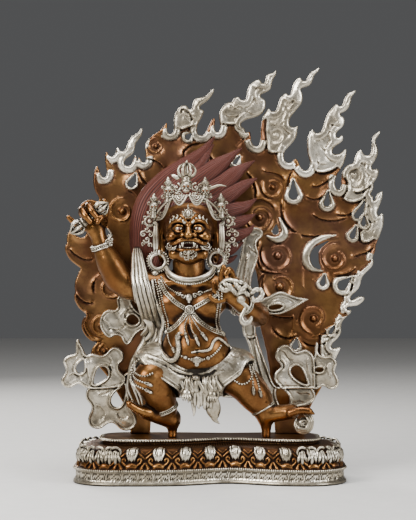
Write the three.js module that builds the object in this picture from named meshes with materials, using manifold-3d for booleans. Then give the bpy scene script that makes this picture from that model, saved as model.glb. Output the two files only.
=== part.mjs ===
// Wrathful guardian deity in a lunging stance on a kidney-shaped lotus plinth, before a horseshoe of flames.
// Millimetres, +Z up, the viewer stands at -Y, origin at the centre of the plinth's underside.
import * as THREE from "three";
import { mergeVertices } from "three/addons/utils/BufferGeometryUtils.js";
import Module from "manifold-3d";

const wasm = await Module();
wasm.setup();

// Driving dimensions
const plinthHalfWidth = 133; // at the foot of the silver band
const plinthHalfDepth = 58;
const platformZ = 42; // top of the platform that the feet stand on
const waistX = 18; // the plinth narrows a little right of its middle
const waistDepth = 20;
const waistSpread = 36;
const plinthCorner = 40; // radius of its corners
const petalCount = 26;
const fit = 0.3; // clearance between two pieces that touch
const aureoleY = 30; // back face of the flame plate
const plateThickness = 5;
const silverRise = 1.8; // silver flames stand this proud of the plate
const discRise = 3.4; // curled scrolls on the plate
const lassoY = -64; // the hank hangs before the hand

// Most triangles of each lightened piece
const faceBudget = { figure: 3700, plinth: 1800, aureole: 2500, scarfRight: 760, scarfLeft: 700 };

const copper = { color: 0x7a4417, roughness: 0.34, metalness: 0.9 };
const silver = { color: 0xbfb7a6, roughness: 0.32, metalness: 0.9 };

// A closed body for the booleans, with its faces turned outwards if a mirrored form had them inwards.
function solid(geometry) {
  const bare = geometry.clone();
  for (const name of ["normal", "uv"]) bare.deleteAttribute(name);
  const merged = mergeVertices(bare, 1e-4);
  const order = new Uint32Array(merged.index.array);
  const bodyOf = () =>
    new wasm.Manifold(
      new wasm.Mesh({
        numProp: 3,
        vertProperties: new Float32Array(merged.attributes.position.array),
        triVerts: order,
      }),
    );
  const body = bodyOf();
  if (body.volume() > 0) return body;
  for (let i = 0; i < order.length; i += 3) [order[i], order[i + 1]] = [order[i + 1], order[i]];
  return bodyOf();
}

function join(solids) {
  return solids.reduce((whole, next) => whole.add(next));
}

// Vertices and triangles of a joined body, without voids sealed inside it or crumbs that a cut left loose.
function surfaceOf(body) {
  const data = body.getMesh();
  const points = [];
  for (let i = 0; i < data.numVert; i++)
    points.push(new THREE.Vector3(...data.vertProperties.subarray(i * data.numProp, i * data.numProp + 3)));
  const root = points.map((_, i) => i);
  const find = (i) => {
    while (root[i] !== i) i = root[i] = root[root[i]];
    return i;
  };
  const faces = [];
  for (let i = 0; i < data.numTri; i++) {
    const face = [...data.triVerts.subarray(i * 3, i * 3 + 3)];
    faces.push(face);
    root[find(face[1])] = find(face[0]);
    root[find(face[2])] = find(face[0]);
  }
  const volumes = new Map();
  const normal = new THREE.Vector3();
  for (const [a, b, c] of faces) {
    const shell = find(a);
    const part = points[a].dot(normal.crossVectors(points[b], points[c]));
    volumes.set(shell, (volumes.get(shell) ?? 0) + part);
  }
  const least = Math.max(...volumes.values()) / 50;
  return { points, faces: faces.filter(([a]) => volumes.get(find(a)) > least) };
}

// How far points stray from the planes of a set of faces, as the ten sums of a quadratic form.
function planeSums(a, b, c) {
  const n = new THREE.Vector3().crossVectors(b.clone().sub(a), c.clone().sub(a));
  const area = n.length() / 2;
  n.normalize();
  const d = -n.dot(a);
  const v = [n.x, n.y, n.z, d];
  const sums = [];
  for (let i = 0; i < 4; i++) {
    for (let j = i; j < 4; j++) sums.push(v[i] * v[j] * area);
  }
  return sums;
}

function stray(sums, { x, y, z }) {
  const [xx, xy, xz, xd, yy, yz, yd, zz, zd, dd] = sums;
  const squares = xx * x * x + yy * y * y + zz * z * z + dd;
  return squares + 2 * (xy * x * y + xz * x * z + xd * x + yz * y * z + yd * y + zd * z);
}

// Collapses the edges that matter least, a few at a time, until a surface has few enough triangles.
function lighten({ points, faces }, most) {
  let rest = faces;
  for (let pass = 0; pass < 60 && rest.length > most; pass++) {
    const around = points.map(() => []);
    const sums = points.map(() => new Array(10).fill(0));
    rest.forEach((face, f) => {
      const plane = planeSums(...face.map((i) => points[i]));
      for (const i of face) {
        around[i].push(f);
        plane.forEach((value, k) => (sums[i][k] += value));
      }
    });
    const edges = [];
    for (const [a, b, c] of rest) {
      const sides = [[a, b], [b, c], [c, a]].filter(([p, q]) => p < q);
      edges.push(...sides.map(([p, q]) => bestCollapse(points, sums, p, q)));
    }
    edges.sort((a, b) => a.cost - b.cost);
    const touched = new Set();
    const dead = new Set();
    let spare = Math.min(rest.length - most, Math.ceil(rest.length / 12));
    for (const { p, q, spot } of edges) {
      if (spare <= 0) break;
      const ringFaces = [...around[p], ...around[q]];
      const near = new Set(ringFaces.flatMap((f) => rest[f]));
      if ([...near].some((i) => touched.has(i)) || !mayCollapse(points, rest, around, p, q, spot)) continue;
      near.forEach((i) => touched.add(i));
      points[p] = spot;
      for (const f of around[q]) {
        if (rest[f].includes(p)) dead.add(f);
        else rest[f] = rest[f].map((i) => (i === q ? p : i));
      }
      spare -= 2;
    }
    rest = rest.filter((_, f) => !dead.has(f));
  }
  return { points, faces: rest };
}

function bestCollapse(points, sums, p, q) {
  const both = sums[p].map((value, k) => value + sums[q][k]);
  const spots = [points[p], points[q], points[p].clone().lerp(points[q], 0.5)];
  const costs = spots.map((spot) => stray(both, spot));
  const pick = costs.indexOf(Math.min(...costs));
  const shortness = points[p].distanceToSquared(points[q]) * 1e-3;
  return { p, q, spot: spots[pick].clone(), cost: costs[pick] + shortness };
}

// An edge may go if that neither pinches the surface nor turns a face over.
function mayCollapse(points, faces, around, p, q, spot) {
  const near = (i) => new Set(around[i].flatMap((f) => faces[f]).filter((j) => j !== p && j !== q));
  const other = near(q);
  if ([...near(p)].filter((i) => other.has(i)).length !== 2) return false;
  const normalOf = (corners) =>
    new THREE.Vector3().crossVectors(corners[1].clone().sub(corners[0]), corners[2].clone().sub(corners[0]));
  for (const f of [...around[p], ...around[q]]) {
    const face = faces[f];
    if (face.includes(p) && face.includes(q)) continue;
    const before = normalOf(face.map((i) => points[i]));
    const after = normalOf(face.map((i) => (i === p || i === q ? spot : points[i])));
    const small = after.length() < 0.02;
    if (small || before.dot(after) < 0.3 * before.length() * after.length()) return false;
  }
  return true;
}

function geometryOf({ points, faces }) {
  const geometry = new THREE.BufferGeometry().setFromPoints(points);
  geometry.setIndex(faces.flat());
  return geometry;
}

function light(body, most) {
  return solid(geometryOf(lighten(surfaceOf(body), most)));
}

// The same surface moved outwards along its normals.
function swollen(geometry, by) {
  geometry.computeVertexNormals();
  const { position, normal } = geometry.attributes;
  const point = new THREE.Vector3();
  for (let i = 0; i < position.count; i++) {
    point.fromBufferAttribute(position, i);
    point.addScaledVector(new THREE.Vector3().fromBufferAttribute(normal, i), by);
    position.setXYZ(i, point.x, point.y, point.z);
  }
  return geometry;
}

function meshOf(name, body, look) {
  const mesh = new THREE.Mesh(geometryOf(surfaceOf(body)), new THREE.MeshStandardMaterial(look));
  mesh.name = name;
  return mesh;
}

// Round forms
function ball(x, y, z, rx, ry = rx, rz = rx, around = 10, rows = 7) {
  const geometry = new THREE.SphereGeometry(1, around, rows);
  geometry.rotateX(Math.PI / 2);
  geometry.scale(rx, ry, rz);
  geometry.translate(x, y, z);
  return solid(geometry);
}

// A rod through stations [x, y, z, radius]; broad and thin stretch its section across and along the view.
function rod(stations, { sides = 8, steps = 6, broad = 1, thin = 1 } = {}) {
  const path = new THREE.CatmullRomCurve3(stations.map((s) => new THREE.Vector3(s[0], s[1], s[2])));
  const swell = new THREE.CatmullRomCurve3(stations.map((s) => new THREE.Vector3(s[3], 0, 0)));
  const profile = [new THREE.Vector2(0, 0)];
  for (let i = 0; i <= steps; i++) profile.push(new THREE.Vector2(1, i / steps));
  profile.push(new THREE.Vector2(0, 1));
  const geometry = new THREE.LatheGeometry(profile, sides);
  const place = geometry.attributes.position;
  const point = new THREE.Vector3();
  for (let i = 0; i < place.count; i++) {
    point.fromBufferAttribute(place, i);
    const along = Math.min(Math.max(point.y, 0), 1);
    const centre = path.getPoint(along);
    const tangent = path.getTangent(along);
    const radius = Math.max(swell.getPoint(along).x, 0.3);
    const deep = new THREE.Vector3(0, 1, 0).addScaledVector(tangent, -tangent.y);
    if (deep.lengthSq() < 0.01) deep.set(0, 0, 1).addScaledVector(tangent, -tangent.z);
    deep.normalize();
    const across = new THREE.Vector3().crossVectors(deep, tangent).normalize();
    const onAxis = Math.hypot(point.x, point.z) < 0.5;
    centre.addScaledVector(across, point.x * radius * broad).addScaledVector(deep, point.z * radius * thin);
    if (onAxis) centre.addScaledVector(tangent, (along < 0.5 ? -0.5 : 0.5) * radius * Math.min(thin, 1));
    place.setXYZ(i, centre.x, centre.y, centre.z);
  }
  return solid(geometry);
}

function ring(x, y, z, radius, tube, tilt = [0, 0], sides = 12, round = 6) {
  const geometry = new THREE.TorusGeometry(radius, tube, round, sides);
  geometry.rotateX(Math.PI / 2 + tilt[0]);
  geometry.rotateY(tilt[1]);
  geometry.translate(x, y, z);
  return solid(geometry);
}

// Flat shapes drawn with a brush: a stroke is a chain of stations [x, z, radius], its field negative inside.
function strokeField(stations) {
  const path = new THREE.CatmullRomCurve3(stations.map(([x, z, r]) => new THREE.Vector3(x, z, r)));
  const points = stations.length < 3 ? path.getPoints(1) : path.getPoints(4 * (stations.length - 1));
  const reach = Math.max(...points.map((p) => p.z));
  const low = points.reduce((m, p) => [Math.min(m[0], p.x), Math.min(m[1], p.y)], [1e9, 1e9]);
  const high = points.reduce((m, p) => [Math.max(m[0], p.x), Math.max(m[1], p.y)], [-1e9, -1e9]);
  return (x, z) => {
    const outX = Math.max(low[0] - x, x - high[0], 0);
    const outZ = Math.max(low[1] - z, z - high[1], 0);
    const out = Math.hypot(outX, outZ) - reach;
    if (out > 12) return out;
    let best = points.length === 1 ? Math.hypot(x - points[0].x, z - points[0].y) - points[0].z : 1e9;
    for (let i = 1; i < points.length; i++) {
      const a = points[i - 1];
      const b = points[i];
      const dx = b.x - a.x;
      const dz = b.y - a.y;
      const t = Math.min(1, Math.max(0, ((x - a.x) * dx + (z - a.y) * dz) / (dx * dx + dz * dz + 1e-9)));
      best = Math.min(best, Math.hypot(x - a.x - dx * t, z - a.y - dz * t) - a.z - (b.z - a.z) * t);
    }
    return best;
  };
}

// A closed outline of runs [[x, z], ...]: each starts at a sharp corner and flows smoothly into the next.
function smoothLoop(runs, slack) {
  const loop = runs.flatMap((run, i) => {
    const next = runs[i + 1] ?? runs[0];
    const stations = runs.length > 1 && i + 1 < runs.length ? [...run, next[0]] : run;
    const path = new THREE.SplineCurve(stations.map(([x, z]) => new THREE.Vector2(x, z)));
    return path.getPoints(4 * (stations.length - 1)).slice(0, i + 1 < runs.length ? -1 : undefined);
  });
  return thin(loop, slack);
}

// A round outline through stations [x, z] with no corner in it.
function roundLoop(stations, slack = 0.2) {
  const path = new THREE.CatmullRomCurve3(stations.map(([x, z]) => new THREE.Vector3(x, z, 0)), true);
  const loop = path.getPoints(4 * stations.length).slice(0, -1);
  return thin(loop.map((p) => new THREE.Vector2(p.x, p.y)), slack);
}

// Distance to a closed outline, negative inside it.
function areaField(loop) {
  return (x, z) => {
    let best = 1e9;
    loop.forEach((a, i) => {
      const b = loop[(i + 1) % loop.length];
      const dx = b.x - a.x;
      const dz = b.y - a.y;
      const t = Math.min(1, Math.max(0, ((x - a.x) * dx + (z - a.y) * dz) / (dx * dx + dz * dz + 1e-9)));
      best = Math.min(best, Math.hypot(x - a.x - dx * t, z - a.y - dz * t));
    });
    return holds(loop, { x, y: z }) ? -best : best;
  };
}

// The outlines of a field as closed loops, found on a grid and thinned to the points that matter.
function loopsOf(field, [x0, z0, x1, z1], step, slack) {
  const nx = Math.ceil((x1 - x0) / step);
  const nz = Math.ceil((z1 - z0) / step);
  const value = (i, j) => grid[j * (nx + 1) + i];
  const grid = new Float32Array((nx + 1) * (nz + 1));
  for (let j = 0; j <= nz; j++) {
    for (let i = 0; i <= nx; i++) grid[j * (nx + 1) + i] = field(x0 + i * step, z0 + j * step) || 1e-6;
  }
  const spots = new Map();
  const links = new Map();
  const cross = (i, j, side) => {
    const [di, dj] = side === 0 ? [1, 0] : [0, 1];
    const a = value(i, j);
    const b = value(i + di, j + dj);
    const t = a / (a - b);
    const key = `${i},${j},${side}`;
    spots.set(key, new THREE.Vector2(x0 + (i + di * t) * step, z0 + (j + dj * t) * step));
    return key;
  };
  for (let j = 0; j < nz; j++)
    for (let i = 0; i < nx; i++) {
      const corners = [value(i, j), value(i + 1, j), value(i + 1, j + 1), value(i, j + 1)].map((v) => v < 0);
      const sides = [[i, j, 0], [i + 1, j, 1], [i, j + 1, 0], [i, j, 1]];
      const cuts = [0, 1, 2, 3].filter((s) => corners[s] !== corners[(s + 1) % 4]);
      const exits = cuts.filter((s) => corners[s]);
      const enters = cuts.filter((s) => !corners[s]);
      exits.forEach((s) => {
        const turned = (by) => enters.find((e) => e === (s + by) % 4);
        const to = turned(3) ?? turned(1) ?? enters[0];
        enters.splice(enters.indexOf(to), 1);
        links.set(cross(...sides[s]), cross(...sides[to]));
      });
    }
  const loops = [];
  while (links.size) {
    const loop = [];
    let key = links.keys().next().value;
    while (links.has(key)) {
      loop.push(spots.get(key));
      const next = links.get(key);
      links.delete(key);
      key = next;
    }
    const thinned = thin(loop, slack);
    if (thinned.length > 3 && Math.abs(THREE.ShapeUtils.area(thinned)) > 12) loops.push(thinned);
  }
  return loops;
}

// Keeps only the points of a closed loop that lie further than the slack from a straight run between others.
function thin(loop, slack) {
  const keep = new Set([0, Math.floor(loop.length / 2)]);
  const split = (a, b) => {
    const start = loop[a];
    const end = loop[b % loop.length];
    const run = end.clone().sub(start);
    let far = slack;
    let pick = -1;
    for (let i = a + 1; i < b; i++) {
      const gap = Math.abs(run.cross(loop[i].clone().sub(start))) / (run.length() + 1e-9);
      if (gap > far) [far, pick] = [gap, i];
    }
    if (pick < 0) return;
    keep.add(pick);
    split(a, pick);
    split(pick, b);
  };
  const half = Math.floor(loop.length / 2);
  split(0, half);
  split(half, loop.length);
  return [...keep].sort((a, b) => a - b).map((i) => loop[i]);
}

// A plate between two depths with the outline and holes of a field.
function plate(field, box, yFront, yBack, { step = 1.6, slack = 0.55 } = {}) {
  const loops = loopsOf(field, box, step, slack);
  const sized = loops.map((loop) => ({ loop, area: THREE.ShapeUtils.area(loop) }));
  const turn = Math.sign(sized.reduce((m, s) => (Math.abs(s.area) > Math.abs(m.area) ? s : m)).area);
  const outers = sized.filter((s) => Math.sign(s.area) === turn);
  const holes = sized.filter((s) => Math.sign(s.area) !== turn);
  return join(
    outers.map(({ loop }) => {
      const shape = new THREE.Shape(loop);
      const inside = holes.filter((h) => holds(loop, h.loop[0]));
      shape.holes = inside.map((h) => new THREE.Path(h.loop));
      return slab(shape, yFront, yBack);
    }),
  );
}

function slab(shape, yFront, yBack) {
  const geometry = new THREE.ExtrudeGeometry(shape, { depth: yBack - yFront, bevelEnabled: false });
  geometry.rotateX(Math.PI / 2);
  geometry.translate(0, yBack, 0);
  return solid(geometry);
}

function holds(loop, p) {
  let odd = false;
  for (let i = 0, j = loop.length - 1; i < loop.length; j = i++) {
    const a = loop[i];
    const b = loop[j];
    if (a.y > p.y !== b.y > p.y && p.x < ((b.x - a.x) * (p.y - a.y)) / (b.y - a.y) + a.x) odd = !odd;
  }
  return odd;
}

// Plinth
// The kidney outline drawn in by an inset: straight sides and round corners, narrowed at the waist.
function plinthOutline(inset, sideSteps, cornerSteps) {
  const [wide, deep] = [plinthHalfWidth - inset, plinthHalfDepth - inset * 0.8];
  const corner = plinthCorner - inset * 0.6;
  const [x, y] = [wide - corner, deep - corner];
  const path = new THREE.Path();
  path.moveTo(-x, -deep).lineTo(x, -deep);
  path.absarc(x, -y, corner, -Math.PI / 2, 0).lineTo(wide, y);
  path.absarc(x, y, corner, 0, Math.PI / 2).lineTo(-x, deep);
  path.absarc(-x, y, corner, Math.PI / 2, Math.PI).lineTo(-wide, -y);
  path.absarc(-x, -y, corner, Math.PI, 1.5 * Math.PI);
  return path.curves.flatMap((curve) => {
    const along = curve.getLength() > corner * 2;
    const steps = curve.isLineCurve && along ? sideSteps : cornerSteps;
    return Array.from({ length: steps }, (_, i) => waisted(curve.getPoint(i / steps)));
  });
}

function waisted(point) {
  const bite = point.y < 0 ? waistDepth : waistDepth * 0.3;
  point.y -= Math.sign(point.y) * bite * Math.exp(-(((point.x - waistX) / waistSpread) ** 2));
  return point;
}

const plinthProfile = [
  // [inset, z] up the side of the plinth
  [0, 0], [0, 3], [3, 5], [3.5, 11], [0.5, 13], [0.5, 16], [4, 16.5],
  [6, 34], [23, 36], [29, 37], [29, 39], [26, 39.6], [25.5, 42.2], [27.5, 43], [29, platformZ],
];

function buildPlinth() {
  const rings = plinthProfile.map(([inset]) => plinthOutline(inset, 12, 4));
  const rows = plinthProfile.length + 2;
  const profile = Array.from({ length: rows }, (_, row) => new THREE.Vector2(row % (rows - 1) ? 1 : 0, row));
  const geometry = new THREE.LatheGeometry(profile, rings[0].length);
  const place = geometry.attributes.position;
  for (let i = 0; i < place.count; i++) {
    const row = i % rows;
    const column = Math.floor(i / rows) % rings[0].length;
    const level = Math.min(Math.max(row - 1, 0), rings.length - 1);
    const point = row % (rows - 1) ? rings[level][column] : new THREE.Vector2();
    place.setXYZ(i, point.x, point.y, plinthProfile[level][1]);
  }
  return solid(geometry).add(join(petalStations().map(petal)));
}

function petal([x, y, turn]) {
  const boss = new THREE.SphereGeometry(1, 6, 4);
  boss.rotateX(Math.PI / 2);
  boss.scale(10.5, 4.6, 9);
  boss.rotateZ(turn);
  boss.translate(x, y, 25.5);
  return solid(boss);
}

// Petals stand at even steps along the outline; each is [x, y, turn about Z].
function petalStations() {
  const points = plinthOutline(5, 80, 24);
  const run = points.map(() => 0);
  const after = (i) => points[(i + 1) % points.length];
  for (let i = 1; i < points.length; i++) run[i] = run[i - 1] + points[i].distanceTo(points[i - 1]);
  const whole = run.at(-1) + points.at(-1).distanceTo(points[0]);
  const start = run[points.findIndex((p) => p.x > 0)];
  return Array.from({ length: petalCount }, (_, n) => {
    const want = (start + (whole * n) / petalCount) % whole;
    const i = run.findLastIndex((r) => r <= want);
    const along = after(i).clone().sub(points[i]);
    return [points[i].x, points[i].y, along.angle()];
  });
}

// Flame plate: its outline goes up the viewer's left side, over the flames and down the right, tip to tip.
const flameOutline = [
  [[-79, 41], [-80, 56], [-85, 70], [-93, 84], [-102, 99], [-113, 112], [-118.2, 121], [-117.2, 127],
    [-114, 131.4]],
  [[-111.8, 133.4], [-117, 134.4], [-121.6, 137.4], [-125.6, 142.4], [-127.8, 148], [-127.6, 153],
    [-126.2, 157]],
  [[-122.8, 160.8], [-126, 163.8], [-129.8, 166.8], [-132.6, 170.8], [-134.8, 175.6], [-135.2, 180]],
  [[-134, 183.2], [-134.8, 188.6], [-134.2, 194], [-132.2, 199.4], [-130.6, 203.4]],
  [[-128.4, 207.2], [-134, 211.2], [-138.8, 215], [-142.2, 220], [-144.2, 225], [-144.4, 229]],
  [[-142.4, 231.8], [-142.6, 237], [-141.4, 242]],
  [[-138.4, 246.2], [-136.4, 242.2], [-133, 239], [-128.6, 237.4], [-124.8, 238.6], [-123, 242], [-123, 248],
    [-126, 255], [-130.8, 261], [-130.2, 267.6], [-126, 273], [-119.8, 275.6], [-115, 274.6]],
  [[-111, 273], [-110.4, 277.4], [-113.6, 283], [-115.8, 290], [-116, 298], [-114.8, 304.6]],
  [[-112.6, 309.6], [-111, 306], [-109.6, 301.8], [-107.6, 298.6], [-105.2, 297.6], [-103, 299.2],
    [-102.6, 304],
    [-103.8, 311], [-104.4, 318]],
  [[-103.2, 323.6], [-101.6, 320.6], [-99.8, 318.8], [-97.4, 318.2], [-95.2, 319.4], [-93.8, 322],
    [-93.2, 325.4]],
  [[-92.2, 328.2], [-90.6, 325.4], [-88.4, 323.6], [-86, 323.6], [-83.8, 325.8], [-82.2, 329.8],
    [-80.6, 334.2],
    [-78, 338], [-74, 340.8], [-70.6, 343.4]],
  [[-68, 347.2], [-67.3, 344], [-68.4, 340], [-71.2, 336], [-74.2, 332], [-75, 327.4], [-76.2, 323.4],
    [-79, 320.4], [-83, 317.6], [-85.6, 314.6], [-85.6, 311.2], [-83, 308.8], [-80, 308.8], [-77.8, 311],
    [-76, 315]],
  [[-74.2, 320], [-73.2, 316.4], [-72.6, 313.4], [-71.8, 315.2]],
  [[-70.9, 318.2], [-69.2, 315.2], [-67, 312.7], [-64.6, 312.5], [-63.4, 315], [-63.8, 318.4]],
  [[-63.6, 321.4], [-64.2, 325.6], [-64, 330], [-62.6, 334], [-59.6, 337.4], [-55.4, 340.8], [-50.6, 344],
    [-46.8, 347.4]],
  [[-43.2, 352.6], [-42.8, 349.6], [-43, 345.8], [-42.2, 342.4], [-40.2, 340.9], [-37.8, 341.2],
    [-36, 343.6],
    [-35.5, 348], [-35.6, 353], [-35.2, 358], [-33.8, 362.4], [-31, 366.4], [-28, 369], [-24.8, 369.4]],
  [[-22.4, 368.6], [-21.8, 366.6], [-20.2, 365.4], [-18.4, 365.7], [-17.2, 368], [-16.8, 371.6],
    [-15.4, 375],
    [-12.6, 376.8], [-8.6, 377.2], [-4.8, 378.6], [-1.2, 381.4], [1.4, 384.6]],
  [[3.8, 386.4], [4, 384], [2.6, 381], [-0.2, 377.2], [-4, 373.6], [-8, 370.8], [-10.2, 368.2], [-9.8, 366],
    [-7.8, 365.3]],
  [[-5.8, 364.6], [-6.8, 361], [-8.8, 357], [-11.2, 353], [-12.8, 349.2], [-13.2, 345], [-12.4, 341.6],
    [-10, 339.5], [-7.2, 339.3], [-4.8, 341.2], [-2.8, 344.6], [-1, 348.6], [0.8, 352.8], [2.6, 355.8]],
  [[4.8, 357.2], [5.2, 354.6], [4.4, 350], [4.4, 345.8], [6, 342.9], [8.4, 342.5], [10.4, 345], [10.7, 350],
    [9.7, 355], [9.3, 359.4], [10, 363.2], [11.8, 366.2], [14.2, 369.2], [16.8, 371.6], [19.6, 372.6]],
  [[22, 371.6], [22.8, 374.2], [24.6, 376.8], [27.4, 378.1]],
  [[30, 376.6], [31.6, 374.8], [34.2, 374.4], [36.5, 376.4], [37.4, 380.6], [38.3, 385.6], [40.2, 390],
    [43.4, 393], [47, 395]],
  [[50.4, 394.8], [51.4, 392], [53.4, 390.9], [55.4, 392.4], [56.1, 396], [57.2, 399.4], [59.4, 401.2],
    [62, 401.2], [64.4, 403]],
  [[66.6, 404.8], [66, 401.2], [63.8, 397.4], [61.9, 393.4], [61.5, 389], [59.8, 385.8], [56, 383.2],
    [52.4, 381.8], [50.4, 380], [50.8, 377.8], [52.6, 376.6]],
  [[54.6, 375.6], [55.3, 371.6], [54.8, 366.8], [52.4, 362.6], [48, 359.6], [42, 357.5], [36.4, 355.9],
    [32.8, 353.8], [30.8, 351], [31.4, 348.4]],
  [[35, 346.4], [35.2, 343.6], [36.2, 342.2], [37.8, 343]],
  [[40.2, 343.8], [40.5, 340], [41, 335], [42.5, 331], [45, 328.9], [47.8, 328.9], [50, 331.2], [50.9, 336],
    [51.1, 342], [51.5, 349], [52.8, 356], [55, 361.4]],
  [[59, 366.8], [60.6, 364.2], [63.6, 363], [66.2, 364.7], [67.8, 368.4], [69.2, 373.2], [71.6, 377.8],
    [74, 380.8]],
  [[76.8, 381.6], [77.6, 379.6], [79.2, 379.2], [81, 381], [82.1, 385], [83.5, 390], [85.8, 394.2],
    [88.2, 397]],
  [[91, 397.2], [91.6, 394.8], [93.2, 393.5], [95.6, 393.8], [97.6, 396.4], [99.2, 400.2], [101.8, 403.2],
    [105.6, 405]],
  [[109.6, 407.6], [108, 404.2], [104.9, 401], [103.1, 397], [101.4, 392.4], [98.4, 389.6], [94.2, 388.2],
    [91.2, 386.8], [90.6, 384.6]],
  [[92.2, 382], [92.5, 377], [91.4, 372], [88.2, 368], [84.7, 363.6], [81.2, 359.2], [79.2, 354.6],
    [79.5, 350.2], [81.8, 347.8], [84.9, 347.9]],
  [[88.2, 349.4], [87.2, 345.8], [86.8, 341.6], [85.8, 337.8], [83.2, 333.8], [79.8, 330], [76.6, 326.8],
    [74.4, 323.4], [73.7, 319], [74.4, 315.2], [76.8, 312.6], [80, 312.2], [82.8, 313.8]],
  [[85.5, 316.6], [87.3, 314.8], [88.6, 311.8], [90.2, 308.4], [92.6, 305.6], [95, 304.3], [97.6, 304.9],
    [99.8, 307.2], [100.7, 310.4], [100.2, 314.4], [98.6, 320], [97.5, 326], [97.6, 332], [98.3, 338],
    [100, 342.6]],
  [[102.6, 346.2], [103.6, 343.6], [105.8, 341.9], [108.6, 341.9], [111.4, 343.8], [113.3, 347.2],
    [114.9, 352.2], [116.5, 357.8], [118.6, 362.4], [122, 366.8], [124.8, 369.6]],
  [[127.4, 370.8], [128.6, 368.8], [130.6, 368.4], [132.7, 370.2], [134.2, 374.2], [135.8, 378.6],
    [138.6, 381.9], [142.2, 383.4]],
  [[146.2, 384.5], [144.2, 381.8], [142, 379], [140.7, 374.6], [139.5, 369.8], [137.3, 366], [134, 363.7],
    [131, 362.3], [130, 360.2]],
  [[133.6, 358], [134.3, 354], [133.4, 350], [130.4, 346.8], [127.2, 344], [126, 341.2], [126, 338.2],
    [127.7, 337], [129.7, 337.9]],
  [[132.2, 340], [133.1, 337.4], [132, 334.4], [129, 331.9], [125.1, 329.4], [122.5, 325.9], [122.1, 322.6],
    [124.4, 320.6], [128, 320.8], [131.6, 322.5]],
  [[136.2, 326.6], [135.9, 321], [134.6, 315.6], [133, 311], [130.4, 306.4], [127, 301.4], [125, 296],
    [124.8, 290], [126.6, 286.2], [129.4, 285.2], [131.2, 288], [131.6, 294], [131.9, 300], [133, 304.6],
    [135.4, 308], [139, 310.6], [142.8, 311.4]],
  [[144.4, 312.4], [145.6, 318], [147.8, 323]],
  [[150.8, 326], [151.9, 323], [153.8, 320.5], [156.4, 319.2], [159, 319.6], [161, 321.8], [162, 326],
    [162.1, 331], [162.6, 336], [164.2, 340]],
  [[170.4, 344.2], [169, 341], [166.6, 337.8], [165, 334], [165.6, 331], [167.2, 327.4], [167.6, 322],
    [166, 317], [163.6, 313.2], [161.7, 310], [161.5, 306.8], [163.4, 305.4]],
  [[167.6, 306.2], [168.6, 302.8], [166.2, 297], [163, 292.4]],
  [[163.4, 290.4], [163, 286.8], [160.8, 283], [159.8, 280.8], [161.4, 279.8]],
  [[163, 278.4], [162.9, 275.6], [163.9, 273.8], [165.2, 275.6], [166.4, 278.8], [168.6, 282]],
  [[172.4, 284.2], [172.2, 279], [170.8, 274], [168.8, 269], [167.1, 264.2], [167.3, 260.6], [169, 258.9]],
  [[172, 262.4], [173.3, 258], [173.2, 252], [171.6, 246], [169.6, 240.6], [167.4, 235]],
  [[165.6, 230.4], [164.8, 224], [162.4, 218.4]],
  [[163.6, 213.4], [161.4, 209], [157, 204.4], [153.2, 200.4], [151.2, 196.4], [150, 191], [147.4, 186],
    [143, 182], [140.5, 179.2], [140, 176.6], [141.6, 175], [144.6, 176.2], [148, 178.1], [151, 178.8]],
  [[154.8, 178.2], [153.2, 175], [150, 171.9], [146, 170], [141, 169.4], [137.6, 168.6], [136.4, 167],
    [137.8, 165.6]],
  [[141.6, 165.2], [140.6, 163.2], [139, 161.2], [136.4, 159.2]],
  [[133.8, 156.6], [131.6, 153.4], [130.9, 149], [131, 144.4], [129.4, 140.4], [126.4, 136.6],
    [122.8, 133.2],
    [121.3, 130.2], [121.9, 127.6], [124.6, 126.9]],
  [[130.8, 128.4], [128.8, 124], [126, 118.6], [122, 110], [117, 99], [110, 86], [102, 72], [96, 57],
    [94, 41]],
];
const plateOpening = [[3, 20, 64], [2, 100, 58], [-2, 150, 51], [-2, 190, 50], [0, 222, 30]];
// Where the plate is silvered: loose outside the outline, exact along the roots of the flames
const silverAreas = [
  [[-92.6, 330], [-90, 323.4], [-86, 321.2], [-80.6, 320.2], [-76, 320.2], [-62, 330], [-62, 350],
    [-84, 350]],
  [[-38, 352], [-34, 349.4], [-30.4, 346.2], [-27.4, 344.8], [-14, 350.4], [-11, 352], [-2, 362],
    [10, 392], [-40, 382]],
  [[7, 364], [12, 362], [12, 353.6], [15, 350.6], [20, 350], [26, 350.6], [28, 346], [34, 344.4], [44, 352],
    [59, 361],
    [56.8, 372], [56.4, 378], [72, 410], [20, 396]],
  [[57.4, 367.4], [55.6, 345], [57, 330], [57.6, 323.6], [62, 321.4], [68, 322.4], [74.6, 325.6], [94, 340],
    [100, 398],
    [114, 414], [70, 402]],
  [[96.6, 348], [99.6, 335], [100.4, 322], [104.6, 311], [104.4, 304.6], [108, 302.4], [114, 302.2],
    [122, 304.8],
    [129, 309.4], [137, 317], [142, 330], [152, 392], [110, 382]],
  [[131.6, 309.6], [133.4, 302], [137.6, 292], [137, 284], [132.6, 276.4], [137, 273.4], [143, 272.4],
    [150, 274.4],
    [157, 279.4], [166, 284], [180, 348], [145, 345]],
  [[157.6, 283], [154, 274], [152.4, 263], [158, 250], [149.6, 243], [150, 235], [153, 232.4], [158, 232.8],
    [164, 236.4], [170, 242], [180, 250], [180, 288]],
  [[135, 197.6], [141, 200.6], [147, 200.6], [153, 206.6], [165, 215.6], [170, 212], [158, 176], [147, 160],
    [140, 162.6], [134.6, 163.4], [132.6, 168], [137.4, 170.6], [136.4, 178], [141, 184], [143, 191]],
  [[111, 141], [110, 134], [110, 120], [120, 106], [130, 124], [134, 130], [136, 158], [126, 152.6],
    [124, 146],
    [118.4, 141.6]],
];
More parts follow.
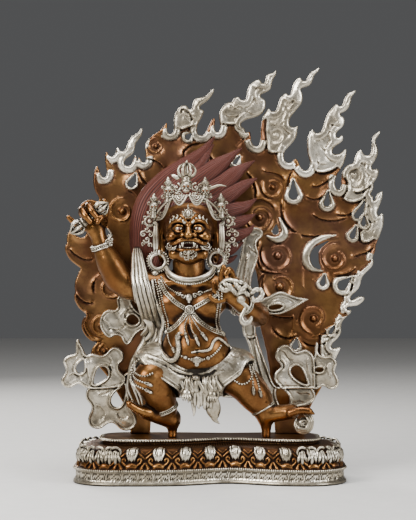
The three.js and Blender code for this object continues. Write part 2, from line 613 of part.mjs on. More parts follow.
// Each is [x, z, radius, apex x, apex z, width of its silver rim]
const teardrops = [
  [83.6, 280.4, 4.8, 83, 295.2, 4.6], [117, 272, 3.2, 118, 283.6, 5], [65.6, 244.2, 3.4, 66.6, 250.4, 2.4],
  [112.8, 192.4, 3, 114.4, 200.6, 4], [132.6, 190.4, 5.2, 140.6, 197.8, 4.8],
  [121, 143.8, 2.3, 124, 149.4, 3],
  [85.6, 129.6, 3.4, 86.6, 136.6, 3.2], [153.6, 251.8, 2.5, 154.2, 258.6, 3.6],
  [142.6, 239.6, 3, 146, 249, 3.8],
  [-77.8, 292, 4.2, -74, 301.2, 2.4], [-102.6, 240.4, 3.6, -104, 248, 1.6],
  [25.6, 313.2, 2.4, 29.6, 318.6, 4],
  [-21.6, 338.4, 3, -18.4, 341.8, 3.4],
];
const sideHole = [
  [155, 274.4], [150.8, 268.6], [146.4, 263.8], [144, 260.6], [145, 257.6], [147.8, 256.9], [150.2, 258.6],
  [152, 261.2], [153.6, 262.6], [154.2, 267],
];
const crescentHole = [
  [118, 234, 0.5], [111, 229.6, 1.8], [105.6, 224.4, 3.4], [104.4, 218, 4.2], [105.6, 212, 3.6],
  [109.4, 207.4, 1.6],
];
const crescent = [[126, 240, 0.6], [116, 238.6, 2.2], [106, 234.6, 3.2], [99, 228, 3.9], [96, 220, 4.2],
  [97, 212.4, 4.1], [102, 206.6, 3], [109, 204.8, 1.6], [113, 204.6, 0.6]];
const smallCrescent = [[57, 239.4, 1], [62, 236.6, 2.2], [68, 235.6, 3.4], [73.4, 239, 3.8], [75, 245, 3.4],
  [72.6, 251, 2.4], [70, 257, 1.2]];
// Each is [x, z, outer radius] of a curled scroll
const scrolls = [
  [-87.6, 264, 14.4], [-54, 328.8, 9.4], [63, 288, 13], [50, 258, 15], [68, 220, 18.6], [125, 217, 15.8],
  [70, 189, 18.6], [103.6, 157, 16.4], [-98.6, 188, 13], [-108, 149, 12], [-105, 124, 8], [66, 340, 9.5],
  [143.6, 300.4, 9],
];

const shapeOf = (stations) => new THREE.Shape(stations.map(([x, z]) => new THREE.Vector2(x, z)));

function buildAureole() {
  const box = [-150, platformZ - 6, 180, 412];
  const front = aureoleY - plateThickness;
  const top = front - silverRise;
  const deep = front + 1;
  const outline = new THREE.Shape(smoothLoop(flameOutline, 0.28));
  const drops = teardrops.map(([x, z, r, ax, az]) => strokeField([[x, z, r], [ax, az, 0.5]]));
  const gaps = [strokeField(plateOpening), strokeField(crescentHole), ...drops];
  const gap = (x, z) => Math.min(...gaps.map((g) => g(x, z)));
  const moons = [crescent, smallCrescent].map(strokeField);
  const silvered = (x, z) => {
    const rims = drops.map((drop, i) => drop(x, z) - teardrops[i][5]);
    return Math.min(...rims, ...moons.map((moon) => moon(x, z)));
  };
  const discs = scrolls.map(([x, z, radius]) => {
    const profile = [
      [0, -1], [1, -1], [0.95, 2.2], [0.72, 0.9], [0.34, 0.5], [0.28, discRise], [0, discRise + 1.2],
    ].map(([r, h]) => new THREE.Vector2(r * radius, h));
    const geometry = new THREE.LatheGeometry(profile, 10);
    geometry.rotateX(Math.PI);
    geometry.translate(x, front, z);
    return solid(geometry);
  });
  const flames = silverAreas.map((area) => slab(shapeOf(area), top, deep));
  const raised = join([...flames, plate(silvered, box, top, deep), ...discs]);
  const worked = raised.intersect(slab(outline, front - 2 * discRise, front + 2 * discRise));
  const under = new THREE.BoxGeometry(2 * plinthHalfWidth, plinthHalfDepth, platformZ);
  under.translate(0, aureoleY, platformZ / 2 + fit);
  return slab(outline, front, aureoleY)
    .add(worked)
    .subtract(plate(gap, box, front - 2 * discRise, aureoleY + 1))
    .subtract(slab(shapeOf(sideHole), front - 2 * discRise, aureoleY + 1))
    .subtract(solid(under));
}

// Figure
function figureForms() {
  const trunk = [
    ball(-20, -8, 179, 34, 20, 24, 12, 8),
    ball(-36, -20, 172, 15, 11, 13, 9, 6),
    ball(1, -20, 171, 15, 11, 13, 9, 6),
    ball(-17, -10, 150, 29, 18, 22, 12, 7),
    ball(-14, -15, 130, 33, 24, 29, 14, 9),
    rod([[-19, -6, 192, 19], [-20, -10, 214, 18]], { sides: 10, steps: 2 }),
  ];
  const raisedArm = [
    rod([[-42, -6, 188, 17], [-62, -7, 188, 15], [-84, -8, 192, 13.5], [-90, -9, 197, 13]], { steps: 5 }),
    rod(
      [[-88, -9, 195, 13.5], [-97, -10, 211, 12.5], [-107, -12, 229, 8], [-110, -13, 240, 8]],
      { steps: 6 },
    ),
    ball(-113, -12, 248, 12, 6.5, 11, 9, 6),
    rod(
      [[-120, -12, 258, 3.6], [-127, -19, 265, 3.4], [-124, -32, 259, 3.2], [-118, -34, 252, 2.6]],
      { sides: 6, steps: 5 },
    ),
    rod(
      [[-112, -12, 256, 3.6], [-119, -19, 270, 3.4], [-117, -32, 266, 3.2], [-111, -34, 258, 2.6]],
      { sides: 6, steps: 5 },
    ),
    rod([[-106, -12, 252, 4], [-103, -13, 264, 3.4], [-104, -13, 276, 2.2]], { sides: 6, steps: 3 }),
    rod([[-120, -11, 244, 4], [-132, -13, 249, 3.2], [-139, -14, 257, 2.2]], { sides: 6, steps: 3 }),
    ring(-79, -8, 190, 15, 2.6, [0, 1.4], 10, 5),
    ring(-107, -12, 229, 9, 2.4, [0, 0.45], 10, 5),
    ball(-100, -20, 236, 8, 3.5, 8, 6, 4),
  ];
  const heldArm = [
    rod([[4, -6, 188, 17], [22, -8, 180, 14], [42, -12, 166, 13], [50, -15, 161, 12.5]], { steps: 5 }),
    rod([[51, -16, 161, 12.5], [43, -30, 167, 11], [30, -43, 174, 8], [24, -48, 178, 7.5]], { steps: 6 }),
    ball(19, -50, 184, 9, 7, 10, 9, 6),
    rod([[14, -52, 188, 4], [10, -55, 199, 3.2], [12, -56, 208, 2.2]], { sides: 6, steps: 3 }),
    ball(21, -51, 192, 5, 5, 5, 6, 4),
    rod([[14, -52, 180, 4], [5, -55, 184, 3.2], [3, -56, 193, 2.4]], { sides: 6, steps: 3 }),
    ring(32, -41, 173, 9.5, 2, [0.6, 1], 10, 5),
  ];
  const bentLeg = [
    rod([[-28, -8, 114, 22], [-46, -22, 108, 20], [-61, -32, 101, 17], [-60, -34, 94, 15]], { steps: 5 }),
    rod([[-60, -32, 97, 16], [-50, -24, 88, 15.5], [-41, -16, 72, 10], [-39, -14, 60, 9]], { steps: 6 }),
    rod(
      [[-38, -12, 58, 9], [-54, -18, 66, 8], [-68, -24, 73, 6.5], [-77, -26, 78, 4]],
      { steps: 4, thin: 1.2 },
    ),
    rod([[-38, -10, 62, 8], [-37, -9, 50, 5.4], [-37, -9, platformZ + fit + 2.6, 5]], { steps: 2 }),
    ring(-42, -17, 72, 11, 2.4, [0.35, -0.55], 10, 5),
  ];
  const straightLeg = [
    rod(
      [[4, -8, 114, 22], [20, -11, 106, 19], [34, -14, 96, 17], [44, -13, 83, 15.5], [54, -12, 68, 9.5]],
      { steps: 7 },
    ),
    rod([[53, -12, 66, 9.5], [66, -14, 66, 8], [82, -17, 69, 7], [97, -19, 69, 5]], { steps: 4, thin: 1.2 }),
    rod([[54, -12, 64, 8.5], [55, -11, 52, 5.6], [55, -11, platformZ + fit + 2.6, 5.2]], { steps: 2 }),
    ring(52, -12, 71, 11, 2.4, [0, 0.6], 10, 5),
    ball(92, -18, 56, 8.5, 6, 8, 8, 5),
  ];
  const skirt = [
    rod(
      [
        [-54, -14, 118, 16], [-34, -10, 112, 24], [-10, -8, 104, 24], [14, -9, 110, 22],
        [26, -12, 106, 19.5]
      ],
      { steps: 7 },
    ),
    rod([[-62, -22, 112, 17], [-44, -18, 106, 24], [-22, -14, 98, 18]], { steps: 3, broad: 0.8 }),
    rod(
      [[-12, -20, 106, 20], [-8, -16, 84, 17], [-4, -14, 66, 14], [0, -13, 56, 7]],
      { steps: 5, thin: 0.5 },
    ),
    rod([[-20, -24, 98, 8], [-19, -20, 78, 7], [-16, -18, 62, 3]], { sides: 6, steps: 4 }),
    rod([[2, -22, 98, 8], [6, -18, 78, 7], [9, -16, 55, 2.4]], { sides: 6, steps: 4 }),
    rod([[-8, -26, 102, 6], [-6, -22, 82, 5.5], [-2, -19, 66, 2.4]], { sides: 6, steps: 4 }),
    rod(
      [
        [-56, -26, 124, 4], [-38, -30, 112, 4.6], [-12, -36, 101, 4.6], [14, -30, 110, 4.6],
        [28, -20, 124, 3.4],
      ],
      { sides: 6, steps: 8 },
    ),
  ];
  const head = [
    ball(-20.5, -13, 244, 23, 21, 27, 12, 9),
    ball(-20.5, -17, 227, 18, 17, 15, 10, 6),
    ball(-36, -27, 239, 8, 7, 7, 7, 5),
    ball(-5, -27, 239, 8, 7, 7, 7, 5),
    ball(-29.5, -32, 247, 5.4, 3.6, 3.6, 7, 5),
    ball(-11, -32, 247, 5.4, 3.6, 3.6, 7, 5),
    ball(-20.4, -36, 240, 4.4, 5.6, 4.4, 7, 5),
    ball(-25.6, -34, 239.6, 3.2, 3.6, 2.8, 6, 4),
    ball(-15.2, -34, 239.6, 3.2, 3.6, 2.8, 6, 4),
    rod([[-38, -26, 253, 2.4], [-29, -33, 257, 3], [-21, -35, 251, 2.4]], { sides: 6, steps: 3 }),
    rod([[-3, -26, 253, 2.4], [-12, -33, 257, 3], [-20, -35, 251, 2.4]], { sides: 6, steps: 3 }),
    ball(-20.5, -32, 261, 3.6, 3.6, 6.5, 6, 4),
    rod(
      [
        [-42, -26, 231, 2], [-33, -33, 230, 2.8], [-21, -36, 235, 2.6], [-8, -33, 230, 2.8],
        [1, -26, 231, 2],
      ],
      { sides: 6, steps: 7 },
    ),
    rod([[-31, -32, 226, 2], [-20.5, -36, 223, 2.6], [-10, -32, 226, 2]], { sides: 6, steps: 4 }),
    ball(-20.5, -34, 218, 5.6, 4, 5, 7, 4),
    ball(-47, -8, 240, 4, 7, 12, 7, 5),
    ball(6, -8, 240, 4, 7, 12, 7, 5),
  ];
  const crown = [
    rod(
      [
        [-55, -8, 250, 3.2], [-44, -27, 264, 3.2], [-21, -36, 273, 3.2], [2, -27, 264, 3.2],
        [13, -8, 250, 3.2],
      ],
      { sides: 6, steps: 9 },
    ),
    ball(-22, -16, 270, 17, 15, 15, 10, 6),
    ...crownSkulls.map(([x, y, z]) => ball(x, y, z, 5.4, 5, 6, 7, 5)),
    ...crownSkulls.map(([x, y, z]) =>
      rod([[x, y, z - 16, 3], [x, y, z + 3, 4], [x, y, z + 14, 0.6]], { sides: 5, steps: 3 }),
    ),
    ring(-22.4, -26, 301, 6.6, 2, [0, 0], 10, 5),
    rod([[-22.4, -26, 288, 4], [-22.4, -26, 300, 2.4], [-22.4, -26, 312, 1]], { sides: 6, steps: 4 }),
    ball(-59, -6, 253, 8, 4.5, 6, 7, 5),
    ball(19, -6, 254, 8, 4.5, 6, 7, 5),
    ball(-58, -6, 238, 7, 4, 11, 7, 5),
    ball(17, -6, 240, 9, 4, 10, 7, 5),
    ring(-50, -14, 214, 9, 2.4, [0, 0], 12, 5),
    ring(8, -14, 215, 9, 2.4, [0, 0], 12, 5),
    rod([[-47, -8, 236, 5], [-48, -11, 226, 4], [-49, -14, 220, 3]], { sides: 6, steps: 2 }),
    rod([[6, -8, 236, 5], [7, -11, 226, 4], [8, -14, 220, 3]], { sides: 6, steps: 2 }),
  ];
  const jewels = [
    ring(-20.5, -12, 199, 22, 3.4, [-0.28 - Math.PI / 2, 0], 14, 5),
    rod([[-57, -22, 193, 3], [-51, -27, 172, 3], [-46, -26, 154, 3], [-48, -28, 136, 3], [-44, -32, 122, 3],
      [-36, -36, 118, 3], [-31, -37, 127, 3], [-31, -35, 139, 2.4]], { sides: 6, steps: 14 }),
    rod(
      [
        [-18, -40, 125, 2], [-2, -40, 124, 2.4], [4, -36, 135, 2.4], [10, -32, 138, 2.4],
        [18, -26, 131, 2],
      ],
      { sides: 6, steps: 9 },
    ),
    ball(-20, -30, 167, 4.4, 3, 4.4, 8, 5),
    rod([[-47, -22, 188, 1.8], [-34, -31, 176, 1.8], [-20, -30, 167, 1.8]], { sides: 5, steps: 4 }),
    rod([[8, -24, 184, 1.8], [-6, -31, 175, 1.8], [-20, -30, 167, 1.8]], { sides: 5, steps: 4 }),
    rod([[-48, -22, 147, 1.8], [-32, -31, 155, 1.8], [-20, -30, 167, 1.8]], { sides: 5, steps: 4 }),
    rod([[13, -22, 145, 1.8], [-6, -31, 154, 1.8], [-20, -30, 167, 1.8]], { sides: 5, steps: 4 }),
    rod([[-20, -30, 166, 1.6], [-21, -33, 150, 2], [-22, -37, 137, 2]], { sides: 5, steps: 4 }),
    rod([[-20, -30, 166, 1.6], [-15, -34, 149, 2], [-9, -39, 134, 2]], { sides: 5, steps: 4 }),
  ];
  const hair = [
    ball(-22, 4, 254, 40, 12, 34, 12, 7),
    ...hairLocks.map((lock) => rod(lock, { sides: 6, steps: 6, thin: 0.75 })),
  ];
  return [trunk, raisedArm, heldArm, bentLeg, straightLeg, skirt, head, crown, jewels, hair].flat();
}

// Skulls of the crown, [x, y, z], from the viewer's left to right
const crownSkulls = [
  [-53.5, -16, 268], [-40, -26, 282], [-22.8, -31, 284], [-4.5, -26, 283], [10.5, -16, 267.5],
];
// Locks sweep up the viewer's left side and blow over to the right
const hairLocks = [
  [[-52, 3, 190, 6], [-67, 6, 212, 8], [-69, 8, 246, 11], [-60, 8, 274, 12], [-40, 8, 296, 10],
    [-16, 8, 318, 7], [5, 8, 337, 0.8]],
  [[-58, 6, 240, 9], [-50, 6, 268, 13], [-32, 6, 288, 12], [-8, 6, 304, 9], [14, 7, 315, 6],
    [31.7, 8, 325, 0.8]],
  [[-30, 6, 280, 10], [-6, 6, 290, 11], [14, 6, 299, 8], [30, 7, 306, 5], [44.5, 8, 313, 0.8]],
  [[-10, 6, 270, 10], [10, 6, 279, 9], [28, 7, 285, 7], [46, 8, 292, 0.8]],
  [[2, 6, 254, 10], [18, 6, 261, 8], [32, 7, 264, 6], [44.5, 8, 270, 0.8]],
  [[4, 6, 238, 10], [20, 6, 245, 8], [32, 7, 248, 5], [43, 8, 251, 0.8]],
  [[-4, 4, 232, 10], [12, 6, 226, 8], [27, 7, 228, 0.8]],
  [[-44, 4, 214, 8], [-50, 3, 200, 6], [-51, 2, 188, 1]],
];

// Scarves. Each is a fluttering sheet of a few lobed loops with holes, hung from a folded band of cloth.
const rightLoops = [
  [[-85, 181.4], [-81.4, 180.8], [-78.8, 178], [-77, 173], [-74.4, 168], [-70, 163.6], [-64, 161],
    [-59, 158],
    [-59, 148], [-67, 146], [-73.4, 141.2], [-77.6, 134.4], [-80.6, 131.6], [-83.4, 131.8], [-86.4, 135.8],
    [-88, 139.4], [-91, 140.6], [-94.4, 140.4], [-98, 138.4], [-102, 139.6], [-105.6, 143.6], [-108.4, 149],
    [-109, 155], [-107.4, 160.6], [-104, 164.6], [-100, 166.6], [-96.4, 166.1], [-93.4, 166.4],
    [-91.4, 168.8],
    [-91.8, 172.4], [-92.2, 176.4], [-90.4, 179.6], [-87.8, 181.2]],
  [[-130.2, 137], [-127.8, 132], [-125.2, 127], [-123.4, 122.6], [-120.6, 121.4], [-117.4, 122.4],
    [-113.6, 122.4],
    [-109.6, 121.2], [-106, 121.2], [-102.4, 123.4], [-99.6, 126.6], [-96.6, 128.8], [-93, 129.2],
    [-89, 127.6],
    [-86, 124], [-85, 119], [-86.6, 115], [-89.4, 112.4], [-90, 108.6], [-88.4, 105], [-85.6, 102.4],
    [-83.2, 100],
    [-83, 96.6], [-84.8, 93], [-88.4, 90.2], [-94, 89], [-101, 88.4], [-108, 87.8], [-115, 87.6],
    [-120, 88.2],
    [-124, 89.6], [-127.4, 92], [-130.6, 92.6], [-133.8, 91], [-137, 89.2], [-141, 88.8], [-144.6, 90.6],
    [-147, 94], [-147.2, 97.6], [-145.2, 101], [-143.2, 104.6], [-143, 108.6], [-144.2, 112],
    [-145.2, 115.2],
    [-143.8, 118], [-140.6, 120.2], [-137, 121.4], [-134, 122.2], [-132.6, 125], [-132.6, 130],
    [-132.4, 134.8]],
  [[-117, 90], [-121.4, 87.6], [-122.8, 84], [-122.8, 80], [-121.4, 76.4], [-118.6, 73.2], [-117.2, 70],
    [-117.8, 66], [-119.6, 62], [-120.6, 57.6], [-119.8, 53], [-117, 49.8], [-112, 48.2], [-107.6, 48.9],
    [-104, 51.2], [-100.6, 53.5], [-97, 54.1], [-93.4, 52.4], [-89.6, 48.8], [-85.6, 46.8], [-80.6, 46.6],
    [-76, 48.8], [-73, 52.6], [-72.6, 57], [-74, 62], [-76.8, 66.6], [-79.4, 72], [-79.8, 80], [-80, 88],
    [-81.6, 92.4], [-85, 95], [-95, 91], [-106, 90]],
  [[-62, 152], [-68, 136], [-73, 124], [-77, 112], [-81, 105], [-85, 102], [-85, 97], [-78, 97], [-72, 107],
    [-64, 124], [-56, 140], [-54, 152]],
];
const rightHoles = [
  [[-81.8, 156], [-80, 153], [-76.8, 151.4], [-73.4, 152], [-70.6, 154.6], [-72, 158.4], [-75.6, 161],
    [-79.4, 160.2]],
  [[-125, 116.4], [-128.6, 114.6], [-131.6, 111.4], [-132.6, 108], [-131.6, 105], [-128.6, 103.4],
    [-125.8, 104.4],
    [-124.4, 107], [-124, 112]],
  [[-105, 110], [-108.6, 109.6], [-111.6, 107], [-113.4, 102], [-114.6, 97], [-114.8, 93.2], [-112, 92.8],
    [-107.6, 94.8], [-103, 98], [-100.6, 102], [-100.8, 106.4], [-102.6, 109]],
  [[-84.6, 91.6], [-88, 88.6], [-92.6, 85.4], [-96.4, 80.6], [-97.8, 76], [-96.4, 71.8], [-93, 69.8],
    [-89.4, 70.4],
    [-86.6, 73.6], [-84.6, 79], [-83.4, 86]],
];
const leftLoops = [
  [[40, 246.8], [45.6, 247.8], [50.6, 246], [52.8, 242.4], [51.6, 238.2], [48, 235], [46.2, 231],
    [46.8, 226.6],
    [48.4, 221.6], [46.8, 214], [44, 206], [41.4, 198], [41, 188], [44, 176], [44, 160], [45, 140],
    [34, 140],
    [31, 160], [30, 180], [26, 190], [25.6, 200], [27.6, 209], [29.6, 217], [31, 225], [32, 232],
    [34.4, 239],
    [37, 244]],
  [[98, 176.6], [92.6, 177.8], [86, 178.8], [80, 181], [74, 183.6], [69.6, 184.4], [64.6, 183], [60, 180.6],
    [55.4, 178], [50, 175.6], [42, 174], [42, 170], [48, 168], [52.4, 164.6], [58, 162], [64, 161],
    [70, 161.6],
    [76, 163.8], [82, 166.6], [88, 170.4], [93.6, 173.8]],
  [[74, 131.6], [78.4, 130.8], [81, 128.4], [83.6, 125.6], [87, 124.8], [90.6, 126], [94.6, 126.8],
    [98.8, 125],
    [102.2, 121], [103.6, 115], [104.4, 106], [104.4, 98], [104, 89], [99, 88], [84, 88], [73, 88],
    [68.6, 90.6],
    [65, 94], [63.4, 98.6], [64.4, 103], [67.4, 106.6], [70.2, 109.4], [69.6, 112.4], [66.6, 115.6],
    [64.8, 120],
    [66, 126], [69, 129.8]],
  [[64, 92], [74, 90], [84, 90.6], [92, 90.6], [99, 90], [102.8, 86.6], [104.6, 82], [104.2, 78],
    [102, 74.8],
    [98, 72.6], [93.6, 71], [88.6, 70], [83, 68.6], [77, 67.8], [71, 67.4], [66, 67], [60, 68], [56, 76],
    [50, 92],
    [44, 112], [38, 132], [34, 144], [44, 146], [50, 128], [57, 110]],
  [[105.8, 134.4], [107.4, 131], [106.8, 126], [108.8, 121.6], [113, 120], [119, 120.2], [123.4, 118],
    [126, 113.6],
    [124.6, 109.2], [124, 105], [126.4, 100], [128, 95], [126.6, 90], [122.6, 87.2], [118, 87.6],
    [114.6, 89.6],
    [111, 90.4], [108, 88.8], [104.6, 87.4], [101, 88], [100, 94], [101, 104], [102, 116], [103.6, 123],
    [104, 130]],
];
const leftHoles = [
  [[58.4, 168.6], [61.4, 170.2], [65.6, 171], [69.4, 171], [71.6, 169.6], [68.6, 167.6], [64, 166.6],
    [60.4, 166.8]],
  [[96.4, 92.8], [91.6, 93.8], [87, 96.4], [82.6, 100.4], [80.4, 104.6], [81.2, 108.4], [84, 110.5],
    [87.4, 110.3],
    [90.6, 107.8], [92.8, 103.4], [94.8, 98]],
  [[67.4, 88.2], [65.4, 84.6], [66.8, 77.4], [69.2, 72], [72.4, 70.4], [76, 70.6], [78.4, 72.8],
    [79.2, 76.4],
    [78.2, 80.4], [75.6, 84.4], [71.6, 87.4]],
  [[103.9, 106.6], [106, 108.2], [109.6, 108.6], [112, 107.4], [110.6, 105.2], [106.6, 104.6]],
];
const rightDrape = [
  [-73, -8, 232, 2.4], [-71, -18, 216, 6], [-67, -29, 197, 8], [-62, -29, 180, 8.5], [-58, -18, 163, 9],
  [-55, 2, 150, 9], [-60, 9, 134, 9], [-70, 11, 116, 6],
];
const rimWidth = 2;
const scarfFront = 7;
const scarfBack = 14;

// A sheet with a raised rim along its outline and round its holes.
function scarfSheet(loops, holes, box) {
  const cloth = loops.map((loop) => areaField(roundLoop(loop)));
  const gaps = holes.map((hole) => areaField(roundLoop(hole)));
  const within = (x, z, inset) => {
    const inside = Math.min(...cloth.map((c) => c(x, z) + inset));
    return Math.max(inside, ...gaps.map((g) => inset - g(x, z)));
  };
  const sheet = plate((x, z) => within(x, z, 0), box, scarfFront, scarfBack, { step: 1.2, slack: 0.3 });
  const floor = (scarfFront + scarfBack) / 2 - 1;
  const hollow = plate((x, z) => within(x, z, rimWidth), box, scarfFront - 1, floor, { slack: 0.5 });
  return sheet.subtract(hollow);
}

function buildScarfRight() {
  const drape = rod(rightDrape, { sides: 8, steps: 8, thin: 0.32 });
  return scarfSheet(rightLoops, rightHoles, [-152, 42, -50, 186]).add(drape);
}

function buildScarfLeft() {
  return scarfSheet(leftLoops, leftHoles, [20, 62, 134, 252]);
}

// Vajra: a short sceptre with a thin grip and a closed ribbed head at each end
function buildVajra() {
  const profile = [[0, 23.5], [2.4, 22.5], [6.2, 16.5], [6.6, 13], [4, 9.5], [4.6, 7.8], [2.4, 6]];
  const mirrored = profile.map(([r, h]) => [r, -h]).reverse();
  const points = [...profile, ...mirrored].map(([r, h]) => new THREE.Vector2(r, h));
  const geometry = new THREE.LatheGeometry(points, 8);
  geometry.rotateX(Math.PI / 2);
  geometry.rotateY(0.9);
  geometry.translate(-117, -25.5, 256);
  return solid(geometry);
}

// Lasso: a hank of rope over the forefinger, with a ring at one end and a hook at the other
function buildLasso() {
  const y = lassoY;
  const hank = rod(
    [
      [16, y, 196, 3], [14, y - 1, 189, 3.4], [24, y - 3, 182, 3.6], [37, y - 1, 180, 3.4],
      [47, y + 2, 185, 3.2], [49, y + 4, 193, 3], [40, y + 3, 198, 3], [28, y, 199, 3], [21, y, 199, 2.4],
    ],
    { sides: 6, steps: 18 },
  );
  const hook = rod(
    [
      [29, y - 5, 182, 4], [30, y - 5, 168, 2.8], [33, y - 4, 154, 3], [40, y - 2, 156, 2.8],
      [40, y, 163, 2],
    ],
    { sides: 6, steps: 8 },
  );
  return join([hank, hook, ball(29, y - 5, 180, 5, 5, 5, 8, 5), ring(54, y + 3, 183, 5, 2, [0, 0], 10, 5)]);
}

const figure = lighten(surfaceOf(join(figureForms())), faceBudget.figure);
const clearance = solid(swollen(geometryOf(figure), 2 * fit));
const object = new THREE.Group();
object.add(meshOf("plinth", light(buildPlinth(), faceBudget.plinth), copper));
object.add(meshOf("aureole", light(buildAureole(), faceBudget.aureole), copper));
object.add(meshOf("figure", solid(geometryOf(figure)), copper));
const scarfRight = light(buildScarfRight(), faceBudget.scarfRight).subtract(clearance);
const scarfLeft = light(buildScarfLeft(), faceBudget.scarfLeft).subtract(clearance);
object.add(meshOf("scarf_right", scarfRight, silver));
object.add(meshOf("scarf_left", scarfLeft, silver));
object.add(meshOf("vajra", buildVajra(), silver));
object.add(meshOf("lasso", buildLasso(), silver));
export default object;
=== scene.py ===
import math
import bpy
import numpy as np
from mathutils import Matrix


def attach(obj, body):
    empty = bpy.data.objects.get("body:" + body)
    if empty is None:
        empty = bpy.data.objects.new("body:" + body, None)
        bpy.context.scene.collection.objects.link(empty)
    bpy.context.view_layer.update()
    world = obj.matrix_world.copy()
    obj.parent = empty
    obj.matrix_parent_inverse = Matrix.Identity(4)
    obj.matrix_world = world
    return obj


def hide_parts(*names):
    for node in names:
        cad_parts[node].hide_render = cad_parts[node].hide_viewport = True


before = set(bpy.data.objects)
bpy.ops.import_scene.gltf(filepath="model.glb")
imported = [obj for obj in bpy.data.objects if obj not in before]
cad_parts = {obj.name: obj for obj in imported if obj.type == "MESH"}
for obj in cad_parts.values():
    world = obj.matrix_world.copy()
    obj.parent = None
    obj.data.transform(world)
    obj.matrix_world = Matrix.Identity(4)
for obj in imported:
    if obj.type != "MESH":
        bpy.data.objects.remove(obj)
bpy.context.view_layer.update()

import openvdb
from mathutils import Vector

metre = 0.001  # the forms below are drawn in millimetres
platformTop = 42.0


# Curves and distances

def curve(stations, steps=8):
    # Catmull-Rom through every column of the stations
    s = np.asarray(stations, float)
    if len(s) < 3:
        t = np.linspace(0, 1, steps + 1)[:, None]
        return s[0] * (1 - t) + s[-1] * t
    padded = np.vstack([2 * s[0] - s[1], s, 2 * s[-1] - s[-2]])
    t = np.arange(steps)[:, None] / steps
    spans = []
    for i in range(len(s) - 1):
        a, b, c, d = padded[i:i + 4]
        spans.append(0.5 * (2 * b + (c - a) * t + (2 * a - 5 * b + 4 * c - d) * t ** 2
                            + (3 * b - a - 3 * c + d) * t ** 3))
    return np.vstack(spans + [s[-1:]])


def runOf(path):
    # the length along a path up to each of its points
    return np.concatenate([[0], np.cumsum(np.linalg.norm(np.diff(path, axis=0), axis=1))])


def evenly(path, gap):
    path = np.asarray(path, float)
    run = runOf(path)
    at = np.arange(0, run[-1], gap)
    return np.stack([np.interp(at, run, path[:, i]) for i in range(path.shape[1])], 1)


def withColumn(rows, value):
    # the same rows with one more number in each, such as a radius or a height
    return np.hstack([rows, np.full((len(rows), 1), value)])


def smoothMin(a, b, k):
    if k <= 0:
        return np.minimum(a, b)
    h = np.maximum(k - np.abs(a - b), 0) / k
    return np.minimum(a, b) - h * h * k * 0.25


def smoothStep(low, high, x):
    t = np.clip((x - low) / (high - low), 0, 1)
    return t * t * (3 - 2 * t)


def bump(x):
    # a rounded ridge, 1 at x = 0 and 0 beyond x = -1 and 1
    return np.sqrt(np.clip(1 - x * x, 0, 1))


def blurred(a, passes=2):
    for _ in range(passes):
        for axis in range(a.ndim):
            a = (np.roll(a, 1, axis) + 2 * a + np.roll(a, -1, axis)) / 4
    return a


# Flat fields, for what is cut from sheet: x to the right, z up

def flatGrid(low, high, step):
    xs = np.arange(low[0], high[0] + step, step, dtype=np.float32)
    zs = np.arange(low[1], high[1] + step, step, dtype=np.float32)
    x, z = np.meshgrid(xs, zs, indexing="ij")
    return {"low": low, "step": step, "x": x, "z": z}


def windowOf(grid, low, high):
    # the rows and columns of a grid between two corners
    xs, zs = grid["x"][:, 0], grid["z"][0]
    return slice(*np.searchsorted(xs, [low[0], high[0]])), slice(*np.searchsorted(zs, [low[1], high[1]]))


def toSegment(x, z, a, b):
    # each spot's share of the way from a to b, and its distance from the line between them
    dx, dz = b[0] - a[0], b[1] - a[1]
    t = np.clip(((x - a[0]) * dx + (z - a[1]) * dz) / (dx * dx + dz * dz + 1e-9), 0, 1)
    return t, np.hypot(x - a[0] - dx * t, z - a[1] - dz * t)


def strokeField(grid, stations, reach=14.0):
    # distance from a stroke through [x, z, half width], inside a window round it
    points = curve(stations, 5)
    far = points[:, 2].max() + reach
    window = windowOf(grid, points[:, :2].min(0) - far, points[:, :2].max(0) + far)
    x, z = grid["x"][window], grid["z"][window]
    best = np.full(x.shape, 1e3, np.float32)
    for a, b in zip(points[:-1], points[1:]):
        t, d = toSegment(x, z, a, b)
        np.minimum(best, d - a[2] - (b[2] - a[2]) * t, out=best)
    return window, best


def sheetMesh(grid, outline, front, back, adaptivity=0.02):
    # a body between two height maps, closed round the outline
    # returns its points in mm, its triangles and each point's place in the maps
    step = grid["step"]
    y0 = float(front.min()) - 2 * step
    ys = np.arange(y0, float(back.max()) + 2 * step, step, dtype=np.float32)
    y = ys[None, :, None]
    field = np.maximum(outline[:, None, :], np.maximum(front[:, None, :] - y, y - back[:, None, :]))
    points, faces = meshed(field.astype(np.float32), adaptivity)
    cells = [np.clip(np.rint(points[:, i]).astype(int), 0, outline.shape[i // 2] - 1) for i in (0, 2)]
    place = points * step + np.array([grid["low"][0], y0, grid["low"][1]])
    return place, faces, tuple(cells)


def meshed(field, adaptivity):
    for axis in range(3):
        rim = [slice(None)] * 3
        for end in (0, -1):
            rim[axis] = end
            field[tuple(rim)] = np.maximum(field[tuple(rim)], 0.5)
    grid = openvdb.FloatGrid(background=5.0)
    grid.copyFromArray(np.ascontiguousarray(field))
    points, triangles, quads = grid.convertToPolygons(0.0, adaptivity)
    halves = [triangles, quads[:, [0, 1, 2]], quads[:, [0, 2, 3]]]
    return points.astype(float), np.vstack([h for h in halves if len(h)]).astype(int)[:, ::-1]


# Round volumes

def volume(shape):
    # an empty grid of distances from the shape's low corner to its high one
    low, step = np.array(shape["low"], float), shape["step"]
    count = np.ceil((np.array(shape["high"], float) - low) / step).astype(int) + 1
    return {"low": low, "step": step, "field": np.full(count, 8.0, np.float32)}


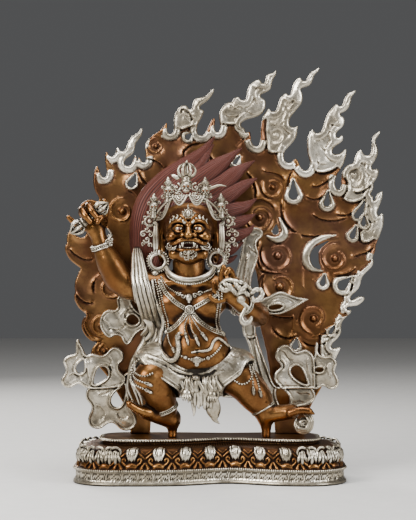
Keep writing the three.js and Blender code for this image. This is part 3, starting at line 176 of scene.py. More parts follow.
def stamp(vol, distance, low, high, cut=False, k=2.0):
    step, margin = vol["step"], abs(k) + 2.5
    start = np.clip(np.floor((np.array(low) - margin - vol["low"]) / step).astype(int), 0, None)
    stop = np.minimum(np.ceil((np.array(high) + margin - vol["low"]) / step).astype(int), vol["field"].shape)
    if np.any(start >= stop):
        return
    window = tuple(slice(a, b) for a, b in zip(start, stop))
    axes = [(vol["low"][i] + step * np.arange(start[i], stop[i])).astype(np.float32) for i in range(3)]
    d = distance(axes[0][:, None, None], axes[1][None, :, None], axes[2][None, None, :])
    part = vol["field"][window]
    part[...] = -smoothMin(-part, d, k) if cut else smoothMin(part, d, k)


def ball(vol, centre, radii, cut=False, k=2.0):
    # an ellipsoid, melted in over k mm or cut away
    c, r = np.array(centre, float), np.array(radii, float)

    def distance(x, y, z):
        u, v, w = x - c[0], y - c[1], z - c[2]
        near = np.sqrt((u / r[0]) ** 2 + (v / r[1]) ** 2 + (w / r[2]) ** 2)
        slope = np.sqrt((u / r[0] ** 2) ** 2 + (v / r[1] ** 2) ** 2 + (w / r[2] ** 2) ** 2) + 1e-6
        return near * (near - 1) / slope

    stamp(vol, distance, c - r, c + r, cut, k)


def limb(vol, stations, cut=False, k=2.0, thin=1.0, steps=5):
    # a rod through [x, y, z, radius]; thin under 1 flattens it front to back
    points = curve(stations, steps)

    def distance(x, y, z):
        best = 1e3
        for a, b in zip(points[:-1], points[1:]):
            d = b - a
            run = d[0] ** 2 + d[1] ** 2 + d[2] ** 2 + 1e-9
            t = np.clip(((x - a[0]) * d[0] + (y - a[1]) * d[1] + (z - a[2]) * d[2]) / run, 0, 1)
            gx, gy, gz = x - a[0] - d[0] * t, (y - a[1] - d[1] * t) / thin, z - a[2] - d[2] * t
            best = np.minimum(best, np.sqrt(gx ** 2 + gy ** 2 + gz ** 2) - a[3] - d[3] * t)
        return best

    r = points[:, 3:4]
    stamp(vol, distance, (points[:, :3] - r).min(0), (points[:, :3] + r).max(0), cut, k)


def volumeMesh(vol, adaptivity=0.02):
    points, faces = meshed(vol["field"], adaptivity)
    return points * vol["step"] + vol["low"], faces


# Bags of small closed parts that make one piece

def newBag():
    return {"points": [], "faces": [], "silver": [], "dark": [], "count": 0}


def put(bag, points, faces, silver=1.0, dark=0.0):
    points = np.asarray(points, float)
    bag["points"].append(points)
    bag["faces"].append(np.asarray(faces, int) + bag["count"])
    bag["silver"].append(np.broadcast_to(np.asarray(silver, float), len(points)))
    bag["dark"].append(np.broadcast_to(np.asarray(dark, float), len(points)))
    bag["count"] += len(points)


def icoTemplate(level):
    g = (1 + math.sqrt(5)) / 2
    p = [(-1, g, 0), (1, g, 0), (-1, -g, 0), (1, -g, 0), (0, -1, g), (0, 1, g), (0, -1, -g), (0, 1, -g),
         (g, 0, -1), (g, 0, 1), (-g, 0, -1), (-g, 0, 1)]
    f = [(0, 11, 5), (0, 5, 1), (0, 1, 7), (0, 7, 10), (0, 10, 11), (1, 5, 9), (5, 11, 4), (11, 10, 2),
         (10, 7, 6), (7, 1, 8), (3, 9, 4), (3, 4, 2), (3, 2, 6), (3, 6, 8), (3, 8, 9), (4, 9, 5), (2, 4, 11),
         (6, 2, 10), (8, 6, 7), (9, 8, 1)]
    p = [np.array(v) / np.linalg.norm(v) for v in p]
    for _ in range(level):
        middle, finer = {}, []

        def half(a, b):
            key = (min(a, b), max(a, b))
            if key not in middle:
                v = p[a] + p[b]
                middle[key] = len(p)
                p.append(v / np.linalg.norm(v))
            return middle[key]

        for a, b, c in f:
            ab, bc, ca = half(a, b), half(b, c), half(c, a)
            finer += [(a, ab, ca), (b, bc, ab), (c, ca, bc), (ab, bc, ca)]
        f = finer
    return np.array(p), np.array(f)


roundBead, smallBead = icoTemplate(2), icoTemplate(1)


def bead(bag, centre, radii, silver=1.0, dark=0.0, fine=False):
    shape, faces = roundBead if fine else smallBead
    put(bag, shape * np.broadcast_to(radii, 3) + centre, faces, silver, dark)


def frames(path):
    # directions across and behind a path, with the second kept towards the back of the figure
    along = np.gradient(path, axis=0)
    along /= np.linalg.norm(along, axis=1, keepdims=True) + 1e-9
    deep = np.array([0.0, 1.0, 0.0]) - along * along[:, 1:2]
    weak = np.linalg.norm(deep, axis=1) < 0.15
    deep[weak] = np.array([0.0, 0.0, 1.0]) - along[weak] * along[weak, 2:3]
    deep /= np.linalg.norm(deep, axis=1, keepdims=True)
    return along, np.cross(deep, along), deep


def sweep(bag, stations, sides=10, steps=6, wide=1.0, thin=1.0, section=None, silver=1.0):
    # a skin round a curve; section(angle, along) scales the radius, and silver may be a function of the same
    s = curve(stations, steps)
    path, radius = s[:, :3], np.maximum(s[:, 3], 0.05)
    tangent, across, deep = frames(path)
    angle = np.arange(sides) * 2 * math.pi / sides
    t = np.linspace(0, 1, len(s))
    scale = np.ones((len(s), sides)) if section is None else section(angle[None, :], t[:, None])
    u = (np.cos(angle)[None, :] * scale * radius[:, None] * wide)[..., None]
    v = (np.sin(angle)[None, :] * scale * radius[:, None] * thin)[..., None]
    skin = path[:, None, :] + across[:, None, :] * u + deep[:, None, :] * v
    ends = [path[0] - tangent[0] * radius[0] * 0.4 * thin, path[-1] + tangent[-1] * radius[-1] * 0.4 * thin]
    points = np.vstack([skin.reshape(-1, 3), ends])
    faces = tubeFaces(len(s), sides)
    shade = silver(angle[None, :], t[:, None]) + np.zeros((len(s), sides)) if callable(silver) else None
    tone = np.concatenate([shade.ravel(), shade[[0, -1], 0]]) if shade is not None else silver
    put(bag, points, faces, tone)


def tubeFaces(rings, sides):
    i, j = np.meshgrid(np.arange(rings - 1), np.arange(sides), indexing="ij")
    a, b = i * sides + j, i * sides + (j + 1) % sides
    c, d = a + sides, b + sides
    walls = np.vstack([np.stack([a, b, d], -1).reshape(-1, 3), np.stack([a, d, c], -1).reshape(-1, 3)])
    j = np.arange(sides)
    first, last = rings * sides, rings * sides + 1
    low = np.stack([np.full(sides, first), (j + 1) % sides, j], 1)
    top = (rings - 1) * sides
    high = np.stack([np.full(sides, last), top + j, top + (j + 1) % sides], 1)
    return np.vstack([walls, low, high])


def ring(bag, centre, radius, tube, normal=(0, 1, 0), around=28, sides=8, squash=1.0, silver=1.0):
    # a torus square to the normal; squash scales its second axis
    n = Vector(normal).normalized()
    first = n.orthogonal().normalized() if abs(n.y) < 0.9 else Vector((1, 0, 0))
    first = (first - n * first.dot(n)).normalized()
    second = n.cross(first)
    angle = np.linspace(0, 2 * math.pi, around + 1)
    out, up = np.cos(angle) * radius, np.sin(angle) * radius * squash
    path = np.array(centre) + np.outer(out, first) + np.outer(up, second)
    sweep(bag, withColumn(path, tube), sides, 1, silver=silver)


def lathe(bag, base, tip, profile, sides=12, flutes=0, depth=0.0):
    # profile is [radius, share of the way from base to tip]
    base, tip = np.array(base, float), np.array(tip, float)
    p = np.array(profile, float)
    n = Vector(tip - base).normalized()
    first = np.array(n.orthogonal().normalized())
    second = np.cross(np.array(n), first)
    angle = np.arange(sides) * 2 * math.pi / sides
    swell = 1 + depth * np.cos(flutes * angle)
    skin = (base + np.outer(p[:, 1], tip - base))[:, None, :]
    skin = skin + (np.cos(angle) * swell)[None, :, None] * first * p[:, 0, None, None]
    skin = skin + (np.sin(angle) * swell)[None, :, None] * second * p[:, 0, None, None]
    ends = [base + (tip - base) * p[0, 1], base + (tip - base) * p[-1, 1]]
    faces = tubeFaces(len(p), sides)[:, ::-1]
    put(bag, np.vstack([skin.reshape(-1, 3), ends]), faces)


def curl(bag, centre, radius, tube, turns=1.4, start=0.0, hand=1, across=(1, 0, 0)):
    # an upright spiral in the plane of across, thick at its outer end
    t = np.linspace(0, 1, int(14 * turns) + 6)
    angle = start + hand * t * turns * 2 * math.pi
    r = radius * (1 - t) ** 0.8
    path = np.array(centre) + np.outer(r * np.cos(angle), across) + np.outer(r * np.sin(angle), (0, 0, 1))
    stations = np.hstack([path, (tube * (1 - 0.45 * t))[:, None]])
    sweep(bag, stations, 6, 1)


def beads(bag, path, radius, spacing=2.05):
    for p in evenly(path, radius * spacing):
        bead(bag, p[:3], radius)


# Materials

def feed(tree, socket, value):
    if isinstance(value, bpy.types.NodeSocket):
        tree.links.new(value, socket)
    else:
        socket.default_value = value


def node(tree, kind, inputs=None, **settings):
    made = tree.nodes.new(kind)
    for name, value in settings.items():
        setattr(made, name, value)
    for name, value in (inputs or {}).items():
        feed(tree, made.inputs[name], value)
    return made


def mixed(tree, factor, a, b):
    made = node(tree, "ShaderNodeMix", data_type="RGBA", blend_type="MIX")
    for index, value in ((0, factor), (6, a), (7, b)):  # the colour sockets of the node
        feed(tree, made.inputs[index], value)
    return made.outputs[2]


def ranged(tree, value, low, high, toLow=0.0, toHigh=1.0):
    limits = {"From Min": low, "From Max": high, "To Min": toLow, "To Max": toHigh}
    return node(tree, "ShaderNodeMapRange", {"Value": value, **limits}).outputs["Result"]


def calc(tree, operation, a, b=0.0):
    made = node(tree, "ShaderNodeMath", operation=operation)
    for index, value in enumerate((a, b)):
        feed(tree, made.inputs[index], value)
    return made.outputs[0]


def attribute(tree, name):
    return node(tree, "ShaderNodeAttribute", attribute_name=name).outputs["Fac"]


def noise(tree, place, scale, detail=4.0, rough=0.6):
    grain = {"Scale": scale, "Detail": detail, "Roughness": rough}
    return node(tree, "ShaderNodeTexNoise", {"Vector": place, **grain}).outputs["Fac"]


def openness(tree, reach):
    # 1 in the open, falling in hollows narrower than the reach in mm; the materials darken their colour with
    # it as painted shade
    return node(tree, "ShaderNodeAmbientOcclusion", {"Distance": reach * metre}, samples=6).outputs["AO"]


def surfaceBump(tree, shader, height, strength, distance):
    made = node(tree, "ShaderNodeBump", {"Height": height, "Strength": strength,
                                         "Distance": distance * metre})
    tree.links.new(made.outputs["Normal"], shader.inputs["Normal"])


def newMaterial(name):
    # a material, its tree, its shader and the place on the object
    material = bpy.data.materials.new(name)
    material.use_nodes = True
    tree = material.node_tree
    place = node(tree, "ShaderNodeTexCoord").outputs["Object"]
    return material, tree, tree.nodes["Principled BSDF"], place


# the deep colours are patina with painted shade in the hollows; the rubbed colours are rubbed metal with
# painted highlight
metalLook = {
    "copperDeep": (0.009, 0.004, 0.002, 1), "copper": (0.142, 0.056, 0.014, 1),
    "copperRubbedAndHighlight": (0.41, 0.220, 0.070, 1),
    "copperDusty": (0.150, 0.070, 0.042, 1),
    "silverDeep": (0.012, 0.009, 0.006, 1), "silver": (0.40, 0.345, 0.255, 1),
    "silverRubbedAndHighlight": (0.80, 0.74, 0.62, 1),
    "darkRed": (0.075, 0.012, 0.008, 1),
    "metallic": 0.92, "darkMatt": 0.75, "silverMatt": 0.06,  # how metallic, less where dark or silvered
    "broad": 28.0, "clouds": 90.0, "dust": 11.0, "fine": 420.0, "grain": 1500.0,  # scales of the textures
}


def metalMaterial(name, crevice=3.5, dust=0.15, matt=0.0):
    # copper, silver where the piece's silver attribute says so, dark where its dark attribute does
    # crevice is the reach in mm of the painted shade and patina that darken the hollows; dust and matt run
    # from 0 to 1
    look = metalLook
    material, tree, shader, place = newMaterial(name)
    broad = noise(tree, place, look["broad"], 3.0)
    fine = noise(tree, place, look["fine"], 4.0, 0.65)
    grain = noise(tree, place, look["grain"], 2.0, 0.5)
    # openness is painted shade: the colour darkens in hollows, in gaps between parts and under overhangs
    opened = openness(tree, crevice)
    relief = calc(tree, "MULTIPLY", attribute(tree, "relief"), 0.55)
    # wear and painted shade: painted shade from openness, grain from the fine noise, and patina in creases
    # with rubbing on ridges from the relief attribute
    wearAndShade = calc(tree, "ADD", calc(tree, "ADD", opened, calc(tree, "MULTIPLY", fine, 0.3)), relief)
    wearAndShade = ranged(tree, wearAndShade, 0.60, 1.16)
    # high is where rubbed metal shows on open raised parts, and is also a painted highlight there
    high = calc(tree, "MULTIPLY", ranged(tree, broad, 0.42, 0.68), ranged(tree, wearAndShade, 0.7, 1.0))
    dusty = ranged(tree, noise(tree, place, look["dust"], 2.0), 0.42, 0.60, 0.35 * dust, dust)
    brown = mixed(tree, dusty, look["copper"], look["copperDusty"])
    # the deep copper is patina with painted shade in the hollows
    copper = mixed(tree, wearAndShade, look["copperDeep"], brown)
    copper = mixed(tree, calc(tree, "MULTIPLY", high, 0.5), copper, look["copperRubbedAndHighlight"])
    clouds = noise(tree, place, look["clouds"], 5.0, 0.7)
    clouded = calc(tree, "MULTIPLY", wearAndShade, ranged(tree, clouds, 0.36, 0.56, 0.55, 1.0))
    # the deep silver is black patina with painted shade in the hollows
    silver = mixed(tree, clouded, look["silverDeep"], look["silver"])
    silver = mixed(tree, high, silver, look["silverRubbedAndHighlight"])
    share = ranged(tree, attribute(tree, "silver"), 0.42, 0.58)
    colour = mixed(tree, share, copper, silver)
    dark = attribute(tree, "dark")
    colour = mixed(tree, dark, colour, look["darkRed"])
    tree.links.new(colour, shader.inputs["Base Color"])
    dulled = calc(tree, "ADD", calc(tree, "MULTIPLY", dark, look["darkMatt"]),
                  calc(tree, "MULTIPLY", share, look["silverMatt"]))
    tree.links.new(calc(tree, "SUBTRACT", look["metallic"], dulled), shader.inputs["Metallic"])
    rough = calc(tree, "ADD", ranged(tree, wearAndShade, 0, 1, 0.55, 0.20 + matt), calc(tree, "MULTIPLY", fine, 0.16))
    tree.links.new(rough, shader.inputs["Roughness"])
    height = calc(tree, "ADD", calc(tree, "MULTIPLY", grain, 0.25), fine)
    strength = calc(tree, "ADD", 0.10, calc(tree, "MULTIPLY", share, 0.10))
    surfaceBump(tree, shader, height, strength, 0.25)
    return material


# deep and furrow are painted shade in the hollows between locks and in the grooves between strands
hairLook = {
    "deep": (0.008, 0.002, 0.001, 1), "paint": (0.080, 0.0165, 0.0085, 1),
    "rubbedAndHighlight": (0.110, 0.024, 0.015, 1), "furrow": (0.012, 0.004, 0.003, 1),
    "metallic": 0.15, "roughness": 0.50, "specular": 0.28,
}


def hairMaterial():
    # dark red paint; the silver attribute counts the strands round each lock
    look = hairLook
    material, tree, shader, place = newMaterial("red_hair")
    fine = noise(tree, place, 500.0, 4.0)
    # openness darkens the hollows between locks as painted shade
    opened = openness(tree, 3.0)
    strand = calc(tree, "ABSOLUTE", calc(tree, "SINE", attribute(tree, "silver")))
    wearAndShade = ranged(tree, calc(tree, "ADD", opened, calc(tree, "MULTIPLY", fine, 0.25)), 0.60, 1.10)
    colour = mixed(tree, wearAndShade, look["deep"], look["paint"])
    # lighter flecks at random: rubbed paint and painted highlight
    colour = mixed(tree, ranged(tree, fine, 0.56, 0.74, 0, 0.6), colour, look["rubbedAndHighlight"])
    # darker furrows between the strands: painted shade in the grooves
    colour = mixed(tree, ranged(tree, strand, 0.15, 0.75, 0.95, 0.0), colour, look["furrow"])
    tree.links.new(colour, shader.inputs["Base Color"])
    shader.inputs["Metallic"].default_value = look["metallic"]
    shader.inputs["Roughness"].default_value = look["roughness"]
    shader.inputs["Specular IOR Level"].default_value = look["specular"]
    height = calc(tree, "ADD", ranged(tree, strand, 0.0, 0.7), calc(tree, "MULTIPLY", fine, 0.3))
    surfaceBump(tree, shader, height, 0.7, 0.45)
    return material


metal = metalMaterial("copper_and_silver")
# the jewellery's painted shade reaches 1.6 mm, into the gaps between beads
jewelMetal = metalMaterial("fine_jewellery", 1.6)
flameMetal = metalMaterial("flame_copper", 3.5, 0.9, 0.02)
hairPaint = hairMaterial()


# Pieces

def makePiece(name, points, faces, material, silver=None, dark=None, wearAndShade=None):
    mesh = bpy.data.meshes.new(name)
    points = np.asarray(points, float) * metre
    faces = np.asarray(faces, np.int32)
    mesh.vertices.add(len(points))
    mesh.vertices.foreach_set("co", points.astype(np.float32).ravel())
    mesh.loops.add(faces.size)
    mesh.loops.foreach_set("vertex_index", faces.ravel())
    mesh.polygons.add(len(faces))
    mesh.polygons.foreach_set("loop_start", np.arange(0, faces.size, 3, dtype=np.int32))
    mesh.update(calc_edges=True)
    mesh.validate()
    for label, values in (("silver", silver), ("dark", dark), ("relief", wearAndShade)):
        data = np.zeros(len(points), np.float32) if values is None else np.asarray(values, np.float32)
        mesh.attributes.new(label, "FLOAT", "POINT").data.foreach_set("value", data)
    mesh.polygons.foreach_set("use_smooth", np.full(len(faces), True))
    mesh.materials.append(material)
    piece = bpy.data.objects.new(name, mesh)
    bpy.context.collection.objects.link(piece)
    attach(piece, "root")
    print(f"  {name}: {len(faces)} triangles")
    return piece


def bagPiece(name, bag, material):
    points, faces = np.vstack(bag["points"]), np.vstack(bag["faces"])
    silver, dark = np.concatenate(bag["silver"]), np.concatenate(bag["dark"])
    return makePiece(name, points, faces, material, silver, dark)


# Plinth

plinth = {
    "halfWidth": 133.0, "halfDepth": 58.0, "corner": 40.0, "waistX": 18.0, "waistDepth": 20.0,
    "waistSpread": 36.0,
    "longSide": 186.0, "cornerRun": 62.8, "shortSide": 36.0,  # shares of the outline's points
    "petals": 26, "tileHalf": 13.2, "columns": 1000, "rows": 62,
    # [inset, z] from the underside over the lip, band, roll, petals, neck and rim to the platform
    "profile": [
        [1.4, 0], [0.3, 0.8], [0, 1.8], [0.7, 3.0], [1.7, 3.5], [2.6, 4.3], [3.3, 6], [3.5, 9], [3.1, 11.2],
        [2.2, 12.5], [1.1, 13.1], [0.9, 14.6], [1.3, 16.1], [3.4, 16.4], [5.0, 17.2], [6.0, 22], [6.8, 28],
        [7.8, 32], [10, 34.4], [14, 35.6], [20, 36.4], [26, 37.0], [28.6, 37.8], [28.8, 39.2], [27.2, 39.8],
        [26.1, 40.6], [25.8, 41.7], [26.6, 42.5], [28, 42.8], [29.2, 42.4], [30, platformTop],
    ],
}


def plinthLoop(inset, count):
    # the kidney outline drawn in by an inset; every inset has its points at the same shares of each side
    wide, deep = plinth["halfWidth"] - inset, plinth["halfDepth"] - inset * 0.8
    corner = max(plinth["corner"] - inset * 0.6, 4)
    x, y = wide - corner, deep - corner
    lengths = np.array([plinth["longSide"], plinth["cornerRun"], plinth["shortSide"],
                        plinth["cornerRun"]] * 2)
    ends = np.concatenate([[0], np.cumsum(lengths)])
    s = (np.arange(count) + 0.5) / count * ends[-1]
    piece = np.searchsorted(ends, s, side="right") - 1
    t = (s - ends[piece]) / lengths[piece]
    quarter = math.pi / 2
    corners = {1: (x, -y, -quarter), 3: (x, y, 0), 5: (-x, y, quarter), 7: (-x, -y, 2 * quarter)}
    sides = {0: ((-x, -deep), (x, -deep)), 2: ((wide, -y), (wide, y)), 4: ((x, deep), (-x, deep)),
             6: ((-wide, y), (-wide, -y))}
    loop = np.zeros((count, 2))
    for k in range(8):
        at = piece == k
        if k in corners:
            cx, cy, start = corners[k]
            loop[at] = np.stack([cx + corner * np.cos(start + t[at] * quarter),
                                 cy + corner * np.sin(start + t[at] * quarter)], 1)
        else:
            a, b = np.array(sides[k][0]), np.array(sides[k][1])
            loop[at] = a + (b - a) * t[at, None]
    bite = np.where(loop[:, 1] < 0, 1, 0.3) * plinth["waistDepth"]
    waist = np.exp(-((loop[:, 0] - plinth["waistX"]) / plinth["waistSpread"]) ** 2)
    loop[:, 1] -= np.sign(loop[:, 1]) * bite * waist
    return loop


def reliefTile(half, low, high, parts, step=0.2):
    # a height map for one repeat; parts are (stations, height, silver, softness)
    grid = flatGrid((-half, low), (half, high), step)
    height = np.zeros(grid["x"].shape)
    silver = np.zeros(grid["x"].shape)
    for stations, lift, isSilver, soft in parts:
        window, d = strokeField(grid, stations, 2)
        rise = lift * np.sqrt(np.clip(-d / soft, 0, 1))
        over = rise > height[window] if lift > 0 else d < 0
        height[window] = np.where(over, rise if lift > 0 else height[window] + rise, height[window])
        if lift > 0:
            silver[window] = np.where(over, isSilver, silver[window])
    return grid, height, silver


def tileAt(grid, values, u, v):
    i = (u - grid["low"][0]) / grid["step"]
    j = (v - grid["low"][1]) / grid["step"]
    i0 = np.clip(np.floor(i).astype(int), 0, values.shape[0] - 2)
    j0 = np.clip(np.floor(j).astype(int), 0, values.shape[1] - 2)
    fi, fj = np.clip(i - i0, 0, 1), np.clip(j - j0, 0, 1)
    near = values[i0, j0] * (1 - fj) + values[i0, j0 + 1] * fj
    far = values[i0 + 1, j0] * (1 - fj) + values[i0 + 1, j0 + 1] * fj
    return near * (1 - fi) + far * fi


def petalTile():
    half = plinth["tileHalf"]
    # brown dome at the foot of the petal
    parts = [([[-3.6, 18.4, 2.6], [0, 19.2, 3.4], [3.6, 18.4, 2.6]], 2.6, 0, 3.2)]
    for side in (-1, 1):
        parts += [
            # side scroll
            ([[side * 5.2, 19.5, 0.8], [side * 7.6, 21, 1.1], [side * 9.4, 23.4, 1.2],
              [side * 8.4, 25.8, 1.0], [side * 6.2, 25.2, 0.9], [side * 6.4, 23.4, 0.7]], 1.9, 0, 0.9),
            # leaf between petals
            ([[side * 12.6, 21.8, 0.7], [side * 11.2, 19.4, 1.3], [side * 9.8, 16.8, 1.9]], 2.0, 0, 1.2),
            # petal edge
            ([[side * 12.9, 25.6, 0.5], [side * 9.8, 28.4, 0.8], [side * 6.0, 31.4, 0.8]], 1.3, 0, 0.8),
            ([[side * 12.9, 29.8, 0.4], [side * 9.0, 32.6, 0.5]], 0.9, 0, 0.5),
            ([[side * 4.2, 34.4, 1.0], [side * 4.6, 31.0, 1.5], [side * 3.2, 27.0, 1.3],
              [side * 2.8, 24.4, 0.5]],
             3.0, 1, 1.2),
            # claw of the tip
            ([[side * 1.9, 34.6, 0.9], [side * 1.9, 29.0, 1.0], [side * 1.5, 24.6, 0.5]], 3.6, 1, 0.9),
        ]
    parts += [
        ([[0, 34.8, 2.6], [0, 31.0, 3.4], [0, 27.0, 2.4], [0, 23.6, 0.8]], 3.0, 1, 2.6),
        ([[0, 31.6, 0.7], [0, 29.8, 1.3], [0, 28.2, 0.5]], 4.3, 1, 1.0),
    ]
    return reliefTile(half, 14, 37, parts)


def bandTile():
    half = 7.5
    parts = []
    for side in (-1, 1):
        parts += [
            ([[side * 7.3, 7.4, 0.5], [side * 5.2, 9.6, 0.6], [side * 2.8, 9.4, 0.6], [side * 2.2, 7.4, 0.55],
              [side * 3.8, 6.6, 0.5], [side * 4.6, 7.8, 0.4]], 0.9, 1, 0.5),
            ([[side * 7.2, 10.6, 0.5], [side * 6.2, 9.2, 0.4]], 0.7, 1, 0.4),
            ([[side * 0.9, 10.8, 0.5], [side * 0.3, 8.8, 0.6], [side * 0.5, 6.2, 0.4]], 0.8, 1, 0.5),
            ([[side * 6.6, 6.2, 0.45], [side * 5.4, 6.0, 0.35]], 0.7, 1, 0.4),
        ]
    return reliefTile(half, 4, 13, parts, 0.15)


def buildPlinth():
    columns, rows = plinth["columns"], plinth["rows"]
    profile = curve(plinth["profile"], 6)
    run = runOf(profile)
    # finer rows over the carved part of the side
    fine = np.where((profile[:, 1] > 16) & (profile[:, 1] < 37), 0.55, 0.95)
    weight = np.concatenate([[0], np.cumsum(np.diff(run) / fine[1:])])
    at = np.interp(np.linspace(0, weight[-1], rows), weight, run)
    inset, z = np.interp(at, run, profile[:, 0]), np.interp(at, run, profile[:, 1])
    loops = np.stack([plinthLoop(i, columns) for i in inset])
    middle = plinthLoop(5, columns)
    step = np.linalg.norm(np.roll(middle, -1, 0) - middle, axis=1)
    around = np.concatenate([[0], np.cumsum(step)])[:-1]
    whole = step.sum()
    start = around[np.argmin(np.abs(middle[:, 0]) + (middle[:, 1] > 0) * 1e3)]
    outward = np.roll(middle, -1, 0) - np.roll(middle, 1, 0)
    outward = np.stack([outward[:, 1], -outward[:, 0]], 1) / np.linalg.norm(outward, axis=1)[:, None]

    pitch = whole / plinth["petals"]
    u = (np.mod(around - start + pitch / 2, pitch) / pitch - 0.5) * 2 * plinth["tileHalf"]
    uBand = np.mod(around * round(whole / 15) * 15 / whole, 15) - 7.5
    zz = np.broadcast_to(z[:, None], (rows, columns))
    grid, tile, tips = petalTile()
    height = tileAt(grid, tile, u[None, :], zz)
    silver = tileAt(grid, tips, u[None, :], zz)
    carved = smoothStep(15.9, 16.6, zz) * smoothStep(36.6, 35.0, zz)
    height *= carved
    silver *= carved
    bandGrid, bandRelief, _ = bandTile()
    height += 1.3 * tileAt(bandGrid, bandRelief, uBand[None, :], zz) * (zz > 4.6) * (zz < 12)
    dots = bump((np.mod(around, 1.9) - 0.95)[None, :] / 0.8) * bump((zz - 4.6) / 0.6)
    height += 0.5 * dots * (zz < 6)
    neck = smoothStep(35.6, 36.2, zz) * smoothStep(39.6, 39.0, zz) * (inset[:, None] > 12)
    flutes = 0.5 * np.cos(around / whole * 2 * math.pi * 260)[None, :] * neck
    silver = np.where((zz < 16.1) | ((zz > 39.7) & (inset[:, None] < 29.9)), 1.0, silver)

    flat = smoothStep(33.5, 36.5, zz) * smoothStep(38.2, 37.2, zz)
    place = np.zeros((rows, columns, 3))
    place[..., :2] = loops + outward[None] * ((height + flutes) * (1 - 0.7 * flat))[..., None]
    place[..., 2] = zz + height * 0.5 * flat
    top = [withColumn(plinthLoop(30, columns) * share, platformTop)
           for share in (0.985, 0.93, 0.8, 0.6, 0.35)]
    under = [withColumn(plinthLoop(1.4, columns) * share, 0.0) for share in (0.35, 0.7, 0.95)]
    skin = np.concatenate([np.stack(under), place, np.stack(top)])
    tone = np.concatenate([np.ones((3, columns)), silver, np.zeros((5, columns))])
    bowl = height - blurred(height, 6)
    patina = -0.62 * (1 - silver) * (zz > 13) * (zz < 38)  # the carved copper is the darkest
    cavity = np.clip(bowl * np.where(zz < 13, 3.2, 1.8) + flutes * 1.4 + patina, -1, 1)
    cavity = np.concatenate([np.zeros((3, columns)), cavity, np.zeros((5, columns))])
    ends = np.array([[0, 0, 0], [0, 0, platformTop]])
    points = np.vstack([skin.reshape(-1, 3), ends])
    faces = tubeFaces(len(skin), columns)
    piece = makePiece("lotus_plinth", points, faces, metal, np.concatenate([tone.ravel(), [1, 0]]),
                      wearAndShade=np.concatenate([cavity.ravel(), [0, 0]]))
    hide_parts("plinth")

    beading = newBag()
    for inset, level, radius in ((0.7, 14.6, 1.05), (25.6, 41.3, 1.25)):
        loop = plinthLoop(inset, 1600)
        closed = np.vstack([loop, loop[:1]])
        beads(beading, withColumn(closed, level), radius, 2.08)
    endLeaves(beading)
    bagPiece("plinth_beading", beading, metal)


def endLeaves(bag):
    # silver foliage curling over the rounded ends of the plinth
    loop = plinthLoop(7.0, 400)
    heading = np.roll(loop, -1, 0) - np.roll(loop, 1, 0)
    heading /= np.linalg.norm(heading, axis=1)[:, None]
    ends = np.flatnonzero(np.abs(loop[:, 0]) > 84)
    for n, at in enumerate(ends[::6]):
        (x, y), (ax, ay) = loop[at], heading[at]
        across, out = (ax, ay, 0), np.array([ay, -ax, 0])
        hand = 1 if n % 2 else -1
        top = np.array([x, y, 31.6]) - out * 1.0
        curl(bag, top + out * 1.2, 5.4, 1.3, 1.35, start=0.9 if hand > 0 else 2.2, hand=hand, across=across)
        bead(bag, top + out * 1.4, (1.7, 1.7, 1.7), fine=True)
        for lean, foot in ((-3.6, 21.5), (0.6, 19.5), (4.2, 22.5)):
            side = np.array([ax, ay, 0]) * lean * hand
            leaf = [np.append(np.array([x, y, z]) + side * (1 - 0.5 * share) + out * o, r)
                    for z, share, o, r in ((foot, 0, 1.0, 0.5), (foot + 3.5, 0.2, 2.6, 1.5),
                                           (27.5, 0.6, 2.6, 1.6), (32.5, 1, 0.6, 0.6))]
            sweep(bag, leaf, 8, 5)


# Aureole: horseshoe of flames cut from one plate

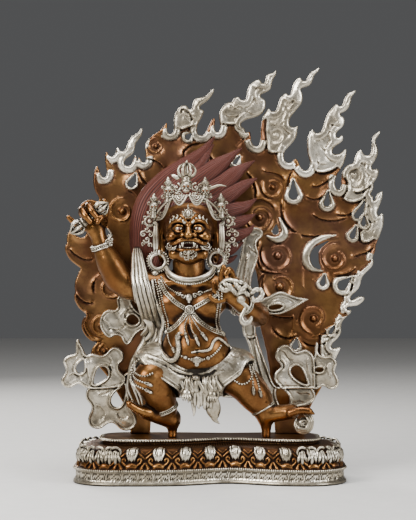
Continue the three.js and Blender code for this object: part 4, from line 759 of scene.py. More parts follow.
aureoleShape = {
    "low": (-150, 40), "high": (178, 411), "step": 0.62, "back": 30.0, "thick": 5.0,
    # how far the silver flames stand out, and half the width of their rims
    "silverRise": 1.5, "rimHalf": 3.4,
    # the outline from tip to tip, clockwise from the foot at the viewer's left
    "outline": [
        [[-79, 41], [-80, 56], [-85, 70], [-93, 84], [-102, 99], [-113, 112], [-118.2, 121], [-117.2, 127],
         [-114, 131.4]],
        [[-111.8, 133.4], [-117, 134.4], [-121.6, 137.4], [-125.6, 142.4], [-127.8, 148], [-127.6, 153],
         [-126.2, 157]],
        [[-122.8, 160.8], [-126, 163.8], [-129.8, 166.8], [-132.6, 170.8], [-134.8, 175.6], [-135.2, 180]],
        [[-134, 183.2], [-134.8, 188.6], [-134.2, 194], [-132.2, 199.4], [-130.6, 203.4]],
        [[-128.4, 207.2], [-134, 211.2], [-138.8, 215], [-142.2, 220], [-144.2, 225], [-144.4, 229]],
        [[-142.4, 231.8], [-142.6, 237], [-141.4, 242]],
        [[-138.4, 246.2], [-136.4, 242.2], [-133, 239], [-128.6, 237.4], [-124.8, 238.6], [-123, 242],
         [-123, 248], [-126, 255], [-130.8, 261], [-130.2, 267.6], [-126, 273], [-119.8, 275.6],
         [-115, 274.6]],
        [[-111, 273], [-110.4, 277.4], [-113.6, 283], [-115.8, 290], [-116, 298], [-114.8, 304.6]],
        [[-112.6, 309.6], [-111, 306], [-109.6, 301.8], [-107.6, 298.6], [-105.2, 297.6], [-103, 299.2],
         [-102.6, 304], [-103.8, 311], [-104.4, 318]],
        [[-103.2, 323.6], [-101.6, 320.6], [-99.8, 318.8], [-97.4, 318.2], [-95.2, 319.4], [-93.8, 322],
         [-93.2, 325.4]],
        [[-92.2, 328.2], [-90.6, 325.4], [-88.4, 323.6], [-86, 323.6], [-83.8, 325.8], [-82.2, 329.8],
         [-80.6, 334.2], [-78, 338], [-74, 340.8], [-70.6, 343.4]],
        [[-68, 347.2], [-67.3, 344], [-68.4, 340], [-71.2, 336], [-74.2, 332], [-75, 327.4], [-76.2, 323.4],
         [-79, 320.4], [-83, 317.6], [-85.6, 314.6], [-85.6, 311.2], [-83, 308.8], [-80, 308.8], [-77.8, 311],
         [-76, 315]],
        [[-74.2, 320], [-73.2, 316.4], [-72.6, 313.4], [-71.8, 315.2]],
        [[-70.9, 318.2], [-69.2, 315.2], [-67, 312.7], [-64.6, 312.5], [-63.4, 315], [-63.8, 318.4]],
        [[-63.6, 321.4], [-64.2, 325.6], [-64, 330], [-62.6, 334], [-59.6, 337.4], [-55.4, 340.8],
         [-50.6, 344], [-46.8, 347.4]],
        [[-43.2, 352.6], [-42.8, 349.6], [-43, 345.8], [-42.2, 342.4], [-40.2, 340.9], [-37.8, 341.2],
         [-36, 343.6], [-35.5, 348], [-35.6, 353], [-35.2, 358], [-33.8, 362.4], [-31, 366.4], [-28, 369],
         [-24.8, 369.4]],
        [[-22.4, 368.6], [-21.8, 366.6], [-20.2, 365.4], [-18.4, 365.7], [-17.2, 368], [-16.8, 371.6],
         [-15.4, 375], [-12.6, 376.8], [-8.6, 377.2], [-4.8, 378.6], [-1.2, 381.4], [1.4, 384.6]],
        [[3.8, 386.4], [4, 384], [2.6, 381], [-0.2, 377.2], [-4, 373.6], [-8, 370.8], [-10.2, 368.2],
         [-9.8, 366], [-7.8, 365.3]],
        [[-5.8, 364.6], [-6.8, 361], [-8.8, 357], [-11.2, 353], [-12.8, 349.2], [-13.2, 345], [-12.4, 341.6],
         [-10, 339.5], [-7.2, 339.3], [-4.8, 341.2], [-2.8, 344.6], [-1, 348.6], [0.8, 352.8], [2.6, 355.8]],
        [[4.8, 357.2], [5.2, 354.6], [4.4, 350], [4.4, 345.8], [6, 342.9], [8.4, 342.5], [10.4, 345],
         [10.7, 350], [9.7, 355], [9.3, 359.4], [10, 363.2], [11.8, 366.2], [14.2, 369.2], [16.8, 371.6],
         [19.6, 372.6]],
        [[22, 371.6], [22.8, 374.2], [24.6, 376.8], [27.4, 378.1]],
        [[30, 376.6], [31.6, 374.8], [34.2, 374.4], [36.5, 376.4], [37.4, 380.6], [38.3, 385.6], [40.2, 390],
         [43.4, 393], [47, 395]],
        [[50.4, 394.8], [51.4, 392], [53.4, 390.9], [55.4, 392.4], [56.1, 396], [57.2, 399.4], [59.4, 401.2],
         [62, 401.2], [64.4, 403]],
        [[66.6, 404.8], [66, 401.2], [63.8, 397.4], [61.9, 393.4], [61.5, 389], [59.8, 385.8], [56, 383.2],
         [52.4, 381.8], [50.4, 380], [50.8, 377.8], [52.6, 376.6]],
        [[54.6, 375.6], [55.3, 371.6], [54.8, 366.8], [52.4, 362.6], [48, 359.6], [42, 357.5], [36.4, 355.9],
         [32.8, 353.8], [30.8, 351], [31.4, 348.4]],
        [[35, 346.4], [35.2, 343.6], [36.2, 342.2], [37.8, 343]],
        [[40.2, 343.8], [40.5, 340], [41, 335], [42.5, 331], [45, 328.9], [47.8, 328.9], [50, 331.2],
         [50.9, 336], [51.1, 342], [51.5, 349], [52.8, 356], [55, 361.4]],
        [[59, 366.8], [60.6, 364.2], [63.6, 363], [66.2, 364.7], [67.8, 368.4], [69.2, 373.2], [71.6, 377.8],
         [74, 380.8]],
        [[76.8, 381.6], [77.6, 379.6], [79.2, 379.2], [81, 381], [82.1, 385], [83.5, 390], [85.8, 394.2],
         [88.2, 397]],
        [[91, 397.2], [91.6, 394.8], [93.2, 393.5], [95.6, 393.8], [97.6, 396.4], [99.2, 400.2],
         [101.8, 403.2], [105.6, 405]],
        [[109.6, 407.6], [108, 404.2], [104.9, 401], [103.1, 397], [101.4, 392.4], [98.4, 389.6],
         [94.2, 388.2], [91.2, 386.8], [90.6, 384.6]],
        [[92.2, 382], [92.5, 377], [91.4, 372], [88.2, 368], [84.7, 363.6], [81.2, 359.2], [79.2, 354.6],
         [79.5, 350.2], [81.8, 347.8], [84.9, 347.9]],
        [[88.2, 349.4], [87.2, 345.8], [86.8, 341.6], [85.8, 337.8], [83.2, 333.8], [79.8, 330],
         [76.6, 326.8], [74.4, 323.4], [73.7, 319], [74.4, 315.2], [76.8, 312.6], [80, 312.2], [82.8, 313.8]],
        [[85.5, 316.6], [87.3, 314.8], [88.6, 311.8], [90.2, 308.4], [92.6, 305.6], [95, 304.3],
         [97.6, 304.9], [99.8, 307.2], [100.7, 310.4], [100.2, 314.4], [98.6, 320], [97.5, 326], [97.6, 332],
         [98.3, 338], [100, 342.6]],
        [[102.6, 346.2], [103.6, 343.6], [105.8, 341.9], [108.6, 341.9], [111.4, 343.8], [113.3, 347.2],
         [114.9, 352.2], [116.5, 357.8], [118.6, 362.4], [122, 366.8], [124.8, 369.6]],
        [[127.4, 370.8], [128.6, 368.8], [130.6, 368.4], [132.7, 370.2], [134.2, 374.2], [135.8, 378.6],
         [138.6, 381.9], [142.2, 383.4]],
        [[146.2, 384.5], [144.2, 381.8], [142, 379], [140.7, 374.6], [139.5, 369.8], [137.3, 366],
         [134, 363.7], [131, 362.3], [130, 360.2]],
        [[133.6, 358], [134.3, 354], [133.4, 350], [130.4, 346.8], [127.2, 344], [126, 341.2], [126, 338.2],
         [127.7, 337], [129.7, 337.9]],
        [[132.2, 340], [133.1, 337.4], [132, 334.4], [129, 331.9], [125.1, 329.4], [122.5, 325.9],
         [122.1, 322.6], [124.4, 320.6], [128, 320.8], [131.6, 322.5]],
        [[136.2, 326.6], [135.9, 321], [134.6, 315.6], [133, 311], [130.4, 306.4], [127, 301.4], [125, 296],
         [124.8, 290], [126.6, 286.2], [129.4, 285.2], [131.2, 288], [131.6, 294], [131.9, 300], [133, 304.6],
         [135.4, 308], [139, 310.6], [142.8, 311.4]],
        [[144.4, 312.4], [145.6, 318], [147.8, 323]],
        [[150.8, 326], [151.9, 323], [153.8, 320.5], [156.4, 319.2], [159, 319.6], [161, 321.8], [162, 326],
         [162.1, 331], [162.6, 336], [164.2, 340]],
        [[170.4, 344.2], [169, 341], [166.6, 337.8], [165, 334], [165.6, 331], [167.2, 327.4], [167.6, 322],
         [166, 317], [163.6, 313.2], [161.7, 310], [161.5, 306.8], [163.4, 305.4]],
        [[167.6, 306.2], [168.6, 302.8], [166.2, 297], [163, 292.4]],
        [[163.4, 290.4], [163, 286.8], [160.8, 283], [159.8, 280.8], [161.4, 279.8]],
        [[163, 278.4], [162.9, 275.6], [163.9, 273.8], [165.2, 275.6], [166.4, 278.8], [168.6, 282]],
        [[172.4, 284.2], [172.2, 279], [170.8, 274], [168.8, 269], [167.1, 264.2], [167.3, 260.6],
         [169, 258.9]],
        [[172, 262.4], [173.3, 258], [173.2, 252], [171.6, 246], [169.6, 240.6], [167.4, 235]],
        [[165.6, 230.4], [164.8, 224], [162.4, 218.4]],
        [[163.6, 213.4], [161.4, 209], [157, 204.4], [153.2, 200.4], [151.2, 196.4], [150, 191], [147.4, 186],
         [143, 182], [140.5, 179.2], [140, 176.6], [141.6, 175], [144.6, 176.2], [148, 178.1], [151, 178.8]],
        [[154.8, 178.2], [153.2, 175], [150, 171.9], [146, 170], [141, 169.4], [137.6, 168.6], [136.4, 167],
         [137.8, 165.6]],
        [[141.6, 165.2], [140.6, 163.2], [139, 161.2], [136.4, 159.2]],
        [[133.8, 156.6], [131.6, 153.4], [130.9, 149], [131, 144.4], [129.4, 140.4], [126.4, 136.6],
         [122.8, 133.2], [121.3, 130.2], [121.9, 127.6], [124.6, 126.9]],
        [[130.8, 128.4], [128.8, 124], [126, 118.6], [122, 110], [117, 99], [110, 86], [102, 72], [96, 57],
         [94, 41]],
    ],
    "opening": [[3, 20, 64], [2, 100, 58], [-2, 150, 51], [-2, 190, 50], [0, 222, 30]],
    # where it is silvered: loose outside the outline, exact along the roots of the flames
    "silver": [
        [[-92.6, 330], [-90, 323.4], [-86, 321.2], [-80.6, 320.2], [-76, 320.2], [-62, 330], [-62, 350],
         [-84, 350]],
        [[-38, 352], [-34, 349.4], [-30.4, 346.2], [-27.4, 344.8], [-14, 350.4], [-11, 352], [-2, 362],
         [10, 392], [-40, 382]],
        [[7, 364], [12, 362], [12, 353.6], [15, 350.6], [20, 350], [26, 350.6], [28, 346], [34, 344.4],
         [44, 352], [59, 361], [58, 374], [64, 384], [70, 398], [76, 410], [20, 396]],
        [[57.4, 367.4], [55.6, 345], [57, 330], [57.6, 323.6], [62, 321.4], [68, 322.4], [74.6, 325.6],
         [94, 340], [97, 372], [103, 388], [110, 400], [118, 412], [70, 402]],
        [[96.6, 348], [99.6, 335], [100.4, 322], [104.6, 311], [104.4, 304.6], [108, 302.4], [114, 302.2],
         [122, 304.8], [129, 309.4], [137, 317], [142, 330], [152, 392], [110, 382]],
        [[131.6, 309.6], [133.4, 302], [137.6, 292], [137, 284], [132.6, 276.4], [137, 273.4], [143, 272.4],
         [150, 274.4], [157, 279.4], [166, 284], [180, 348], [145, 345]],
        [[157.6, 283], [154, 274], [152.4, 263], [158, 250], [149.6, 243], [150, 235], [153, 232.4],
         [158, 232.8], [164, 236.4], [170, 242], [180, 250], [180, 288]],
        [[135, 197.6], [141, 200.6], [147, 200.6], [153, 206.6], [165, 215.6], [170, 212], [158, 176],
         [147, 160], [140, 162.6], [134.6, 163.4], [132.6, 168], [137.4, 170.6], [136.4, 178], [141, 184],
         [143, 191]],
        [[111, 141], [110, 134], [110, 120], [120, 106], [130, 124], [134, 130], [136, 158], [126, 152.6],
         [124, 146], [118.4, 141.6]],
    ],
    # [x, z, radius, apex x, apex z, width of its silver rim] of each hole
    "teardrops": [
        [83.6, 280.4, 4.8, 83, 295.2, 4.6], [117, 272, 3.2, 118, 283.6, 5],
        [65.6, 244.2, 3.4, 66.6, 250.4, 0.3],
        [112.8, 192.4, 3, 114.4, 200.6, 4], [132.6, 190.4, 5.2, 140.6, 197.8, 4.8],
        [121, 143.8, 2.3, 124, 149.4, 3], [85.6, 129.6, 3.4, 86.6, 136.6, 3.2],
        [153.6, 251.8, 2.5, 154.2, 258.6, 3.6], [142.6, 239.6, 3, 146, 249, 3.8],
        [-77.8, 292, 4.2, -74, 301.2, 2.4], [-102.6, 240.4, 3.6, -104, 248, 1.6],
        [25.6, 313.2, 2.4, 29.6, 318.6, 4], [-21.6, 338.4, 3, -18.4, 341.8, 3.4],
    ],
    "sideHole": [
        [155, 274.4], [150.8, 268.6], [146.4, 263.8], [144, 260.6], [145, 257.6], [147.8, 256.9],
        [150.2, 258.6],
        [152, 261.2], [153.6, 262.6], [154.2, 267],
    ],
    "crescentHole": [
        [118, 234, 0.5], [111, 229.6, 1.8], [105.6, 224.4, 3.4], [104.4, 218, 4.2], [105.6, 212, 3.6],
        [109.4, 207.4, 1.6],
    ],
    "crescents": [
        [[126, 240, 0.6], [116, 238.6, 2.2], [106, 234.6, 3.2], [99, 228, 3.9], [96, 220, 4.2],
         [97, 212.4, 4.1], [102, 206.6, 3], [109, 204.8, 1.6], [113, 204.6, 0.6]],
        [[57, 239.4, 1], [62, 236.6, 2.2], [68, 235.6, 3.4], [73.4, 239, 3.8], [75, 245, 3.4],
         [72.6, 251, 2.4], [70, 257, 1.2]],
    ],
    # [x, z, radius, start angle in degrees, hand] of each curled scroll
    "scrolls": [
        [-87.6, 264, 14.4, 60, 1], [-54, 328.8, 9.4, 60, 1], [63, 288, 13, 120, 1], [50, 258, 15, 150, 1],
        [68, 220, 18.6, 130, 1], [125, 217, 15.8, 60, 1], [70, 189, 18.6, 130, 1],
        [103.6, 157, 16.4, 290, -1],
        [-98.6, 188, 13, 30, -1], [-108, 149, 12, 40, 1], [-105, 124, 8, 60, 1], [66, 340, 9.5, 120, 1],
        [143.6, 300.4, 9, 230, 1],
    ],
    # overlapped edges: the sheet on the left of each line lies over the one on its right
    "creases": [
        [[-140.8, 227.8], [-134.7, 221.7], [-124.8, 216.3], [-114, 216.3]],
        [[-134.3, 183.4], [-129.3, 177.3], [-123.2, 173.1], [-114, 172.7]],
        [[-116.3, 181], [-117.1, 190.3], [-113.3, 196.4], [-104.1, 204]],
        [[-127.8, 163.5], [-123, 160], [-126, 152], [-122, 142], [-114, 135], [-102, 136]],
        [[-116.3, 156], [-117.9, 150], [-116.3, 144], [-111, 139.4], [-103, 138.4]],
        [[-120, 262], [-117, 252], [-110, 245], [-104, 243]],
        [[-71.9, 307.8], [-67.9, 297.9], [-60, 290], [-50, 286]],
        [[-25.4, 315.7], [-26.4, 323.6], [-18, 330.5], [-6.6, 332.5]],
        [[-6, 326], [2, 316], [6, 304], [0, 296]],
        [[99.8, 289.8], [108.4, 289.4], [119.3, 296.3], [127.5, 303]],
        [[94, 279.6], [104, 276.2], [112.8, 279], [121.5, 285]],
        [[124.7, 261.6], [133.4, 260.3], [142, 263], [154, 273]],
        [[74, 282], [71.5, 268], [74, 256], [80, 248], [89, 242], [100, 239.5], [118, 240.4]],
        [[48, 206], [56, 203.6], [64, 202.4], [74, 203]], [[49, 238], [47, 226], [49, 212], [54, 204]],
        [[50, 176], [47, 186], [49, 196], [55, 203]],
        [[86, 162], [88, 150], [95, 142], [104, 139], [115, 142]],
        [[120, 202], [130, 200.6], [140, 203.4], [147, 209]], [[40, 274], [50, 276], [60, 272], [66, 264]],
        [[50, 304], [60, 303], [70, 300], [76, 292]], [[84, 306], [80, 298], [79, 290], [81, 282]],
        [[100, 262], [112, 256], [126, 255], [140, 259]], [[52, 168], [64, 160], [78, 158], [86, 160]],
        [[60, 150], [70, 140], [80, 138], [88, 142]], [[-46, 300], [-36, 308], [-24, 310], [-12, 305]],
        [[-66, 318], [-58, 316], [-50, 312], [-44, 304]], [[-84, 286], [-76, 282], [-70, 274], [-68, 264]],
        [[138, 216.6], [149.2, 221], [157, 223.4], [166, 231]],
        [[90, 136], [100, 130.6], [112, 132], [124, 142], [133, 151]],
        [[36, 304], [42, 296], [46, 284], [44, 274]],
        [[142, 283.3], [148.6, 283.0], [157.2, 287.6], [161.6, 291.5]],
        [[-30, 358], [-28, 366], [-20, 362], [-16, 352]],
    ],
    # light creases on the silver flames
    "fine": [
        [[14, 363], [17, 359.4], [21, 358.4], [26, 359], [30, 361]],
        [[22, 371], [23.4, 368], [26, 366], [29.4, 365.2], [33, 365.6]],
        [[42.8, 389.5], [46.8, 387], [54, 387], [58.8, 391]],
        [[45.2, 380], [46.8, 375], [51, 373.2], [54.4, 374.6]], [[36, 366], [40, 362], [45, 361], [51, 364]],
        [[73, 376.4], [76, 374.8], [79, 375]], [[81, 376], [85, 373], [90, 372.4]],
        [[76.6, 366], [80, 364.6], [85, 365.4]], [[60, 352], [64, 350], [70, 351], [76, 355]],
        [[117.4, 344.6], [122, 343], [127, 344]], [[120, 351.6], [125, 350], [131, 351.4]],
        [[110, 330], [114, 326], [120, 326], [124, 330]], [[104, 316], [110, 312], [118, 312]],
        [[143, 283.6], [148, 282.8], [152, 283.4], [160, 288.4]], [[140, 290], [146, 287.6], [153, 290]],
        [[150, 314], [154, 311], [160, 312]], [[154, 244], [160, 243], [168, 250]],
        [[158, 256], [162, 253.6], [170, 258]], [[24.6, 328], [29, 332], [33, 337], [34.8, 343.6]],
        [[-28, 340], [-24, 344], [-18, 348], [-13, 351.6]], [[-24, 360], [-20, 356.4], [-14, 357]],
        [[-84, 328], [-80, 326], [-76, 329]], [[118, 116], [121, 114], [126, 118]],
    ],
}


def lineField(grid, stations, reach):
    # distance from a line, and which side of it each spot is on
    s = curve(withColumn(stations, 0.0), 6)
    window = windowOf(grid, s[:, :2].min(0) - reach, s[:, :2].max(0) + reach)
    x, z = grid["x"][window], grid["z"][window]
    best, side, fade = np.full(x.shape, 1e3), np.ones(x.shape), np.zeros(x.shape)
    count = len(s) - 1
    for i, (a, b) in enumerate(zip(s[:-1], s[1:])):
        t, d = toSegment(x, z, a, b)
        closer = d < best
        best = np.where(closer, d, best)
        side = np.where(closer, np.sign((b[0] - a[0]) * (z - a[1]) - (b[1] - a[1]) * (x - a[0])), side)
        fade = np.where(closer, (i + t) / count, fade)
    return window, best, side, smoothStep(0, 0.18, fade) * smoothStep(1, 0.82, fade)


def overlap(grid, height, stations, lift=2.3, groove=1.4, spread=8.0):
    window, d, side, fade = lineField(grid, stations, spread)
    upper = lift * np.exp(-d / (spread * 0.4)) * (side > 0)
    lower = -groove * np.exp(-(d / 1.6) ** 2) * (side <= 0)
    height[window] += fade * (upper + lower)


def scroll(grid, height, cx, cz, radius, start, hand, depth=1.0):
    # a curled roll in relief: a rising band that narrows inward round a dish with a knob
    reach = radius * 1.25
    window = windowOf(grid, (cx - reach, cz - reach), (cx + reach, cz + reach))
    dx, dz = grid["x"][window] - cx, grid["z"][window] - cz
    r = np.hypot(dx, dz)
    turn = np.mod((np.arctan2(dz, dx) - math.radians(start)) * hand, 2 * math.pi) / (2 * math.pi)
    outer, inner = radius * (1 - 0.50 * turn), radius * (0.50 - 0.20 * turn)
    fade = smoothStep(0, 0.16, turn)
    part = height[window]
    u = np.clip((r - inner) / (outer - inner), 0, 1)
    band = depth * (-0.6 + 2.6 * u ** 1.6)
    part[...] = np.where((r < outer) & (r >= inner), part * (1 - fade) + band * fade, part)
    dish = depth * (-1.8 + 1.9 * np.clip(r / inner, 0, 1) ** 2)
    part[...] = np.where(r < inner, dish, part)
    part[...] -= depth * 1.5 * np.exp(-((r - outer) / 1.7) ** 2) * (r >= outer) * fade
    knob = 0.25 * radius
    part[...] = np.maximum(part, depth * (-1.8 + 5.4 * bump(r / knob)) * (r < knob))


def closedCurve(stations, steps=4):
    s = np.asarray(stations, float)
    return curve(np.vstack([s[-2:], s, s[:2]]), steps)[2 * steps:(2 + len(s)) * steps]


def tongueLoop(runs, steps=4):
    spans = [curve(run + [after[0]], steps)[:-1] for run, after in zip(runs, runs[1:])]
    return np.vstack(spans + [curve(runs[-1], steps)])


def softened(loop, spacing=0.8, passes=3):
    even = evenly(np.vstack([loop, loop[:1]]), spacing)
    for _ in range(passes):
        even = 0.5 * even + 0.25 * (np.roll(even, 1, 0) + np.roll(even, -1, 0))
    return even


def notches(loop, span=5.0):
    # 1 at the points of a clockwise outline where it bends inward
    closed = np.vstack([loop, loop[:1]])
    run = runOf(closed)
    along = lambda s: np.stack([np.interp(np.mod(s, run[-1]), run, closed[:, k]) for k in (0, 1)], 1)
    here = run[:-1]
    before, after = loop - along(here - span), along(here + span) - loop
    turn = np.arctan2(before[:, 0] * after[:, 1] - before[:, 1] * after[:, 0], (before * after).sum(1))
    return smoothStep(0.15, 0.55, turn)


def loopField(grid, loop, reach=14.0, marks=None):
    # distance to a closed outline, negative inside it, and the marks carried from its nearest point
    xs, zs = grid["x"][:, 0], grid["z"][0]
    best = np.full(grid["x"].shape, reach, np.float32)
    carried = np.zeros(grid["x"].shape, np.float32)
    crossed = np.zeros((len(xs), len(zs) + 1), int)
    values = np.zeros(len(loop)) if marks is None else marks
    for a, b, m0, m1 in zip(loop, np.roll(loop, -1, 0), values, np.roll(values, -1)):
        window = windowOf(grid, np.minimum(a, b) - reach, np.maximum(a, b) + reach)
        t, d = toSegment(grid["x"][window], grid["z"][window], a, b)
        if marks is not None:
            carried[window] = np.where(d < best[window], m0 + (m1 - m0) * t, carried[window])
        best[window] = np.minimum(best[window], d)
        first, last = np.searchsorted(xs, sorted((a[0], b[0])))
        if last > first:
            cut = a[1] + (b[1] - a[1]) * (xs[first:last] - a[0]) / (b[0] - a[0])
            crossed[np.arange(first, last), np.searchsorted(zs, cut)] += 1
    inside = np.cumsum(crossed, 1)[:, :-1] % 2 == 1
    signed = np.where(inside, -best, best)
    return signed if marks is None else (signed, carried)


def flameRelief(grid):
    shape = aureoleShape
    loop = softened(tongueLoop(shape["outline"]))
    body, hollowed = loopField(grid, loop, marks=notches(loop))
    # the left side keeps plain copper notches
    hollowed = blurred(np.where((grid["x"] < -40) & (grid["z"] < 288), 0, hollowed), 4)
    hollowed = smoothStep(0.10, 0.35, hollowed)
    silverField = np.minimum.reduce([loopField(grid, np.array(area, float), 8.0) for area in shape["silver"]])
    opening = np.full(body.shape, 30.0)
    window, d = strokeField(grid, shape["opening"])
    opening[window] = d
    holes = loopField(grid, closedCurve(shape["sideHole"]))
    rings = holes / 1.6 - 1
    for x, z, r, ax, az, rim in shape["teardrops"]:
        near, d = strokeField(grid, [[x, z, r], [ax, az, 0.5]])
        holes[near] = np.minimum(holes[near], d)
        run = (grid["x"][near] - x) * (ax - x) + (grid["z"][near] - z) * (az - z)
        half = rim / 2 * (1.1 - 0.8 * np.clip(run / ((ax - x) ** 2 + (az - z) ** 2), 0, 1))
        ringed = (d - half) / half
        rings[near] = np.where(np.abs(ringed) < np.abs(rings[near]), ringed, rings[near])
    near, d = strokeField(grid, shape["crescentHole"])
    holes[near] = np.minimum(holes[near], d)
    outline = np.maximum.reduce([body - 0.25, -holes, -opening, platformTop - grid["z"]]).astype(np.float32)

    outside = -body
    edge = np.minimum.reduce([outside, holes, opening])
    silverField -= 2.2 * smoothStep(4, 1, outside)
    isSilver = smoothStep(-0.1, 0.5, -silverField)
    swell = np.sin(grid["x"] * 0.062 + 1.3 * np.sin(grid["z"] * 0.041)) * np.sin(grid["z"] * 0.058 - 0.6)
    height = (1.2 * smoothStep(9, 0, edge) + 1.4 * swell * smoothStep(0, 12, edge)) * (1 - isSilver)
    for stations in shape["creases"]:
        overlap(grid, height, stations)
    ripple = np.sin(grid["x"] * 0.27 + 1.7 * np.sin(grid["z"] * 0.11))
    ripple = ripple * np.cos(grid["z"] * 0.19 - grid["x"] * 0.06)
    height += (shape["silverRise"] + (0.9 + 0.75 * ripple) * smoothStep(3.0, 8, outside)) * isSilver
    for x, z, radius, start, hand in shape["scrolls"]:
        onSilver = x > 0 and z > 295
        scroll(grid, height, x, z, radius, start, hand, 0.5 if onSilver else 1.25)
    for stations in shape["fine"]:
        overlap(grid, height, stations, 0.9, 1.0, 3.4)
    wide = shape["rimHalf"]
    # a round silver rim in the notches and all round the silver flames, with a chased line inside it
    rimShare = np.maximum(isSilver, hollowed)
    ridge = bump((outside - wide) / wide) * rimShare * (0.6 + 0.4 * hollowed)
    root = 0.6 * bump((-silverField - 1.2) / 1.2) * (outside > 2.4)
    ringUp = bump(rings)
    height += 1.7 * np.maximum(ridge, root) + 2.0 * ringUp
    lines = np.exp(-((outside - 2 * wide - 0.6) / 0.55) ** 2) * rimShare * (0.45 + 0.55 * hollowed)
    lines += 0.5 * np.exp(-((-silverField - 3.0) / 0.5) ** 2) * (outside > 2.6)
    height -= 0.8 * np.minimum(lines, 1) + 0.9 * np.exp(-((silverField - 0.6) / 0.7) ** 2) * (outside > 0)
    copperRim = 0.6 * bump((outside - 0.9) / 0.9) * (1 - rimShare)
    height += copperRim - 0.9 * np.exp(-((np.abs(rings) - 1.3) / 0.22) ** 2)
    moon = np.zeros(body.shape)
    for stations in shape["crescents"]:
        near, d = strokeField(grid, stations)
        height[near] += 1.8 * np.sqrt(np.clip(-d / 2.0, 0, 1)) - 0.8 * np.exp(-((d - 0.7) / 0.7) ** 2)
        moon[near] = np.maximum(moon[near], smoothStep(-0.1, 0.4, -d))
    rimmed = bump((np.maximum(outside, wide) - wide) / wide) * rimShare
    ringSilver = smoothStep(1.05, 0.9, np.abs(rings))
    silver = np.maximum.reduce([isSilver, smoothStep(0.05, 0.4, rimmed), ringSilver, moon])
    height -= 1.3 * (1 - np.sqrt(np.clip(1 - (1 - np.clip(edge / 1.5, 0, 1)) ** 2, 0, 1)))  # rounded edges
    return outline, height, silver


def sheetPiece(name, grid, outline, height, silver, frontY, backY, material, adaptivity, wornGain=0.7):
    height = blurred(height, 1).astype(np.float32)
    wearAndShade = np.clip((height - blurred(height, 7)) * wornGain, -1, 1)
    front = (frontY - height).astype(np.float32)
    back = (backY + np.zeros(height.shape)).astype(np.float32)
    points, faces, cells = sheetMesh(grid, outline, front, back, adaptivity)
    behind = points[:, 1] > (back[cells] + front[cells]) / 2
    shade = np.where(behind, (silver[cells] > 0.5) * 1.0, silver[cells])
    return makePiece(name, points, faces, material, shade, wearAndShade=np.where(behind, 0, wearAndShade[cells]))


def buildAureole():
    shape = aureoleShape
    grid = flatGrid(shape["low"], shape["high"], shape["step"])
    outline, height, silver = flameRelief(grid)
    front, back = shape["back"] - shape["thick"], shape["back"]
    piece = sheetPiece("flame_aureole", grid, outline, height, silver, front, back, flameMetal,
                       0.10)
    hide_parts("aureole")


# Scarves: overlapping sheets of silver with raised edges, the first sheet of each on top

